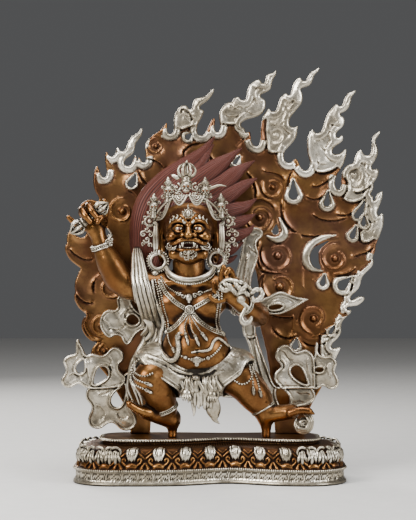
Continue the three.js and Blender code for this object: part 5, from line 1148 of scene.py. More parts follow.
rightScarf = {
    "low": (-153, 41), "high": (-46, 190), "front": 9.6, "back": 14.0,
    "sheets": [
        [[-85, 181.4], [-81.4, 180.8], [-78.8, 178], [-77, 173], [-74.4, 168], [-70, 163.6], [-64, 161],
         [-59, 158], [-59, 148], [-67, 146], [-73.4, 141.2], [-77.6, 134.4], [-80.6, 131.6], [-83.4, 131.8],
         [-86.4, 135.8], [-88, 139.4], [-91, 140.6], [-94.4, 140.4], [-98, 138.4], [-102, 139.6],
         [-105.6, 143.6], [-108.4, 149], [-109, 155], [-107.4, 160.6], [-104, 164.6], [-100, 166.6],
         [-96.4, 166.1], [-93.4, 166.4], [-91.4, 168.8], [-91.8, 172.4], [-92.2, 176.4], [-90.4, 179.6],
         [-87.8, 181.2]],
        [[-130.2, 137], [-127.8, 132], [-125.2, 127], [-123.4, 122.6], [-120.6, 121.4], [-117.4, 122.4],
         [-113.6, 122.4], [-109.6, 121.2], [-106, 121.2], [-102.4, 123.4], [-99.6, 126.6], [-96.6, 128.8],
         [-93, 129.2], [-89, 127.6], [-86, 124], [-85, 119], [-86.6, 115], [-89.4, 112.4], [-90, 108.6],
         [-88.4, 105], [-85.6, 102.4], [-83.2, 100], [-83, 96.6], [-84.8, 93], [-88.4, 90.2], [-94, 89],
         [-101, 88.4], [-108, 87.8], [-115, 87.6], [-120, 88.2], [-124, 89.6], [-127.4, 92], [-130.6, 92.6],
         [-133.8, 91], [-137, 89.2], [-141, 88.8], [-144.6, 90.6], [-147, 94], [-147.2, 97.6], [-145.2, 101],
         [-143.2, 104.6], [-143, 108.6], [-144.2, 112], [-145.2, 115.2], [-143.8, 118], [-140.6, 120.2],
         [-137, 121.4], [-134, 122.2], [-132.6, 125], [-132.6, 130], [-132.4, 134.8]],
        [[-117, 90], [-121.4, 87.6], [-122.8, 84], [-122.8, 80], [-121.4, 76.4], [-118.6, 73.2], [-117.2, 70],
         [-117.8, 66], [-119.6, 62], [-120.6, 57.6], [-119.8, 53], [-117, 49.8], [-112, 48.2], [-107.6, 48.9],
         [-104, 51.2], [-100.6, 53.5], [-97, 54.1], [-93.4, 52.4], [-89.6, 48.8], [-85.6, 46.8],
         [-80.6, 46.6], [-76, 48.8], [-73, 52.6], [-72.6, 57], [-74, 62], [-76.8, 66.6], [-79.4, 72],
         [-79.8, 80], [-80, 88], [-81.6, 92.4], [-85, 95], [-95, 91], [-106, 90]],
        [[-62, 152], [-68, 136], [-73, 124], [-77, 112], [-81, 105], [-85, 102], [-85, 97], [-78, 97],
         [-72, 107], [-64, 124], [-56, 140], [-54, 152]],
    ],
    "holes": [
        [[-81.8, 156], [-80, 153], [-76.8, 151.4], [-73.4, 152], [-70.6, 154.6], [-72, 158.4], [-75.6, 161],
         [-79.4, 160.2]],
        [[-125, 116.4], [-128.6, 114.6], [-131.6, 111.4], [-132.6, 108], [-131.6, 105], [-128.6, 103.4],
         [-125.8, 104.4], [-124.4, 107], [-124, 112]],
        [[-105, 110], [-108.6, 109.6], [-111.6, 107], [-113.4, 102], [-114.6, 97], [-114.8, 93.2],
         [-112, 92.8], [-107.6, 94.8], [-103, 98], [-100.6, 102], [-100.8, 106.4], [-102.6, 109]],
        [[-84.6, 91.6], [-88, 88.6], [-92.6, 85.4], [-96.4, 80.6], [-97.8, 76], [-96.4, 71.8], [-93, 69.8],
         [-89.4, 70.4], [-86.6, 73.6], [-84.6, 79], [-83.4, 86]],
    ],
    "folds": [
        [[-99, 148], [-90, 147], [-84, 152], [-84, 162], [-78, 168], [-69, 165]],
        [[-108, 158], [-101, 153], [-97, 145]], [[-82, 168], [-74, 172], [-67, 164], [-60, 156]],
        [[-104, 145], [-98, 148], [-92, 146], [-86, 141]], [[-95, 165], [-90, 160], [-88, 154]],
        [[-141, 99], [-136, 103], [-130, 101], [-126, 96]],
        [[-123, 122], [-122, 112], [-120.5, 103], [-118, 95]],
        [[-100, 122], [-97, 116], [-98, 110], [-95, 104]], [[-114, 72], [-108, 70], [-104, 64], [-106, 57]],
        [[-80, 62], [-84, 58], [-90, 60], [-92, 66]], [[-112, 82], [-104, 84], [-96, 88]],
    ],
}
leftScarf = {
    "low": (22, 64), "high": (131, 251), "front": 9.6, "back": 14.0,
    "sheets": [
        [[40, 246.8], [45.6, 247.8], [50.6, 246], [52.8, 242.4], [51.6, 238.2], [48, 235], [46.2, 231],
         [46.8, 226.6], [48.4, 221.6], [46.8, 214], [44, 206], [41.4, 198], [41, 188], [44, 176], [44, 160],
         [45, 140], [34, 140], [31, 160], [30, 180], [26, 190], [25.6, 200], [27.6, 209], [29.6, 217],
         [31, 225], [32, 232], [34.4, 239], [37, 244]],
        [[98, 176.6], [92.6, 177.8], [86, 178.8], [80, 181], [74, 183.6], [69.6, 184.4], [64.6, 183],
         [60, 180.6], [55.4, 178], [50, 175.6], [42, 174], [42, 170], [48, 168], [52.4, 164.6], [58, 162],
         [64, 161], [70, 161.6], [76, 163.8], [82, 166.6], [88, 170.4], [93.6, 173.8]],
        [[74, 131.6], [78.4, 130.8], [81, 128.4], [83.6, 125.6], [87, 124.8], [90.6, 126], [94.6, 126.8],
         [98.8, 125], [102.2, 121], [103.6, 115], [104.4, 106], [104.4, 98], [104, 89], [99, 88], [84, 88],
         [73, 88], [68.6, 90.6], [65, 94], [63.4, 98.6], [64.4, 103], [67.4, 106.6], [70.2, 109.4],
         [69.6, 112.4], [66.6, 115.6], [64.8, 120], [66, 126], [69, 129.8]],
        [[64, 92], [74, 90], [84, 90.6], [92, 90.6], [99, 90], [102.8, 86.6], [104.6, 82], [104.2, 78],
         [102, 74.8], [98, 72.6], [93.6, 71], [88.6, 70], [83, 68.6], [77, 67.8], [71, 67.4], [66, 67],
         [60, 68], [56, 76], [50, 92], [44, 112], [38, 132], [34, 144], [44, 146], [50, 128], [57, 110]],
        [[105.8, 134.4], [107.4, 131], [106.8, 126], [108.8, 121.6], [113, 120], [119, 120.2], [123.4, 118],
         [126, 113.6], [124.6, 109.2], [124, 105], [126.4, 100], [128, 95], [126.6, 90], [122.6, 87.2],
         [118, 87.6], [114.6, 89.6], [111, 90.4], [108, 88.8], [104.6, 87.4], [101, 88], [100, 94],
         [101, 104], [102, 116], [103.6, 123], [104, 130]],
    ],
    "holes": [
        [[58.4, 168.6], [61.4, 170.2], [65.6, 171], [69.4, 171], [71.6, 169.6], [68.6, 167.6], [64, 166.6],
         [60.4, 166.8]],
        [[96.4, 92.8], [91.6, 93.8], [87, 96.4], [82.6, 100.4], [80.4, 104.6], [81.2, 108.4], [84, 110.5],
         [87.4, 110.3], [90.6, 107.8], [92.8, 103.4], [94.8, 98]],
        [[67.4, 88.2], [65.4, 84.6], [66.8, 77.4], [69.2, 72], [72.4, 70.4], [76, 70.6], [78.4, 72.8],
         [79.2, 76.4], [78.2, 80.4], [75.6, 84.4], [71.6, 87.4]],
        [[103.9, 106.6], [106, 108.2], [109.6, 108.6], [112, 107.4], [110.6, 105.2], [106.6, 104.6]],
    ],
    "folds": [
        [[56, 172], [60, 175.6], [66, 178.4], [73, 178.6], [80, 176.4], [86.4, 171.8]],
        [[76, 182], [82, 178.6], [90, 176]], [[37.6, 230], [40, 226.6], [44, 224], [47.8, 221.6]],
        [[36.4, 221], [35.4, 212], [34, 203], [32.6, 195]], [[36, 243], [41, 240], [45, 241], [49, 238]],
        [[33, 190], [36.5, 203], [38, 214], [40, 224]], [[47, 150], [50, 132], [53, 112], [62, 90]],
        [[43, 150], [45, 126], [50, 104], [57, 82]], [[68, 127], [74, 124], [78, 118], [84, 117]],
        [[98, 121], [96, 114], [98, 104], [101, 96]], [[120, 115], [116, 110], [118, 102], [122, 95]],
        [[84, 86], [90, 83], [95, 84], [100, 82]], [[82, 74], [88, 76], [94, 75]],
        [[66, 118], [70, 116], [74, 111], [72, 105]],
    ],
}


def buildScarf(name, nodeName, scarf):
    grid = flatGrid(scarf["low"], scarf["high"], 0.5)
    x, z = grid["x"], grid["z"]
    cloth = np.full(x.shape, 14.0)
    height = np.zeros(x.shape)
    wave = 0.8 * np.sin(x * 0.11 + z * 0.07) + 0.6 * np.sin(x * 0.05 - z * 0.15)
    for level, sheet in enumerate(reversed(scarf["sheets"])):
        d = loopField(grid, closedCurve(sheet))
        own = 0.5 * level + wave * smoothStep(-3, -10, d) + 1.3 * bump((-d - 1.1) / 1.1)
        own -= 0.5 * np.exp(-((-d - 2.8) / 0.5) ** 2) + 0.22 * np.exp(-((-d - 5.6) / 0.45) ** 2)
        height = np.where(d < 0, own, height - 0.7 * np.exp(-(d / 0.9) ** 2))
        cloth = np.minimum(cloth, d)
    gap = np.minimum.reduce([loopField(grid, closedCurve(hole)) for hole in scarf["holes"]])
    outline = np.maximum(cloth, -gap).astype(np.float32)
    edge = np.minimum(-cloth, gap)
    for stations in scarf["folds"]:
        overlap(grid, height, stations, 0.8, 0.6, 4.5)
    rims = 1.5 * bump((gap - 1.2) / 1.2) - 0.6 * np.exp(-((gap - 3.1) / 0.5) ** 2)
    height += rims - 0.3 * np.exp(-((gap - 5.8) / 0.5) ** 2)
    chased = np.sin(x * 1.9 + 1.4 * np.sin(z * 0.35)) * np.sin(z * 1.7 + 1.2 * np.sin(x * 0.3))
    height += 0.10 * chased * smoothStep(4.4, 5.4, edge)
    height -= 1.0 * (1 - smoothStep(0, 0.9, edge))
    piece = sheetPiece(name, grid, outline, height, np.ones(x.shape), scarf["front"], scarf["back"],
                       metal, 0.06)
    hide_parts(nodeName)


def pleats(bag, spine, count, spread, radius, thin=0.55):
    # narrow folds laid side by side along a spine [x, y, z, half width]
    for k in range(count):
        share = (k - (count - 1) / 2) / max(count - 1, 1) * 2
        path = []
        for x, y, z, wide in spine:
            deep = y + 1.1 * abs(share) + (0.8 if k % 2 else -0.4)
            path.append([x + share * wide * spread, deep, z, radius * wide / 8])
        sweep(bag, path, 12, 8, 1.0, thin, section=lambda a, t: 1 + 0.10 * np.cos(4 * a + 5 * t))


def buildShoulderPleats():
    bag = newBag()
    pleats(bag, [[-71.6, -2, 227, 3.2], [-70.4, -14, 216, 5.6], [-67.5, -27, 197, 7.6],
                 [-63.5, -28, 180, 8.2], [-59, -18, 163, 8.4], [-56, 0, 150, 8], [-57, 5, 140, 7]], 8, 0.86,
                 1.9, 0.9)
    # bands that fan out below the waist
    for path in (
        [[-54, 2, 158, 3.4], [-60, 6, 143, 3.2], [-69, 7, 127, 2.9], [-76.5, 7, 114, 2.4], [-80, 7, 99, 1.8],
         [-80.6, 6, 88, 1.2], [-75.3, 4, 75, 0.6]],
        [[-52, 1, 152, 3.6], [-53.5, 4, 140, 3.8], [-58, 5, 128, 3.2], [-65, 4, 121, 2.2]],
        [[-56, 3, 150, 3.0], [-58, 6, 136, 3.2], [-63, 6, 126, 2.8], [-70, 6, 119, 2.2]],
        [[-50, 2, 160, 3.0], [-49.5, 3, 146, 3.6], [-52, 3, 134, 3.6], [-58, 2, 124, 2.8]],
        [[-78.6, 6, 98, 1.6], [-75, 4, 90, 1.8], [-72, 2, 82, 1.4], [-69, 0, 73, 0.6]],
        [[-77.6, 5, 94, 1.5], [-71.4, 2, 88, 1.6], [-67.5, 0, 80, 1.4], [-66, -1, 72, 0.6]],
    ):
        sweep(bag, path, 14, 8, 1.0, 0.6, section=lambda a, t: 1 + 0.12 * np.cos(5 * a + 3 * t))
    # the fold thrown back over the upper arm
    sweep(bag, [[-64, -12, 160, 2.6], [-58, -10, 152, 2.8], [-57, -4, 144, 2.4], [-64, 4, 136, 1.2]],
          14, 8, 1.2, 0.5)
    for k in (-1, 0, 1):
        sweep(bag, [[-66 - k * 2.2, -4, 170 + k * 2, 1.4], [-61 - k * 1.6, -7, 159, 1.7],
                    [-60 - k * 1.2, -6, 150, 1.6], [-66 - k * 2, 2, 141, 0.9]], 10, 8, 1.0, 0.7)
    bagPiece("shoulder_pleats", bag, metal)


# Vajra and lasso

vajraShape = {
    "centre": (-116.6, -25.5, 256.0), "axis": (0.783, 0, 0.622), "side": (-0.622, 0, 0.783),
    # [how far out, how far from the axis, radius] along each prong
    "prong": ((9, 2.2, 1.2), (11.5, 5.6, 1.5), (15, 6.5, 1.5), (19, 4.4, 1.25), (22.5, 1.2, 0.7)),
}


def buildVajra():
    bag = newBag()
    centre, axis = np.array(vajraShape["centre"]), np.array(vajraShape["axis"])
    side, deep = np.array(vajraShape["side"]), np.array([0.0, 1, 0])
    for way in (1, -1):
        at = lambda d: centre + axis * way * d
        lathe(bag, at(0), at(10), [[2.6, 0], [2.3, 0.2], [3.4, 0.45], [4.6, 0.62], [4.8, 0.78], [3.6, 0.9],
                                   [2.8, 1.0]], 16, flutes=8, depth=0.08)
        lathe(bag, at(9), at(24.0), [[2.0, 0], [2.6, 0.2], [2.4, 0.6], [1.7, 0.85], [0.4, 1.0]], 10)
        for k in range(6):
            a = k * math.pi / 3 + 0.3
            out = side * math.cos(a) + deep * math.sin(a)
            path = [np.append(at(d) + out * r, t) for d, r, t in vajraShape["prong"]]
            sweep(bag, path, 8, 5)
            bead(bag, at(11) + out * 5.4, 1.5)
        ring(bag, at(10), 4.1, 0.7, axis, 20, 6)
        ring(bag, at(7.2), 3.9, 0.7, axis, 20, 6)
    piece = bagPiece("vajra_sceptre", bag, metal)
    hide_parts("vajra")


lassoShape = {"depth": -64, "strands": 3, "twist": 7.0, "sides": 20, "steps": 10}


def rope(bag, stations):
    strands, turns = lassoShape["strands"], lassoShape["twist"] * len(stations)
    twisted = lambda a, t: 0.84 + 0.30 * np.abs(np.cos((strands * a - turns * t) / 2))
    sweep(bag, stations, lassoShape["sides"], lassoShape["steps"], section=twisted)


def buildLasso():
    bag = newBag()
    y = lassoShape["depth"]
    coils = [
        [[9, y + 2, 190, 1.8], [13, y, 194.6, 2.2], [18.5, y - 1, 196, 2.4], [25, y - 2, 194.4, 2.5],
         [31, y - 1, 192.6, 2.5], [35.5, y, 189.6, 2.4], [38, y + 1, 185, 2.3], [40, y + 2, 180, 2.2],
         [44, y + 2, 176.5, 1.8]],
        [[10, y, 191, 1.8], [13.5, y - 2, 187, 2.4], [19, y - 3, 188.4, 2.5], [24, y - 3, 185.4, 2.4],
         [28, y - 3, 181.5, 2.2]],
        [[13, y - 1, 193, 2.0], [18, y - 3.5, 191, 2.3], [22, y - 3, 187, 2.2], [25, y - 1, 183, 2.0]],
        [[23, y - 3, 194, 2.0], [27, y - 4.6, 189.4, 2.3], [32, y - 4, 185, 2.4], [37, y - 2, 182, 2.2]],
        [[27.6, y - 4, 182.5, 2.0], [30.4, y - 5.2, 187.5, 2.2], [35, y - 3, 190.5, 2.0], [39, y, 187, 1.8]],
        [[38, y, 183, 2.0], [42.6, y - 1, 187, 2.1], [48, y, 186.6, 2.2], [49.4, y, 182.6, 2.2],
         [46.4, y, 178.6, 2.2], [42, y, 177, 2.1], [39.6, y, 181, 1.8]],
    ]
    for coil in coils:
        rope(bag, coil)
    # knob and hook
    bead(bag, (29.4, y - 5, 178.2), (4.2, 3.8, 4.0), fine=True)
    bead(bag, (30.0, y - 8.0, 179.0), (2.0, 1.7, 2.0), fine=True)
    sweep(bag, [[30, y - 5, 176, 2.2], [33.6, y - 5, 171.6, 1.5], [32, y - 5, 167, 1.7],
                [29.6, y - 5, 161.5, 2.3], [31.6, y - 5, 156.4, 2.8], [36.0, y - 4, 156.4, 2.7],
                [39, y - 3, 160.4, 1.9], [39.4, y - 2, 162.4, 0.9]], 16, 10)
    sweep(bag, [[30.4, y - 6, 176, 1.5], [36, y - 5.4, 170.6, 1.0], [34.4, y - 5.4, 166, 0.6]], 10, 6)
    piece = bagPiece("lasso_hank", bag, metal)
    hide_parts("lasso")


# Body

bodyShape = {
    "low": (-146, -66, 41.4), "high": (108, 22, 282), "step": 0.85,
    # [how far to the side, reach, radius] of each toe, the big toe first
    "bentLegToes": ((-7.4, 1.5, 3.7), (-3.4, 1.0, 2.9), (0.2, 0, 2.7), (3.4, -1.6, 2.5), (6.2, -3.6, 2.3)),
    "straightLegToes": ((-7.2, 2.0, 3.7), (-3.2, 1.4, 2.9), (0.2, 0.4, 2.7), (3.3, -1.4, 2.5),
                        (6.0, -3.4, 2.3)),
}


def buildBody():
    vol = volume(bodyShape)
    # trunk: chest, breasts, waist and round belly
    ball(vol, (-20, -7, 182), (35, 17, 22), k=4)
    ball(vol, (-19, -8, 158), (29, 18, 22), k=8)
    ball(vol, (-14, -20, 126.5), (29, 19.5, 20), k=6)
    ball(vol, (-37, -17, 173), (15, 11.5, 12), k=6)
    ball(vol, (0.5, -17, 172), (15, 11.5, 12), k=6)
    for side in (-1, 1):  # shoulders
        ball(vol, (-20 + side * 36, -7, 190), (15, 13.5, 13), k=8)
    ball(vol, (-14, -15, 130), (32.5, 24, 28), k=5)
    limb(vol, [[-19, -5, 190, 18], [-20, -9, 204, 16], [-20.5, -9, 213, 16]], k=6)
    ball(vol, (-20, -26, 150), (11, 6, 8), k=8)
    for side in (-1, 1):  # collar bones and the folds under the ribs
        limb(vol, [[-20 + side * 6, -24, 193, 2.2], [-20 + side * 20, -22, 194, 2.0],
                   [-20 + side * 32, -14, 193, 1.6]], k=5)
    limb(vol, [[-44, -28, 161, 1.4], [-36, -32.5, 160, 1.5], [-27, -31, 166, 1.0]], cut=True, k=2.5)
    limb(vol, [[-14, -31, 165, 1.0], [-4, -32.5, 160.5, 1.5], [6, -28, 160, 1.4]], cut=True, k=2.5)
    limb(vol, [[-21, -34, 158, 0.9], [-20, -33, 148, 0.9], [-17, -37, 141, 0.7]], cut=True, k=3)
    ball(vol, (-12, -40.2, 127.5), (2.0, 3.0, 1.7), cut=True, k=2)
    for z, bend in ((152, 2), (147, 1)):
        limb(vol, [[-40, -18, z, 0.9], [-28, -28, z - bend * 2, 0.7]], cut=True, k=2)
        limb(vol, [[0, -28, z - bend * 2, 0.7], [10, -18, z, 0.9]], cut=True, k=2)

    # raised arm, with its fist round the sceptre's grip
    limb(vol, [[-46, -6, 189, 16.5], [-62, -7, 188.5, 15], [-80, -8, 191, 14.2], [-90, -9, 198, 13.4]], k=5)
    limb(vol, [[-89, -9, 197, 13.4], [-97, -10, 211, 13.2], [-105, -12, 227, 9.0],
               [-109, -13, 239, 7.6]], k=4)
    ball(vol, (-111.5, -14, 247), (9.5, 7.2, 10.5), k=3)
    limb(vol, [[-117, -13, 252, 4.4], [-123, -17, 261, 3.6], [-124, -27, 264, 3.4], [-120, -33, 258, 3.2],
               [-115.5, -32, 252.5, 2.8]], k=1.0)
    limb(vol, [[-111, -13, 256, 4.4], [-116, -17, 265.5, 3.6], [-117.5, -27, 268, 3.4],
               [-114, -33, 262.6, 3.2], [-109.5, -32, 257, 2.8]], k=1.0)
    limb(vol, [[-104, -14, 250, 4.2], [-102, -22, 254, 3.4], [-104.5, -30, 256.5, 3.0],
               [-108, -33, 252, 2.6]],
         k=1.2)
    limb(vol, [[-104, -12, 252, 3.8], [-101.5, -13, 263, 3.1], [-102.5, -14, 273, 2.4]], k=1.5)
    limb(vol, [[-118, -12, 246, 3.8], [-130, -13, 250, 3.1], [-138, -14, 257, 2.2]], k=1.5)

    # arm that holds the lasso across the chest
    limb(vol, [[2, -6, 189, 16.5], [20, -8, 181, 14], [38, -12, 168, 11.8], [46, -15, 162, 10.6]], k=5)
    limb(vol, [[47, -16, 161.5, 10.6], [41, -30, 166, 10.2], [31, -43, 173, 8.4], [24, -48, 178, 7.4]], k=4)
    ball(vol, (19, -50, 184), (9.2, 7, 9.8), k=3)
    limb(vol, [[15, -52, 189, 4.2], [11, -55, 199, 3.5], [13, -57, 209, 2.4]], k=1.2)
    limb(vol, [[20, -51, 191, 4.0], [21, -54, 201, 3.4], [18, -58, 206, 3.0], [15, -60, 202, 2.4]], k=1.0)
    limb(vol, [[14, -52, 181, 4.2], [6, -55, 184, 3.4], [3.5, -56, 194, 2.5]], k=1.2)
    limb(vol, [[12, -53, 178, 3.8], [5, -56, 177, 3.1], [0, -58, 181, 2.4]], k=1.2)

    # bent leg: thigh, knee, calf, heel, sole and toes
    limb(vol, [[-26, -7, 112, 22], [-44, -20, 108, 19], [-56, -27, 104, 16], [-59, -29, 100, 14.5]], k=5)
    ball(vol, (-60, -33, 101), (11, 11, 11), k=6)
    limb(vol, [[-58, -29, 100, 14.5], [-51, -25, 88, 15.2], [-44.5, -19, 76, 12.6],
               [-39.6, -14, 62, 7.4]], k=4)
    limb(vol, [[-37, -11, 59, 8.6], [-50, -16, 63, 7.6], [-62, -21, 68, 7.2]], k=4, thin=1.25)
    limb(vol, [[-37, -10, 62, 8.2], [-36.6, -9, 51, 5.0], [-36.6, -9, 44, 4.4]], k=3)
    for dy, reach, r in bodyShape["bentLegToes"]:
        limb(vol, [[-60, -20 + dy * 0.8, 67, r + 0.8], [-69, -23 + dy * 0.9, 70.5, r + 0.2],
                   [-76 - reach, -25 + dy, 76, r - 0.4]], k=3.0)
        limb(vol, [[-75 - reach, -25 + dy, 75.6, r - 0.7], [-79 - reach, -25.6 + dy, 79, 0.8]], k=1.2)

    # straight leg
    limb(vol, [[2, -7, 112, 22], [18, -10, 105, 19.5], [33, -13, 95, 17.4], [44, -13, 83, 16],
               [51, -13, 72, 11.5], [54.5, -12, 66, 8.6]], k=5)
    ball(vol, (34, -20, 97), (11, 10, 12), k=7)
    limb(vol, [[54, -12, 64, 8.6], [66, -14, 66, 8.0], [80, -17, 68, 7.4]], k=4, thin=1.25)
    limb(vol, [[54.4, -12, 63, 8.2], [55, -11, 51, 5.0], [55, -11, 44, 4.4]], k=3)
    for dy, reach, r in bodyShape["straightLegToes"]:
        limb(vol, [[78, -17 + dy, 67, r + 0.6], [87, -18.5 + dy, 69.5, r],
                   [94 + reach, -19 + dy, 69.0, r - 0.3]],
             k=1.2)
        limb(vol, [[94.6 + reach, -19 + dy, 68.6, r - 0.6], [99.4 + reach, -19 + dy, 66.2, 0.8]], k=0.8)

    points, faces = volumeMesh(vol, 0.05)
    piece = makePiece("deity_body", points, faces, metal, wearAndShade=reliefOf(vol, points, 2.2))
    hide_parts("figure")
    return vol


def reliefOf(vol, points, gain):
    # positive on ridges and negative in creases, from how the surface bends
    f = blurred(vol["field"], 2)
    bend = np.zeros_like(f)
    for axis in range(3):
        bend += np.roll(f, 1, axis) + np.roll(f, -1, axis) - 2 * f
    bend = blurred(bend / vol["step"], 1)
    at = np.clip(np.rint((points - vol["low"]) / vol["step"]).astype(int), 0, np.array(f.shape) - 1)
    value = bend[at[:, 0], at[:, 1], at[:, 2]]
    # a round limb bends a little everywhere, so only creases darken
    return np.clip(np.where(value < 0, value * gain * 4, (value - 0.12) * gain), -1, 0.6)


def skinFront(vol):
    # for each x and z, how far forward the solid comes
    inside = vol["field"] < 0
    first = inside.argmax(axis=1)
    y = vol["low"][1] + vol["step"] * first
    return np.where(inside.any(axis=1), y, np.nan)


def onSkin(vol, front, path, lift):
    # lays a path of [x, z, ...] on the front of the body
    path = np.asarray(path, float)
    i = np.clip((path[:, 0] - vol["low"][0]) / vol["step"], 0, front.shape[0] - 1.001)
    k = np.clip((path[:, 1] - vol["low"][2]) / vol["step"], 0, front.shape[1] - 1.001)
    y = front[np.rint(i).astype(int), np.rint(k).astype(int)]
    good = ~np.isnan(y)
    if not good.any():
        y = np.full(len(path), -20.0)
    else:
        y = np.interp(np.arange(len(y)), np.flatnonzero(good), y[good])
    for _ in range(3):
        y[1:-1] = (y[:-2] + 2 * y[1:-1] + y[2:]) / 4
    return np.stack([path[:, 0], y - lift, path[:, 1]], 1)


# Skirt: tiger skin knotted under the belly, with two swags over the thighs and an apron of fur

skirtShape = {
    "low": (-76, -52, 48), "high": (44, 22, 142), "step": 0.8,
    # how low each strand of fur hangs
    "underFur": (87, 84, 81, 79, 77, 75, 77, 74, 76, 75, 79, 82, 86),
    "overFur": (92, 88, 86, 87, 84, 83, 85, 88, 91),
}


def buildSkirt():
    skirt = volume(skirtShape)
    limb(skirt, [[-52, -12, 119, 17], [-36, -9, 113, 24], [-12, -7, 104, 24.5], [12, -8, 109, 22.5],
                 [27, -11, 110, 19.4]], k=3)
    limb(skirt, [[-60, -20, 113, 17.5], [-46, -17, 106, 23.5], [-28, -13, 99, 20]], k=4)
    limb(skirt, [[10, -9, 104, 22], [26, -12, 99, 19.4]], k=4)
    limb(skirt, [[-42, -4, 113, 20], [-27, -6, 111, 23.6], [-12, -5, 108, 23.4], [3, -6, 110, 23.6],
                 [18, -7, 109, 20]], k=4)
    # cut away what shows of the belly, of the knees and between the legs
    ball(skirt, (-14, -18, 134), (35.0, 27, 28.0), cut=True, k=1)
    limb(skirt, [[-77, -36, 111, 13], [-69, -40, 102.2, 13], [-60, -40, 95.6, 13], [-53, -40, 90, 13],
                 [-44.5, -38, 83.5, 13], [-39, -32, 78, 13], [-37, -28, 64, 13]],
         cut=True, k=1, thin=2.2)
    limb(skirt, [[44.6, -30, 108, 12], [39, -34, 98, 12], [25, -34, 86.5, 12], [21, -30, 78, 12],
                 [20, -26, 62, 12]], cut=True, k=1, thin=2.2)
    limb(skirt, [[-34, -26, 62, 20], [22, -26, 62, 20]], cut=True, k=1, thin=2.2, steps=3)
    limb(skirt, [[-11, -27, 106, 16], [-9.6, -28.6, 96, 15.5], [-8.6, -28.4, 88, 13]], k=3, thin=0.42)
    # a flat hem along the belly and the knot
    front = skinFront(skirt)
    for line, radius in (
        ([[-62, 124], [-46, 118], [-31.6, 109.6], [-22, 106.2], [-13, 105.2], [-2, 107.6], [9, 115.6],
          [17, 125.6], [19, 131]], 1.5),
        ([[-58, 118], [-42, 110.8], [-30, 103.6], [-17, 99.8]], 0.9),
        ([[-9, 100], [4, 104], [15, 112.6], [24, 124]], 0.9),
    ):
        hem = curve(line, 6)
        limb(skirt, withColumn(onSkin(skirt, front, hem, 0.1), radius), k=0.8, steps=1)
    ball(skirt, (-14, -37.5, 102), (3.6, 3.0, 2.6), k=0.8)
    points, faces = volumeMesh(skirt, 0.04)
    # tiger stripes as dark lines cut in the silver
    x, z = points[:, 0], points[:, 2]
    stripe = np.sin(0.55 * (x * 0.75 + z * 0.9) + 1.6 * np.sin(0.16 * (x - z)) + 0.9 * np.sin(0.31 * x))
    wearAndShade = reliefOf(skirt, points, 2.4) - 0.5 * (stripe > 0.9) * (z > 84)
    makePiece("tiger_skin_skirt", points, faces, metal, np.ones(len(points)), wearAndShade=wearAndShade)

    bag = newBag()
    # second line of each hem, paw claws and the tail
    skirtFront = skinFront(skirt)
    hems = ([[-68.5, 121], [-62, 113.8], [-53.4, 107.4], [-46, 102], [-37, 95.6], [-29.6, 90]],
            [[36.6, 117.4], [31.4, 107.4], [17.4, 96.6], [11, 92]])
    for line in hems:
        side = 1 if line[0][0] < 0 else -1
        for lift, radius, move in ((0.5, 1.0, 0.0), (0.1, 0.6, 2.1)):
            path = onSkin(skirt, skirtFront, curve(line, 8) + np.array([side, 1.1]) * move, lift)
            sweep(bag, withColumn(path, radius), 8, 1)
    # apron of waving fur, in two layers, with the paws over it
    for layer, lows in enumerate((skirtShape["underFur"], skirtShape["overFur"])):
        for k, low in enumerate(lows):
            t = (k + 0.5) / len(lows)
            x0, x1 = -29 + 38 * t, -27.4 + 38.6 * t
            y = -31.5 - 4.2 * math.sin(math.pi * t) - 1.2 * layer
            wave = 1.1 * (1 if k % 2 else -1)
            sweep(bag, [[x0, y + 2.5, 106 - 2.4 * math.sin(math.pi * t), 0.4], [x0 + wave, y - 0.4, 99, 1.7],
                        [x1 - wave, y - 1, 91, 2.1], [x1 + wave * 0.6, y, (91 + low) / 2, 2.2],
                        [x1, y + 1.0, low, 1.7], [x1 + wave, y + 1.6, low - 3, 0.4]], 8, 5, 1.0, 0.62)
    for x, z in ((-22.3, 83.4), (2.0, 82)):
        bead(bag, (x, -35.6, z + 3.4), (4.2, 2.8, 4.6), fine=True)
        for k in (-1.5, -0.5, 0.5, 1.5):
            sweep(bag, [[x + k * 2.0, -37, z + 2.4, 1.2], [x + k * 2.3, -38, z - 0.8, 1.1],
                        [x + k * 2.2, -36.6, z - 3.6, 0.3]], 8, 4)
    # the hanging tails: one slim, one a broad leaf
    sweep(bag, [[-17, -33, 84, 2.2], [-16, -32, 77, 2.4], [-15.2, -31, 70, 1.8], [-15.6, -31, 64.6, 0.4]],
          12, 6, 1.0, 0.7)
    sweep(bag, [[3.4, -33, 84, 4.0], [3.0, -31, 76.6, 6.6], [3.6, -30, 70, 6.9], [4.4, -29, 64.6, 4.6],
                [5.4, -29, 60.8, 2.4], [9.4, -29, 57, 0.4]], 26, 8, 1.0, 0.36,
          section=lambda a, t: 1 + 0.08 * np.cos(9 * a + 5 * t))
    bagPiece("skirt_trims", bag, metal)


# Head: three-eyed wrathful mask with bulging eyes, flame brows, curled moustache, fangs and beard curls

headShape = {
    "low": (-56, -52, 206), "high": (16, 14, 276), "step": 0.48, "middle": -20.7,
    # [how far from the middle, foot, height, lean] of each flame of a brow
    "brows": ((3.6, 251.2, 5.0, 0.5), (6.6, 252.6, 5.4, 0.35), (10.0, 253.6, 5.6, 0.15),
              (13.4, 253.0, 5.2, -0.1), (16.4, 250.8, 4.4, -0.3)),
}


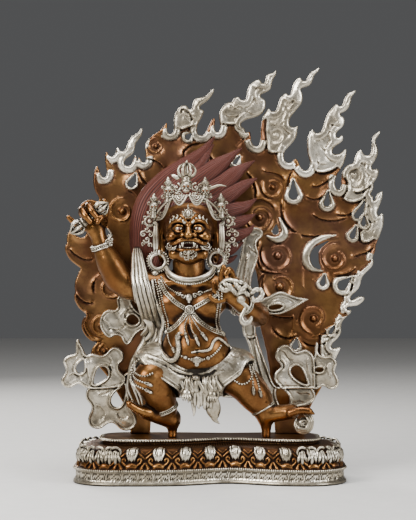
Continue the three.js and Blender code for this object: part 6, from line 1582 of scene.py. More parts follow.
def buildHead():
    vol = volume(headShape)
    mid = headShape["middle"]
    side = lambda s, stations: [[mid + s * x, *others] for x, *others in stations]  # s is -1 or 1
    ball(vol, (mid, -12, 245.5), (24.6, 21, 21.5), k=4)
    ball(vol, (mid, -6, 250), (29, 13, 22), k=3)  # hair drawn back under the crown
    ball(vol, (mid, -14, 227), (20.5, 18, 15.5), k=6)
    ball(vol, (mid, -22, 218.5), (11, 9, 7.5), k=5)
    for s in (-1, 1):
        ball(vol, (mid + s * 15.2, -25.5, 237.5), (6.8, 7.0, 5.8), k=3)  # cheek
        ball(vol, (mid + s * 13.5, -24, 221), (6.0, 6.0, 5.6), k=3)  # jaw muscle
        ball(vol, (mid + s * 9.3, -33.2, 246), (6.2, 4.2, 4.6), cut=True, k=2.4)  # socket
        limb(vol, side(s, [[2.6, -33.0, 250.5, 1.8], [8, -33.8, 253.4, 2.2], [15.5, -29, 251.6, 1.9],
                           [19.5, -22, 246, 1.5]]), k=2)
        limb(vol, side(s, [[2.4, -34.6, 252, 1.3], [4.2, -35, 256, 1.4], [7.5, -33.5, 258.6, 1.2]]), k=1.6)
        ball(vol, (mid + s * 9.2, -29.4, 245.8), (4.6, 4.2, 3.7), k=0.8)  # eyeball
        limb(vol, side(s, [[3.9, -31.0, 245.2, 0.9], [6.6, -33.6, 248.4, 1.1], [11.4, -33.0, 248.6, 1.1],
                           [14.6, -29.2, 246.0, 0.9]]), k=0.9)
        limb(vol, side(s, [[3.9, -31.0, 245.0, 0.8], [7.0, -33.4, 242.9, 1.0], [11.4, -32.4, 243.0, 1.0],
                           [14.6, -29.2, 245.6, 0.8]]), k=0.9)
        limb(vol, side(s, [[4.2, -31.6, 241.8, 0.7], [8.4, -32.4, 240.2, 0.7], [13.2, -31.0, 241.4, 0.6]]),
             cut=True, k=1.2)
        ball(vol, (mid + s * 5.3, -35.6, 239.2), (3.3, 3.6, 2.8), k=1.6)  # nostril
        ball(vol, (mid + s * 4.6, -38.6, 237.4), (1.2, 1.6, 1.0), cut=True, k=0.8)
        limb(vol, side(s, [[8.4, -34, 240.5, 0.6], [10.6, -32.6, 236.4, 0.7], [13.6, -30, 232, 0.6]]),
             cut=True, k=1.4)
        limb(vol, side(s, [[1.0, -36.4, 234.4, 1.6], [6.0, -36.2, 235.2, 1.8], [11.2, -32.6, 232.6, 1.6],
                           [13.8, -29, 228.4, 1.3]]), k=1.2)
        limb(vol, side(s, [[1.0, -35.2, 225.6, 1.7], [7.0, -34.4, 225.0, 1.7],
                           [13.2, -29.4, 227.4, 1.4]]), k=1.2)
        ball(vol, (mid + s * 26.5, -2, 232), (5.5, 9, 20), k=3)  # hair behind the ear
        # moustache
        limb(vol, side(s, [[1.8, -37.4, 235.0, 1.4], [7.6, -37.0, 234.4, 2.1], [12.6, -34.6, 231.6, 2.0],
                           [17.0, -30.0, 231.4, 1.7], [19.2, -27.0, 234.6, 1.1]]), k=0.8)
        for k in (-0.9, 0.5):
            limb(vol, side(s, [[4, -38.9, 235.2 + k, 0.25], [8.6, -38.7, 233.8 + k, 0.3],
                               [13.0, -36.4, 231.4 + k, 0.25]]), cut=True, k=0.6)
        ball(vol, (mid + s * 22.6, -6, 240), (3.0, 5.0, 9.5), k=2)  # ear
        ball(vol, (mid + s * 23.6, -9.5, 241), (1.6, 2.0, 5.4), cut=True, k=1.2)
        limb(vol, side(s, [[23.5, -7, 232, 2.6], [24.6, -9, 225, 2.2], [26.4, -11, 219, 2.0]]), k=2)
    limb(vol, [[mid, -33.0, 250, 2.2], [mid, -36.0, 245, 2.6], [mid, -39.0, 240.4, 3.6]], k=2)
    ball(vol, (mid, -40.0, 239.2), (3.9, 3.6, 3.3), k=1.6)
    limb(vol, [[mid - 4, -35.6, 249.2, 0.5], [mid, -37.0, 248.2, 0.5], [mid + 4, -35.6, 249.2, 0.5]],
         cut=True, k=1.0)
    ball(vol, (mid, -35.5, 229.9), (11.2, 7.5, 3.7), cut=True, k=0.8)  # open mouth
    for s in (-1, 1):
        ball(vol, (mid + s * 10.4, -32.0, 229.2), (3.4, 4.6, 2.3), cut=True, k=0.8)
    points, faces = volumeMesh(vol, 0.04)
    inMouth = ((points[:, 0] - mid) / 12.5) ** 2 + ((points[:, 2] - 229.9) / 4.1) ** 2 < 1
    deepMouth = inMouth & (points[:, 1] > -33.6) & (points[:, 1] < -24)
    makePiece("wrathful_head", points, faces, metal, dark=deepMouth * 0.85,
              wearAndShade=reliefOf(vol, points, 1.6))

    bag = newBag()
    for s in (-1, 1):
        # eye white and dark pupil
        bead(bag, (mid + s * 9.2, -29.9, 245.8), (4.3, 4.0, 3.2), fine=True)
        bead(bag, (mid + s * 9.0, -33.3, 245.7), (1.25, 0.9, 1.25), silver=0, dark=1, fine=True)
        ring(bag, (mid + s * 9.0, -33.0, 245.7), 1.75, 0.28, (0, 1, 0), 16, 6, silver=0)
        # fangs and teeth
        sweep(bag, side(s, [[5.4, -34.6, 233.2, 1.7], [5.7, -35.6, 230.2, 1.4],
                            [5.2, -35.8, 227.4, 0.3]]), 10, 4)
        sweep(bag, side(s, [[7.6, -33.4, 226.4, 1.2], [8.2, -34.4, 228.8, 1.0],
                            [8.0, -34.4, 231.0, 0.25]]), 10, 4)
        for k in range(3):
            bead(bag, (mid + s * (0.9 + 1.6 * k), -34.2 + 0.3 * k, 232.2 - 0.1 * k), (0.75, 1.0, 1.1))
            bead(bag, (mid + s * (0.8 + 1.5 * k), -33.8 + 0.3 * k, 227.2 + 0.1 * k), (0.7, 0.9, 0.9))
        # whiskers curling beside the mouth
        curl(bag, (mid + s * 18.0, -30.6, 229.0), 2.9, 0.62, 1.3, start=1.6, hand=-s)
        curl(bag, (mid + s * 14.4, -33.4, 226.8), 2.0, 0.55, 1.2, start=0.6, hand=s)
        sweep(bag, side(s, [[11.8, -34.4, 229.0, 0.5], [15.0, -32.8, 226.2, 0.7], [19.4, -28.8, 225.4, 0.6],
                            [22.4, -24.6, 228.6, 0.3]]), 8, 5)
        # flame brows
        for k, (bx, bz, h, lean) in enumerate(headShape["brows"]):
            y = -35.6 + 0.030 * bx * bx
            sweep(bag, side(s, [[bx, y, bz, 1.25], [bx + 1.2 + lean, y - 0.2, bz + h * 0.4, 1.05],
                                [bx + 0.2 - lean, y + 0.4, bz + h * 0.72, 0.8],
                                [bx + 1.6 - lean, y + 1.0, bz + h, 0.3]]), 8, 5)
            curl(bag, (mid + s * (bx + 0.4), y - 0.5, bz + 0.4), 1.5, 0.55, 1.1, start=0.5 + k, hand=s)
        # flames either side of the forehead jewel
        sweep(bag, side(s, [[2.6, -35.2, 255.4, 0.8], [4.4, -34.4, 258.8, 0.9], [3.2, -33.4, 262.4, 0.8],
                            [4.0, -31.8, 265.4, 0.3]]), 8, 5)
        curl(bag, (mid + s * 5.4, -33.6, 260.6), 1.7, 0.6, 1.2, start=2.0, hand=s)
        curl(bag, (mid + s * 4.4, -34.8, 256.6), 1.5, 0.55, 1.2, start=-1.0, hand=s)
        # beard curls
        curl(bag, (mid + s * 2.7, -36.0, 222.8), 2.5, 0.8, 1.3, start=0.0, hand=s)
        curl(bag, (mid + s * 5.4, -34.4, 219.8), 2.2, 0.75, 1.2, start=1.4, hand=-s)
        curl(bag, (mid + s * 2.2, -34.6, 217.4), 2.0, 0.75, 1.2, start=-0.8, hand=s)
        sweep(bag, side(s, [[4.6, -35.2, 224.6, 0.6], [7.6, -33.6, 222.2, 0.8],
                            [8.0, -32.6, 218.6, 0.4]]), 8, 4)
    sweep(bag, [[mid, -36.6, 224.4, 0.7], [mid, -36.8, 220.4, 1.1], [mid, -34.0, 214.6, 0.5]], 10, 5)
    bead(bag, (mid, -36.0, 260.2), (2.2, 1.5, 3.4), fine=True)
    ring(bag, (mid, -35.2, 260.2), 3.0, 0.6, (0, 1, 0.1), 24, 6, squash=1.4)
    sweep(bag, [[mid, -34.6, 264.6, 0.9], [mid - 0.4, -33.4, 267.6, 0.6], [mid, -32.2, 270, 0.2]], 8, 3)
    bagPiece("brows_eyes_and_beard", bag, jewelMetal)


# Hair: flame-like locks swept up and over, each finely grooved

hairLocks = [
    [[-50, 3, 190, 4], [-61, 5, 206, 8], [-67, 6, 226, 11], [-66, 7, 250, 13], [-58, 8, 272, 14],
     [-42, 9, 292, 12], [-26, 9, 306, 9], [-8, 9, 321, 5.5], [5, 9, 337.5, 0.6]],
    [[-56, 2, 222, 8], [-56, 3, 246, 12], [-46, 4, 268, 14], [-30, 5, 284, 13], [-16, 6, 297, 10],
     [-8, 6, 309, 6], [-2, 6, 319, 0.8]],
    [[-34, 2, 262, 12], [-20, 3, 282, 13], [-4, 4, 297, 11], [10, 5, 309, 8], [20, 6, 317, 4.6],
     [31.7, 7, 326, 0.6]],
    [[-30, 0, 262, 12], [-8, 1, 276, 12], [10, 2, 288, 10], [24, 3, 300, 7.6], [34, 4, 307, 4],
     [44.5, 5, 313.5, 0.6]],
    [[-24, -2, 260, 11], [0, -1, 268, 11], [16, 0, 278, 9], [32, 2, 288, 5.6], [46.4, 3, 296, 0.6]],
    [[-16, -3, 254, 11], [4, -2, 258, 10.5], [20, -1, 264, 8.6], [34, 1, 268, 5], [46, 2, 276, 0.6]],
    [[-8, -3, 246, 10], [10, -2, 248, 9.6], [24, 0, 252, 7.6], [36, 1, 256, 4], [45, 2, 261, 0.6]],
    [[-4, -2, 238, 9.6], [12, -1, 238, 9], [26, 0, 240, 6.6], [38, 1, 244, 3.4], [44, 2, 250.5, 0.6]],
    [[-4, -2, 230, 9], [10, 0, 226, 8], [22, 1, 227, 5.4], [33, 2, 233, 0.6]],
    [[-2, 0, 222, 7.6], [10, 2, 216, 6], [20, 3, 216, 3.4], [27, 4, 220, 0.6]],
    [[-44, 0, 222, 9], [-50, 1, 208, 7.4], [-52, 2, 197, 4.4], [-50, 3, 186, 0.8]],
    [[-14, 4, 284, 9], [-12, 6, 300, 7], [-6, 7, 313, 5], [0, 8, 324, 2], [4, 8, 330, 0.5]],
]


def buildHair():
    bag = newBag()
    for n, lock in enumerate(hairLocks):
        wide = max(s[3] for s in lock)
        furrows = int(wide * 1.3)

        def counted(a, t):
            turn = np.mod(a - math.pi / 2, 2 * math.pi)
            return furrows * turn + 2.2 * np.sin(2.4 * t * math.pi + n) * np.cos(a) + 40

        def clumps(a, t):
            ridges = 0.055 * np.abs(np.cos(4.5 * a + 1.4 * np.sin(5 * t + n)))
            return 1 + ridges + 0.05 * np.cos(2 * a + 9 * t + n)

        sweep(bag, lock, 96 if wide > 9 else 72, 12, 1.0, 0.62, section=clumps, silver=counted)
    bagPiece("flame_hair", bag, hairPaint)


# Crown, ear ornaments and jewellery

def skull(bag, x, y, z, size=1.0):
    s = size
    bead(bag, (x, y, z + 1.2 * s), (4.6 * s, 4.2 * s, 4.2 * s), fine=True)
    bead(bag, (x, y - 1.2 * s, z - 2.4 * s), (3.0 * s, 2.8 * s, 2.4 * s), fine=True)
    for side in (-1, 1):
        bead(bag, (x + side * 1.7 * s, y - 3.8 * s, z + 0.7 * s), (1.15 * s, 0.8 * s, 1.05 * s), silver=0,
             dark=0.4)
        ring(bag, (x + side * 1.7 * s, y - 3.7 * s, z + 0.7 * s), 1.45 * s, 0.38 * s,
             (side * 0.2, 1, 0), 14, 5)
        bead(bag, (x + side * 2.9 * s, y - 2.6 * s, z - 1.0 * s), (1.2 * s, 1.0 * s, 0.9 * s))
    bead(bag, (x, y - 4.3 * s, z - 0.9 * s), (0.7 * s, 0.6 * s, 1.0 * s))
    for k in (-1.5, -0.5, 0.5, 1.5):
        bead(bag, (x + k * 1.05 * s, y - 3.9 * s + 0.2 * abs(k), z - 2.8 * s), (0.45 * s, 0.5 * s, 0.8 * s))


def finial(bag, x, y, z, height):
    profile = [[2.2, 0], [3.2, 0.08], [2.2, 0.18], [3.6, 0.3], [4.2, 0.42], [3.2, 0.56], [1.8, 0.68],
               [2.1, 0.76], [1.1, 0.88], [0.3, 1.0]]
    lathe(bag, (x, y, z), (x, y + 1, z + height), profile, 14, flutes=6, depth=0.12)
    ring(bag, (x, y - 3.2, z + height * 0.42), 1.7, 0.5, (0, 1, 0), 16, 5)
    bead(bag, (x, y - 3.4, z + height * 0.42), 0.9)


def leafOf(bag, x, y, z, size, start, hand=1):
    curl(bag, (x, y, z), size, size * 0.30, 1.25, start=start, hand=hand)
    bead(bag, (x, y - size * 0.1, z), size * 0.26)


crownShape = {
    "middle": -22.8,
    "band": [
        [-55.5, -10, 252], [-50.4, -20, 262.5], [-41, -29, 272], [-31, -33, 276.4], [-21, -34, 277.4],
        [-11, -33, 276.4], [-1, -29, 272], [8.4, -20, 263], [13.5, -10, 252.5],
    ],
    # from, to and drop of each swag
    "swags": (((-36.6, -33, 275.6), (-21.8, -35.6, 276.2), 9.4),
              ((-20.2, -35.6, 276.2), (-5.4, -33, 275.6), 9.4),
              ((-51.6, -20, 253), (-37.6, -31, 273), 7.4), ((-4.2, -31, 273), (10, -20, 253), 7.4)),
    # x, y, z and height of the points beside the middle one
    "points": ((-54.4, -17, 266.5, 12.5), (-40.4, -27, 281.5, 13), (-4.6, -27, 281.5, 13),
               (10.8, -17, 266.5, 12.5)),
    # z, how far from the axis, radius along each prong of the half sceptre
    "prong": ((295, 2.0, 1.2), (297.4, 6.6, 1.5), (301.5, 8.2, 1.4), (305.8, 6.4, 1.3), (308.8, 2.4, 1.0)),
    # by side: the rosette, the leaves under it and the ear ring
    "ears": {-1: (-58.8, -61.4, (-50.6, -15.5, 214.2)), 1: (17.8, 22.0, (6.8, -15.5, 216.0))},
    "earLeaves": ((0, 6.5, 2.6), (-3.6, 2.4, 3.0), (3.4, 2.0, 3.0), (0, -3.0, 3.4), (-3.2, -7, 2.2),
                  (2.6, -8.4, 2.6)),
    "earBeads": 26,
}


def buildCrown():
    bag = newBag()
    sweep(bag, withColumn(curve(crownShape["band"], 5), 1.1), 10, 1)
    # loops and swags hung from the points of the crown, over the forehead and down each temple
    for a, b, drop in crownShape["swags"]:
        a, b = np.array(a, float), np.array(b, float)
        for shrink, radius in ((1.0, 0.95), (0.8, 0.7), (0.6, 0.75), (0.36, 0.65)):
            t = np.linspace(0, 1, 15)
            mid = (a + b) / 2
            line = mid + (a - mid)[None] * ((1 - 2 * t) * shrink)[:, None]
            line[:, 2] += 2.0 - drop * shrink * np.sin(math.pi * t)
            line[:, 1] -= 1.2 * np.sin(math.pi * t) + 0.8 * (1 - shrink)
            if shrink == 0.8:
                beads(bag, line, 0.7)
            else:
                sweep(bag, withColumn(line, radius), 8, 1)
    for x, y, z, tall in crownShape["points"]:
        skull(bag, x, y, z)
        finial(bag, x, y + 0.6, z + 3.6, tall - 2)
        lathe(bag, (x, y, z - 10.5), (x, y, z - 3),
              [[3.4, 0], [4.2, 0.2], [2.6, 0.45], [3.8, 0.7], [3.0, 1.0]], 14,
              flutes=7, depth=0.08)
        for side in (-1, 1):
            leafOf(bag, x + side * 5.2, y - 0.4, z - 4.6, 2.4, 1.2, side)
            leafOf(bag, x + side * 4.6, y + 0.6, z + 4.4, 2.0, -0.6, side)
    # middle point: the face, its scrolls, and the half sceptre above
    centre = crownShape["middle"]
    skull(bag, centre, -31, 285.4, 1.15)
    for side in (-1, 1):
        leafOf(bag, centre + side * 8.8, -29.5, 285.4, 4.2, 1.4, side)
        leafOf(bag, centre + side * 12.4, -28.5, 281.8, 3.0, -1.0, -side)
        leafOf(bag, centre + side * 6.2, -31, 279.0, 2.8, 2.6, side)
        leafOf(bag, centre + side * 13.6, -28, 287.2, 2.2, 0.4, side)
        bead(bag, (centre + side * 8.8, -31, 279.6), 1.3)
    lathe(bag, (centre, -29, 289.5), (-22.6, -27.5, 296),
          [[4.6, 0], [5.6, 0.2], [3.4, 0.45], [4.9, 0.7], [4.4, 0.9], [2.6, 1.0]], 18, flutes=9, depth=0.08)
    for k in range(6):
        a = k * math.pi / 3
        out = np.array([math.cos(a), math.sin(a), 0])
        path = [np.append(np.array([-22.4, -27, z]) + out * r, t) for z, r, t in crownShape["prong"]]
        sweep(bag, path, 9, 5)
    lathe(bag, (-22.4, -27, 295), (-22.4, -27, 312),
          [[1.6, 0], [2.4, 0.3], [1.5, 0.6], [1.9, 0.8], [0.4, 1.0]], 10)
    # the sceptre's side point, and the plain horn at the other side
    lathe(bag, (-29, -26, 294), (-37.8, -25, 298),
          [[1.6, 0], [2.8, 0.3], [1.6, 0.55], [2.0, 0.7], [0.4, 1.0]], 12)
    sweep(bag, [[-1, -26, 284, 1.6], [3, -26, 285.6, 1.5], [9, -25, 287.6, 1.1],
                [16, -24, 287.0, 0.4]], 10, 6)
    # rosettes over the ears with their ribbons, leaves and rings
    for side, (x, leaf, ear) in crownShape["ears"].items():
        z = 253.2
        ring(bag, (x, -12, z), 4.6, 1.0, (side * 0.25, 1, 0), 26, 8)
        for k in range(6):
            a = k * math.pi / 3 + 0.4
            leafOf(bag, x + 5.4 * math.cos(a), -12.4, z + 4.4 * math.sin(a), 2.3, a, side)
        bead(bag, (x, -13.4, z), 2.2, fine=True)
        sweep(bag, [[x - side * 4, -13, z - 1, 1.6], [x - side * 6, -13, z - 2.4, 1.9],
                    [x - side * 8, -14, z - 4.4, 1.4]], 10, 5)
        ribbon = x - side * 6.2
        for k in (-1, 1):
            sweep(bag, [[ribbon + k * 0.8, -14, 249, 1.4], [ribbon + k * 1.1, -14.6, 240, 1.7],
                        [ribbon + k * 1.3, -14.6, 231, 1.6], [ribbon + k * 0.9, -13.6, 224, 1.1]], 10, 6,
                        thin=0.6)
        for k, (dx, dz, r) in enumerate(crownShape["earLeaves"]):
            leafOf(bag, leaf + dx, -9.6, 238.4 + dz, r, 1.1 * k, 1 if k % 2 else -1)
        if side > 0:
            for k, (dx, dz, r) in enumerate(((0, 0, 3.0), (2.4, -5.4, 3.2), (0.6, -11, 3.0),
                                             (-1.2, -16.6, 2.2))):
                leafOf(bag, 15.6 + dx, -12, 231 + dz, r, 0.9 * k, 1 if k % 2 else -1)
        ring(bag, ear, 7.2, 1.5, (0.15 * side, 1, 0), 40, 10)
        ring(bag, ear, 9.2, 0.7, (0.15 * side, 1, 0), 40, 6)
        for k in range(crownShape["earBeads"]):
            a = k * 2 * math.pi / crownShape["earBeads"]
            bead(bag, (ear[0] + 10.4 * math.cos(a), ear[1] + 0.3, ear[2] + 10.4 * math.sin(a)), 0.85)
        bead(bag, (ear[0] + 1.4, ear[1] - 1.4, ear[2] + 8.4), (1.7, 1.7, 2.6), fine=True)
        lathe(bag, (ear[0] + side * 2, ear[1], ear[2] - 9.6), (ear[0] + side * 4.6, ear[1] + 2, ear[2] - 20),
              [[2, 0], [4.2, 0.16], [3.2, 0.34], [4.6, 0.52], [2.6, 0.76], [1.0, 1.0]], 14, flutes=7,
              depth=0.1)
    bagPiece("skull_crown_and_earrings", bag, jewelMetal)


def strand(bag, vol, front, line, radius, kind="beads", lift=None, steps=8):
    path = onSkin(vol, front, curve(line, steps), radius * 0.55 if lift is None else lift)
    if kind == "beads":
        beads(bag, path, radius, 2.35)
    elif kind == "scaled":
        # two crossing twists make the scales; the snake thins towards its tail
        path = evenly(path, 0.55)
        scale = 2 * math.pi * 0.55 * len(path) / 1.9
        size = radius * np.interp(np.linspace(0, 1, len(path)), (0, 0.3, 1), (0.55, 0.85, 1))
        sweep(bag, np.hstack([path[:, :3], size[:, None]]), 16, 1,
              section=lambda a, t: 1 + 0.10 * np.cos(3 * a + scale * t) + 0.10 * np.cos(3 * a - scale * t))
    else:
        sweep(bag, withColumn(path, radius), 10, 1)
    return path


def offsetLine(line, by):
    s = np.asarray(line, float)
    run = np.gradient(s, axis=0)
    run /= np.linalg.norm(run, axis=1)[:, None]
    return s + np.stack([run[:, 1], -run[:, 0]], 1) * by


def tassel(bag, vol, front, line):
    strand(bag, vol, front, line[:-1], 0.72)
    tip = onSkin(vol, front, np.array([line[-2], line[-1]], float), 1.4)
    bead(bag, tip[0], (1.7, 1.5, 1.7), fine=True)
    ring(bag, tip[0] + (0, -1.3, 0), 1.0, 0.32, (0, 1, 0), 14, 5)
    lathe(bag, tip[0], tip[1], [[0.9, 0.05], [1.9, 0.28], [1.2, 0.45], [1.7, 0.62], [1.1, 0.8],
                                [0.4, 1.0]], 10)


jewelShape = {
    # [x, z] lines over the body
    "crossed": (
        [[-49.1, 196.1], [-43.5, 184.9], [-33.1, 174.5], [-24, 168.6]],
        [[8, 184.1], [-1, 177.7], [-9.8, 172.1], [-15.5, 168.8]],
        [[-22.6, 164], [-27.5, 157.6], [-35.5, 149.6], [-41.9, 145.6]],
        [[-16.2, 163.2], [-9.8, 156], [0.6, 148.8], [12.6, 144]],
    ),
    # centre, normal and radius of the armlets, bracelets and anklets
    "bands": (
        ((-73, -8, 189.4), (0.98, 0.02, 0.15), 15.6), ((-106.2, -12, 229), (-0.32, -0.12, 0.94), 9.6),
        ((33, -41.5, 172.4), (0.55, 0.70, -0.35), 9.2),
        ((31, -9, 174.5), (0.80, -0.18, -0.55), 14.2), ((-42.5, -17.5, 71.5), (-0.42, -0.28, 0.86), 11.6),
        ((51.5, -12.6, 71.0), (-0.50, 0.05, 0.86), 11.6),
    ),
    # each loop of beads, and the tip of the tassel at its end
    "kneeLoops": (
        ([[-68.6, 119.6], [-73.4, 115], [-75.2, 110.6], [-71, 106.2], [-63, 104], [-54.6, 107]], None),
        ([[-76, 109], [-74.4, 104.6], [-70.6, 100.8], [-65, 98.6], [-60.4, 97.4]], (-54.6, 94.6)),
        ([[-76.4, 105], [-75.4, 99.6], [-72.6, 96], [-67, 93.4], [-61, 90.8]], (-55, 87.4)),
        ([[24.2, 98.6], [30, 95.6], [36, 97], [40, 101.6], [41.6, 108]], None),
        ([[38.2, 113], [40.4, 105], [41.6, 98], [42, 91]], (42.6, 84.6)),
        ([[40, 113], [43.4, 106], [46.4, 98], [48.4, 89]], (50.2, 82)),
    ),
}


def buildJewellery(vol):
    front = skinFront(vol)
    bag = newBag()
    # collar
    collar = curve([[-42, -17, 208], [-38.5, -25, 202.5], [-30, -30, 198], [-19.5, -31.5, 196.4],
                    [-8.5, -30, 198.2], [0, -25, 202.8], [4, -17, 208]], 8)
    sweep(bag, withColumn(collar, 2.3), 14, 1)
    beads(bag, collar + np.array([0, -0.4, -4.2]) + (collar - collar.mean(0)) * 0.04, 1.0)
    sweep(bag, withColumn(collar + np.array([0, 0.2, -2.7]), 0.7), 8, 1)
    # necklace with its jewel
    necklace = [[-47.5, 199], [-41, 189.7], [-33, 184.1], [-26, 181]]
    strand(bag, vol, front, necklace, 0.85)
    strand(bag, vol, front, [[-14.6, 181], [-5.8, 184.1], [4.6, 188.5]], 0.85)
    gem = onSkin(vol, front, [[-20.2, 179.0], [-26, 180.6], [-14.4, 180.8], [-31, 183], [-9.6, 182.8]], 1.0)
    bead(bag, gem[0], (3.4, 2.2, 3.8), fine=True)
    ring(bag, gem[0] + (0, -1.2, 0.4), 2.2, 0.6, (0, 1, 0), 18, 6)
    bead(bag, gem[0] + (0, -0.4, -3.8), (1.5, 1.3, 1.7), fine=True)
    for p in gem[1:]:
        leafOf(bag, p[0], p[1], p[2], 2.5, 0.4, 1 if p[0] > -20 else -1)
    # crossed chains through the medallion
    for line in jewelShape["crossed"]:
        for by, radius, kind in ((-1.5, 0.7, "cord"), (0, 0.95, "beads"), (1.5, 0.7, "cord")):
            strand(bag, vol, front, offsetLine(line, by), radius, kind)
    disc = onSkin(vol, front, [[-19.8, 167.1]] * 3, 1.6)[0]
    ring(bag, disc, 3.9, 0.9, (0, 1, 0), 30, 8)
    ring(bag, disc + (0, -0.6, 0), 2.3, 0.5, (0, 1, 0), 24, 6)
    bead(bag, disc + (0, 0.2, 0), (3.4, 1.2, 3.4), fine=True)
    bead(bag, disc + (0, -1.0, 0), 1.0, fine=True)
    for x, z in ((-41.9, 145.2), (12.8, 143.4)):
        p = onSkin(vol, front, [[x, z]] * 3, 1.2)[0]
        bead(bag, p, (2.4, 1.6, 2.4), fine=True)
        ring(bag, p + (0, -1.0, 0), 1.5, 0.4, (0, 1, 0), 16, 6)
    tassel(bag, vol, front, [[-20.6, 161], [-23.8, 154.4], [-24.4, 149], [-23.4, 144], [-20.6, 133.6]])
    tassel(bag, vol, front, [[-19.8, 161], [-18.6, 151.2], [-16.6, 146.5], [-14.2, 142.4], [-10, 132.6]])
    tassel(bag, vol, front, [[-18.6, 161.4], [-13.6, 153.4], [-10.4, 148.4], [-7.4, 144.4], [-2.2, 137.6]])
    tassel(bag, vol, front, [[-41, 143], [-40, 139], [-38.6, 135], [-35.6, 130], [-33.4, 125.5]])
    strand(bag, vol, front, [[-53, 196], [-49.4, 180], [-47, 167], [-43.6, 156], [-42.6, 147]], 1.0)
    strand(bag, vol, front, [[-49.6, 190], [-46.2, 178], [-43.6, 166], [-40.6, 156], [-40.2, 147]], 1.0)
    for by in (0, 2.6):
        strand(bag, vol, front,
               offsetLine([[11.6, 187], [11.0, 177], [9.6, 165], [8.4, 155], [11.4, 145]], by),
               1.0)
    # belly belt with a jewel
    strand(bag, vol, front, [[-29.1, 124], [-24.2, 121.6], [-18, 119.6]], 1.05)
    strand(bag, vol, front, [[-7.6, 119.4], [-1, 121.4], [4.4, 125], [8.8, 129.6], [11.6, 134.4]], 1.05)
    belt = onSkin(vol, front, [[-12.6, 118.4], [-23.6, 121.6], [-1.8, 121.0], [-17, 119.8], [-8, 119.6]], 1.2)
    bead(bag, belt[0] + (0, 0, 0.8), (4.4, 2.2, 3.6), fine=True)
    bead(bag, belt[0] + (0, -0.2, -3.2), (2.2, 1.7, 2.4), fine=True)
    for side in (-1, 1):
        leafOf(bag, belt[0][0] + side * 2.2, belt[0][1] - 1.8, belt[0][2] + 1.8, 1.7, 0.6, side)
    for p in belt[1:]:
        bead(bag, p, (2.0, 1.5, 1.7), fine=True)
        ring(bag, p + (0, -1.1, 0), 1.0, 0.32, (0, 1, 0), 14, 5)

    # armlet, bracelets and anklets
    for centre, normal, radius in jewelShape["bands"]:
        n = np.array(normal) / np.linalg.norm(normal)
        for along, tube in ((-1.7, 0.9), (1.7, 0.9)):
            ring(bag, np.array(centre) + n * along, radius, tube, normal, 44, 8)
        first = np.cross(n, [0.0, 1.0, 0.0])
        first /= np.linalg.norm(first)
        second = np.cross(n, first)
        count = int(2 * math.pi * radius / 1.9)
        for k in range(count):
            a = 2 * math.pi * k / count
            bead(bag, np.array(centre) + (first * math.cos(a) + second * math.sin(a)) * (radius + 0.2), 0.85)
    wrist = np.array([-99.5, -19.5, 233])
    for k, (dx, dz, r) in enumerate(((0, 0, 2.6), (3.6, -2.4, 2.2), (-0.8, -4.2, 2.2), (4.0, 2.6, 2.0),
                                     (1.6, 6.4, 1.6))):
        leafOf(bag, wrist[0] + dx, wrist[1] - 0.4 * k, wrist[2] + dz, r, 0.8 * k)

    # bead loops and tassels at the knees
    for line, end in jewelShape["kneeLoops"]:
        strand(bag, vol, front, line, 1.1)
        if end:
            tip = onSkin(vol, front, [line[-1], end], 1.6)
            lathe(bag, tip[0], tip[1], [[0.8, 0], [1.8, 0.2], [1.2, 0.4], [1.7, 0.6], [1.2, 0.8],
                                        [0.4, 1.0]], 10)
            ring(bag, tip[0] + (0, -1.3, 0), 1.0, 0.32, (0, 1, 0), 14, 5)
    # silver scarf end curled up under the toes
    for k in range(3):
        lift = 1.7 * k
        sweep(bag, [[84 + lift, -16, 62 - lift, 1.2], [83 + lift, -18 - k, 55, 1.4],
                    [86.5, -20 - k, 49.0 + lift, 1.7], [92.5, -20.5 - k, 47.6 + lift, 1.9],
                    [98 - lift, -20 - k, 51.5 + lift * 0.6, 1.8], [99.6 - lift, -20 - k, 58, 1.7],
                    [98.4 - lift, -19 - k, 63 - lift * 0.5, 1.6],
                    [95.4 - lift, -18 - k * 0.5, 67.6 - lift * 0.5, 1.3]], 12, 7)
    bead(bag, (92, -17.5, 56), (7.0, 3.4, 6.4), fine=True)
    curl(bag, (92, -21, 56.4), 3.6, 1.2, 1.3, start=2.4, hand=-1)
    bagPiece("bead_chains_and_bands", bag, jewelMetal)

    # snake garland and the snake round the belly
    snakes = newBag()
    garland = strand(snakes, vol, front, [[-56, 196], [-53.6, 179.3], [-48.2, 165.7], [-45.0, 154.4],
                                          [-48.2, 138.5], [-46.8, 126], [-39.8, 118.6], [-33.0, 120.8],
                                          [-30.2, 129.6], [-31.2, 139.2]], 2.4, "scaled", 1.6)
    head = garland[-1]
    bead(snakes, head + (0.2, -1, 2.6), (2.8, 2.4, 3.4), fine=True)
    bead(snakes, head + (-1.3, -2.6, 4.0), 0.7)
    bead(snakes, head + (1.6, -2.6, 4.0), 0.7)
    sweep(snakes, [np.append(head + (0, -2.6, 4), 1.6), np.append(head + (2.2, -3.6, 6.6), 1.3),
                   np.append(head + (4.6, -3.4, 6.0), 0.4)], 10, 4)
    strand(snakes, vol, front, [[-17.6, 126.4], [-12, 127.8], [-5, 128.0], [0.6, 130.2], [3.4, 136.4],
                                [7.4, 139.8], [12, 137.6], [15.4, 134.4], [18.4, 131.6]], 1.45, "scaled", 1.0)
    bagPiece("snakes", snakes, jewelMetal)


# Floor, light and camera

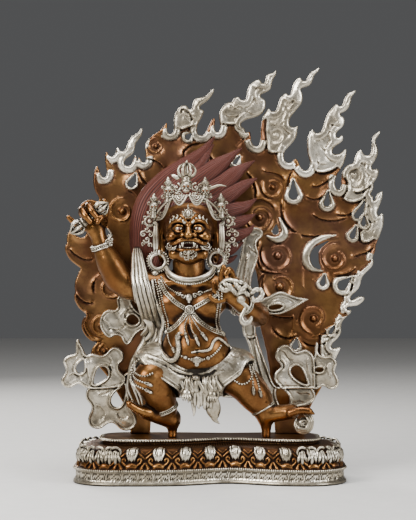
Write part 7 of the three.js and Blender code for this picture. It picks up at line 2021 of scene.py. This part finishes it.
studio = {
    "floor": (0.60, 0.59, 0.57, 1), "floorSpeckle": (0.56, 0.55, 0.53, 1),
    "air": (0.80, 0.81, 0.83, 1), "airStrength": 0.11,
    # name: (place, target, size, energy, colour), in metres and watts
    "lamps": {
        "window_left": ((-0.95, -1.05, 0.95), (0, 0, 0.20), 0.75, 40, (1, 0.985, 0.96)),
        "window_right": ((1.05, -0.75, 0.60), (0, 0, 0.18), 0.60, 17, (0.96, 0.98, 1)),
        "overhead": ((0.05, -0.15, 1.25), (0, -0.02, 0.15), 0.80, 20, (1, 1, 1)),
        "rim_back": ((-0.55, 0.95, 0.75), (0, 0, 0.22), 0.50, 12, (1, 0.98, 0.95)),
    },
    "eye": (-0.0018, -1.672, 0.2154), "lens": 117.7,
}


def floorMaterial():
    material, tree, shader, place = newMaterial("pale_floor")
    speckle = ranged(tree, noise(tree, place, 60.0, 5.0), 0.3, 0.7)
    colour = mixed(tree, speckle, studio["floorSpeckle"], studio["floor"])
    tree.links.new(colour, shader.inputs["Base Color"])
    shader.inputs["Roughness"].default_value = 0.6
    return material


def buildStage():
    bpy.ops.mesh.primitive_plane_add(size=6)
    floor = bpy.context.object
    floor.name = "studio_floor"
    floor.data.materials.append(floorMaterial())
    for name, (place, target, size, energy, colour) in studio["lamps"].items():
        lamp = bpy.data.lights.new(name, "AREA")
        lamp.size, lamp.energy, lamp.color = size, energy, colour
        holder = bpy.data.objects.new(name, lamp)
        holder.location = place
        holder.rotation_euler = (Vector(target) - Vector(place)).to_track_quat("-Z", "Y").to_euler()
        bpy.context.collection.objects.link(holder)
    world = bpy.data.worlds.new("studio_air")
    world.use_nodes = True
    air = world.node_tree.nodes["Background"]
    air.inputs["Color"].default_value = studio["air"]
    air.inputs["Strength"].default_value = studio["airStrength"]
    bpy.context.scene.world = world
    camera = bpy.data.objects.new("camera", bpy.data.cameras.new("camera"))
    camera.data.lens = studio["lens"]
    camera.location = studio["eye"]
    camera.rotation_euler = (math.pi / 2, 0, 0)
    bpy.context.collection.objects.link(camera)
    bpy.context.scene.camera = camera


print("plinth")
buildPlinth()
print("aureole")
buildAureole()
print("scarves")
buildScarf("scarf_at_viewers_left", "scarf_right", rightScarf)
buildScarf("scarf_at_viewers_right", "scarf_left", leftScarf)
buildShoulderPleats()
print("sceptre and lasso")
buildVajra()
buildLasso()
print("body")
body = buildBody()
buildSkirt()
print("head and hair")
buildHead()
buildHair()
print("crown and jewellery")
buildCrown()
buildJewellery(body)
print("stage")
buildStage()
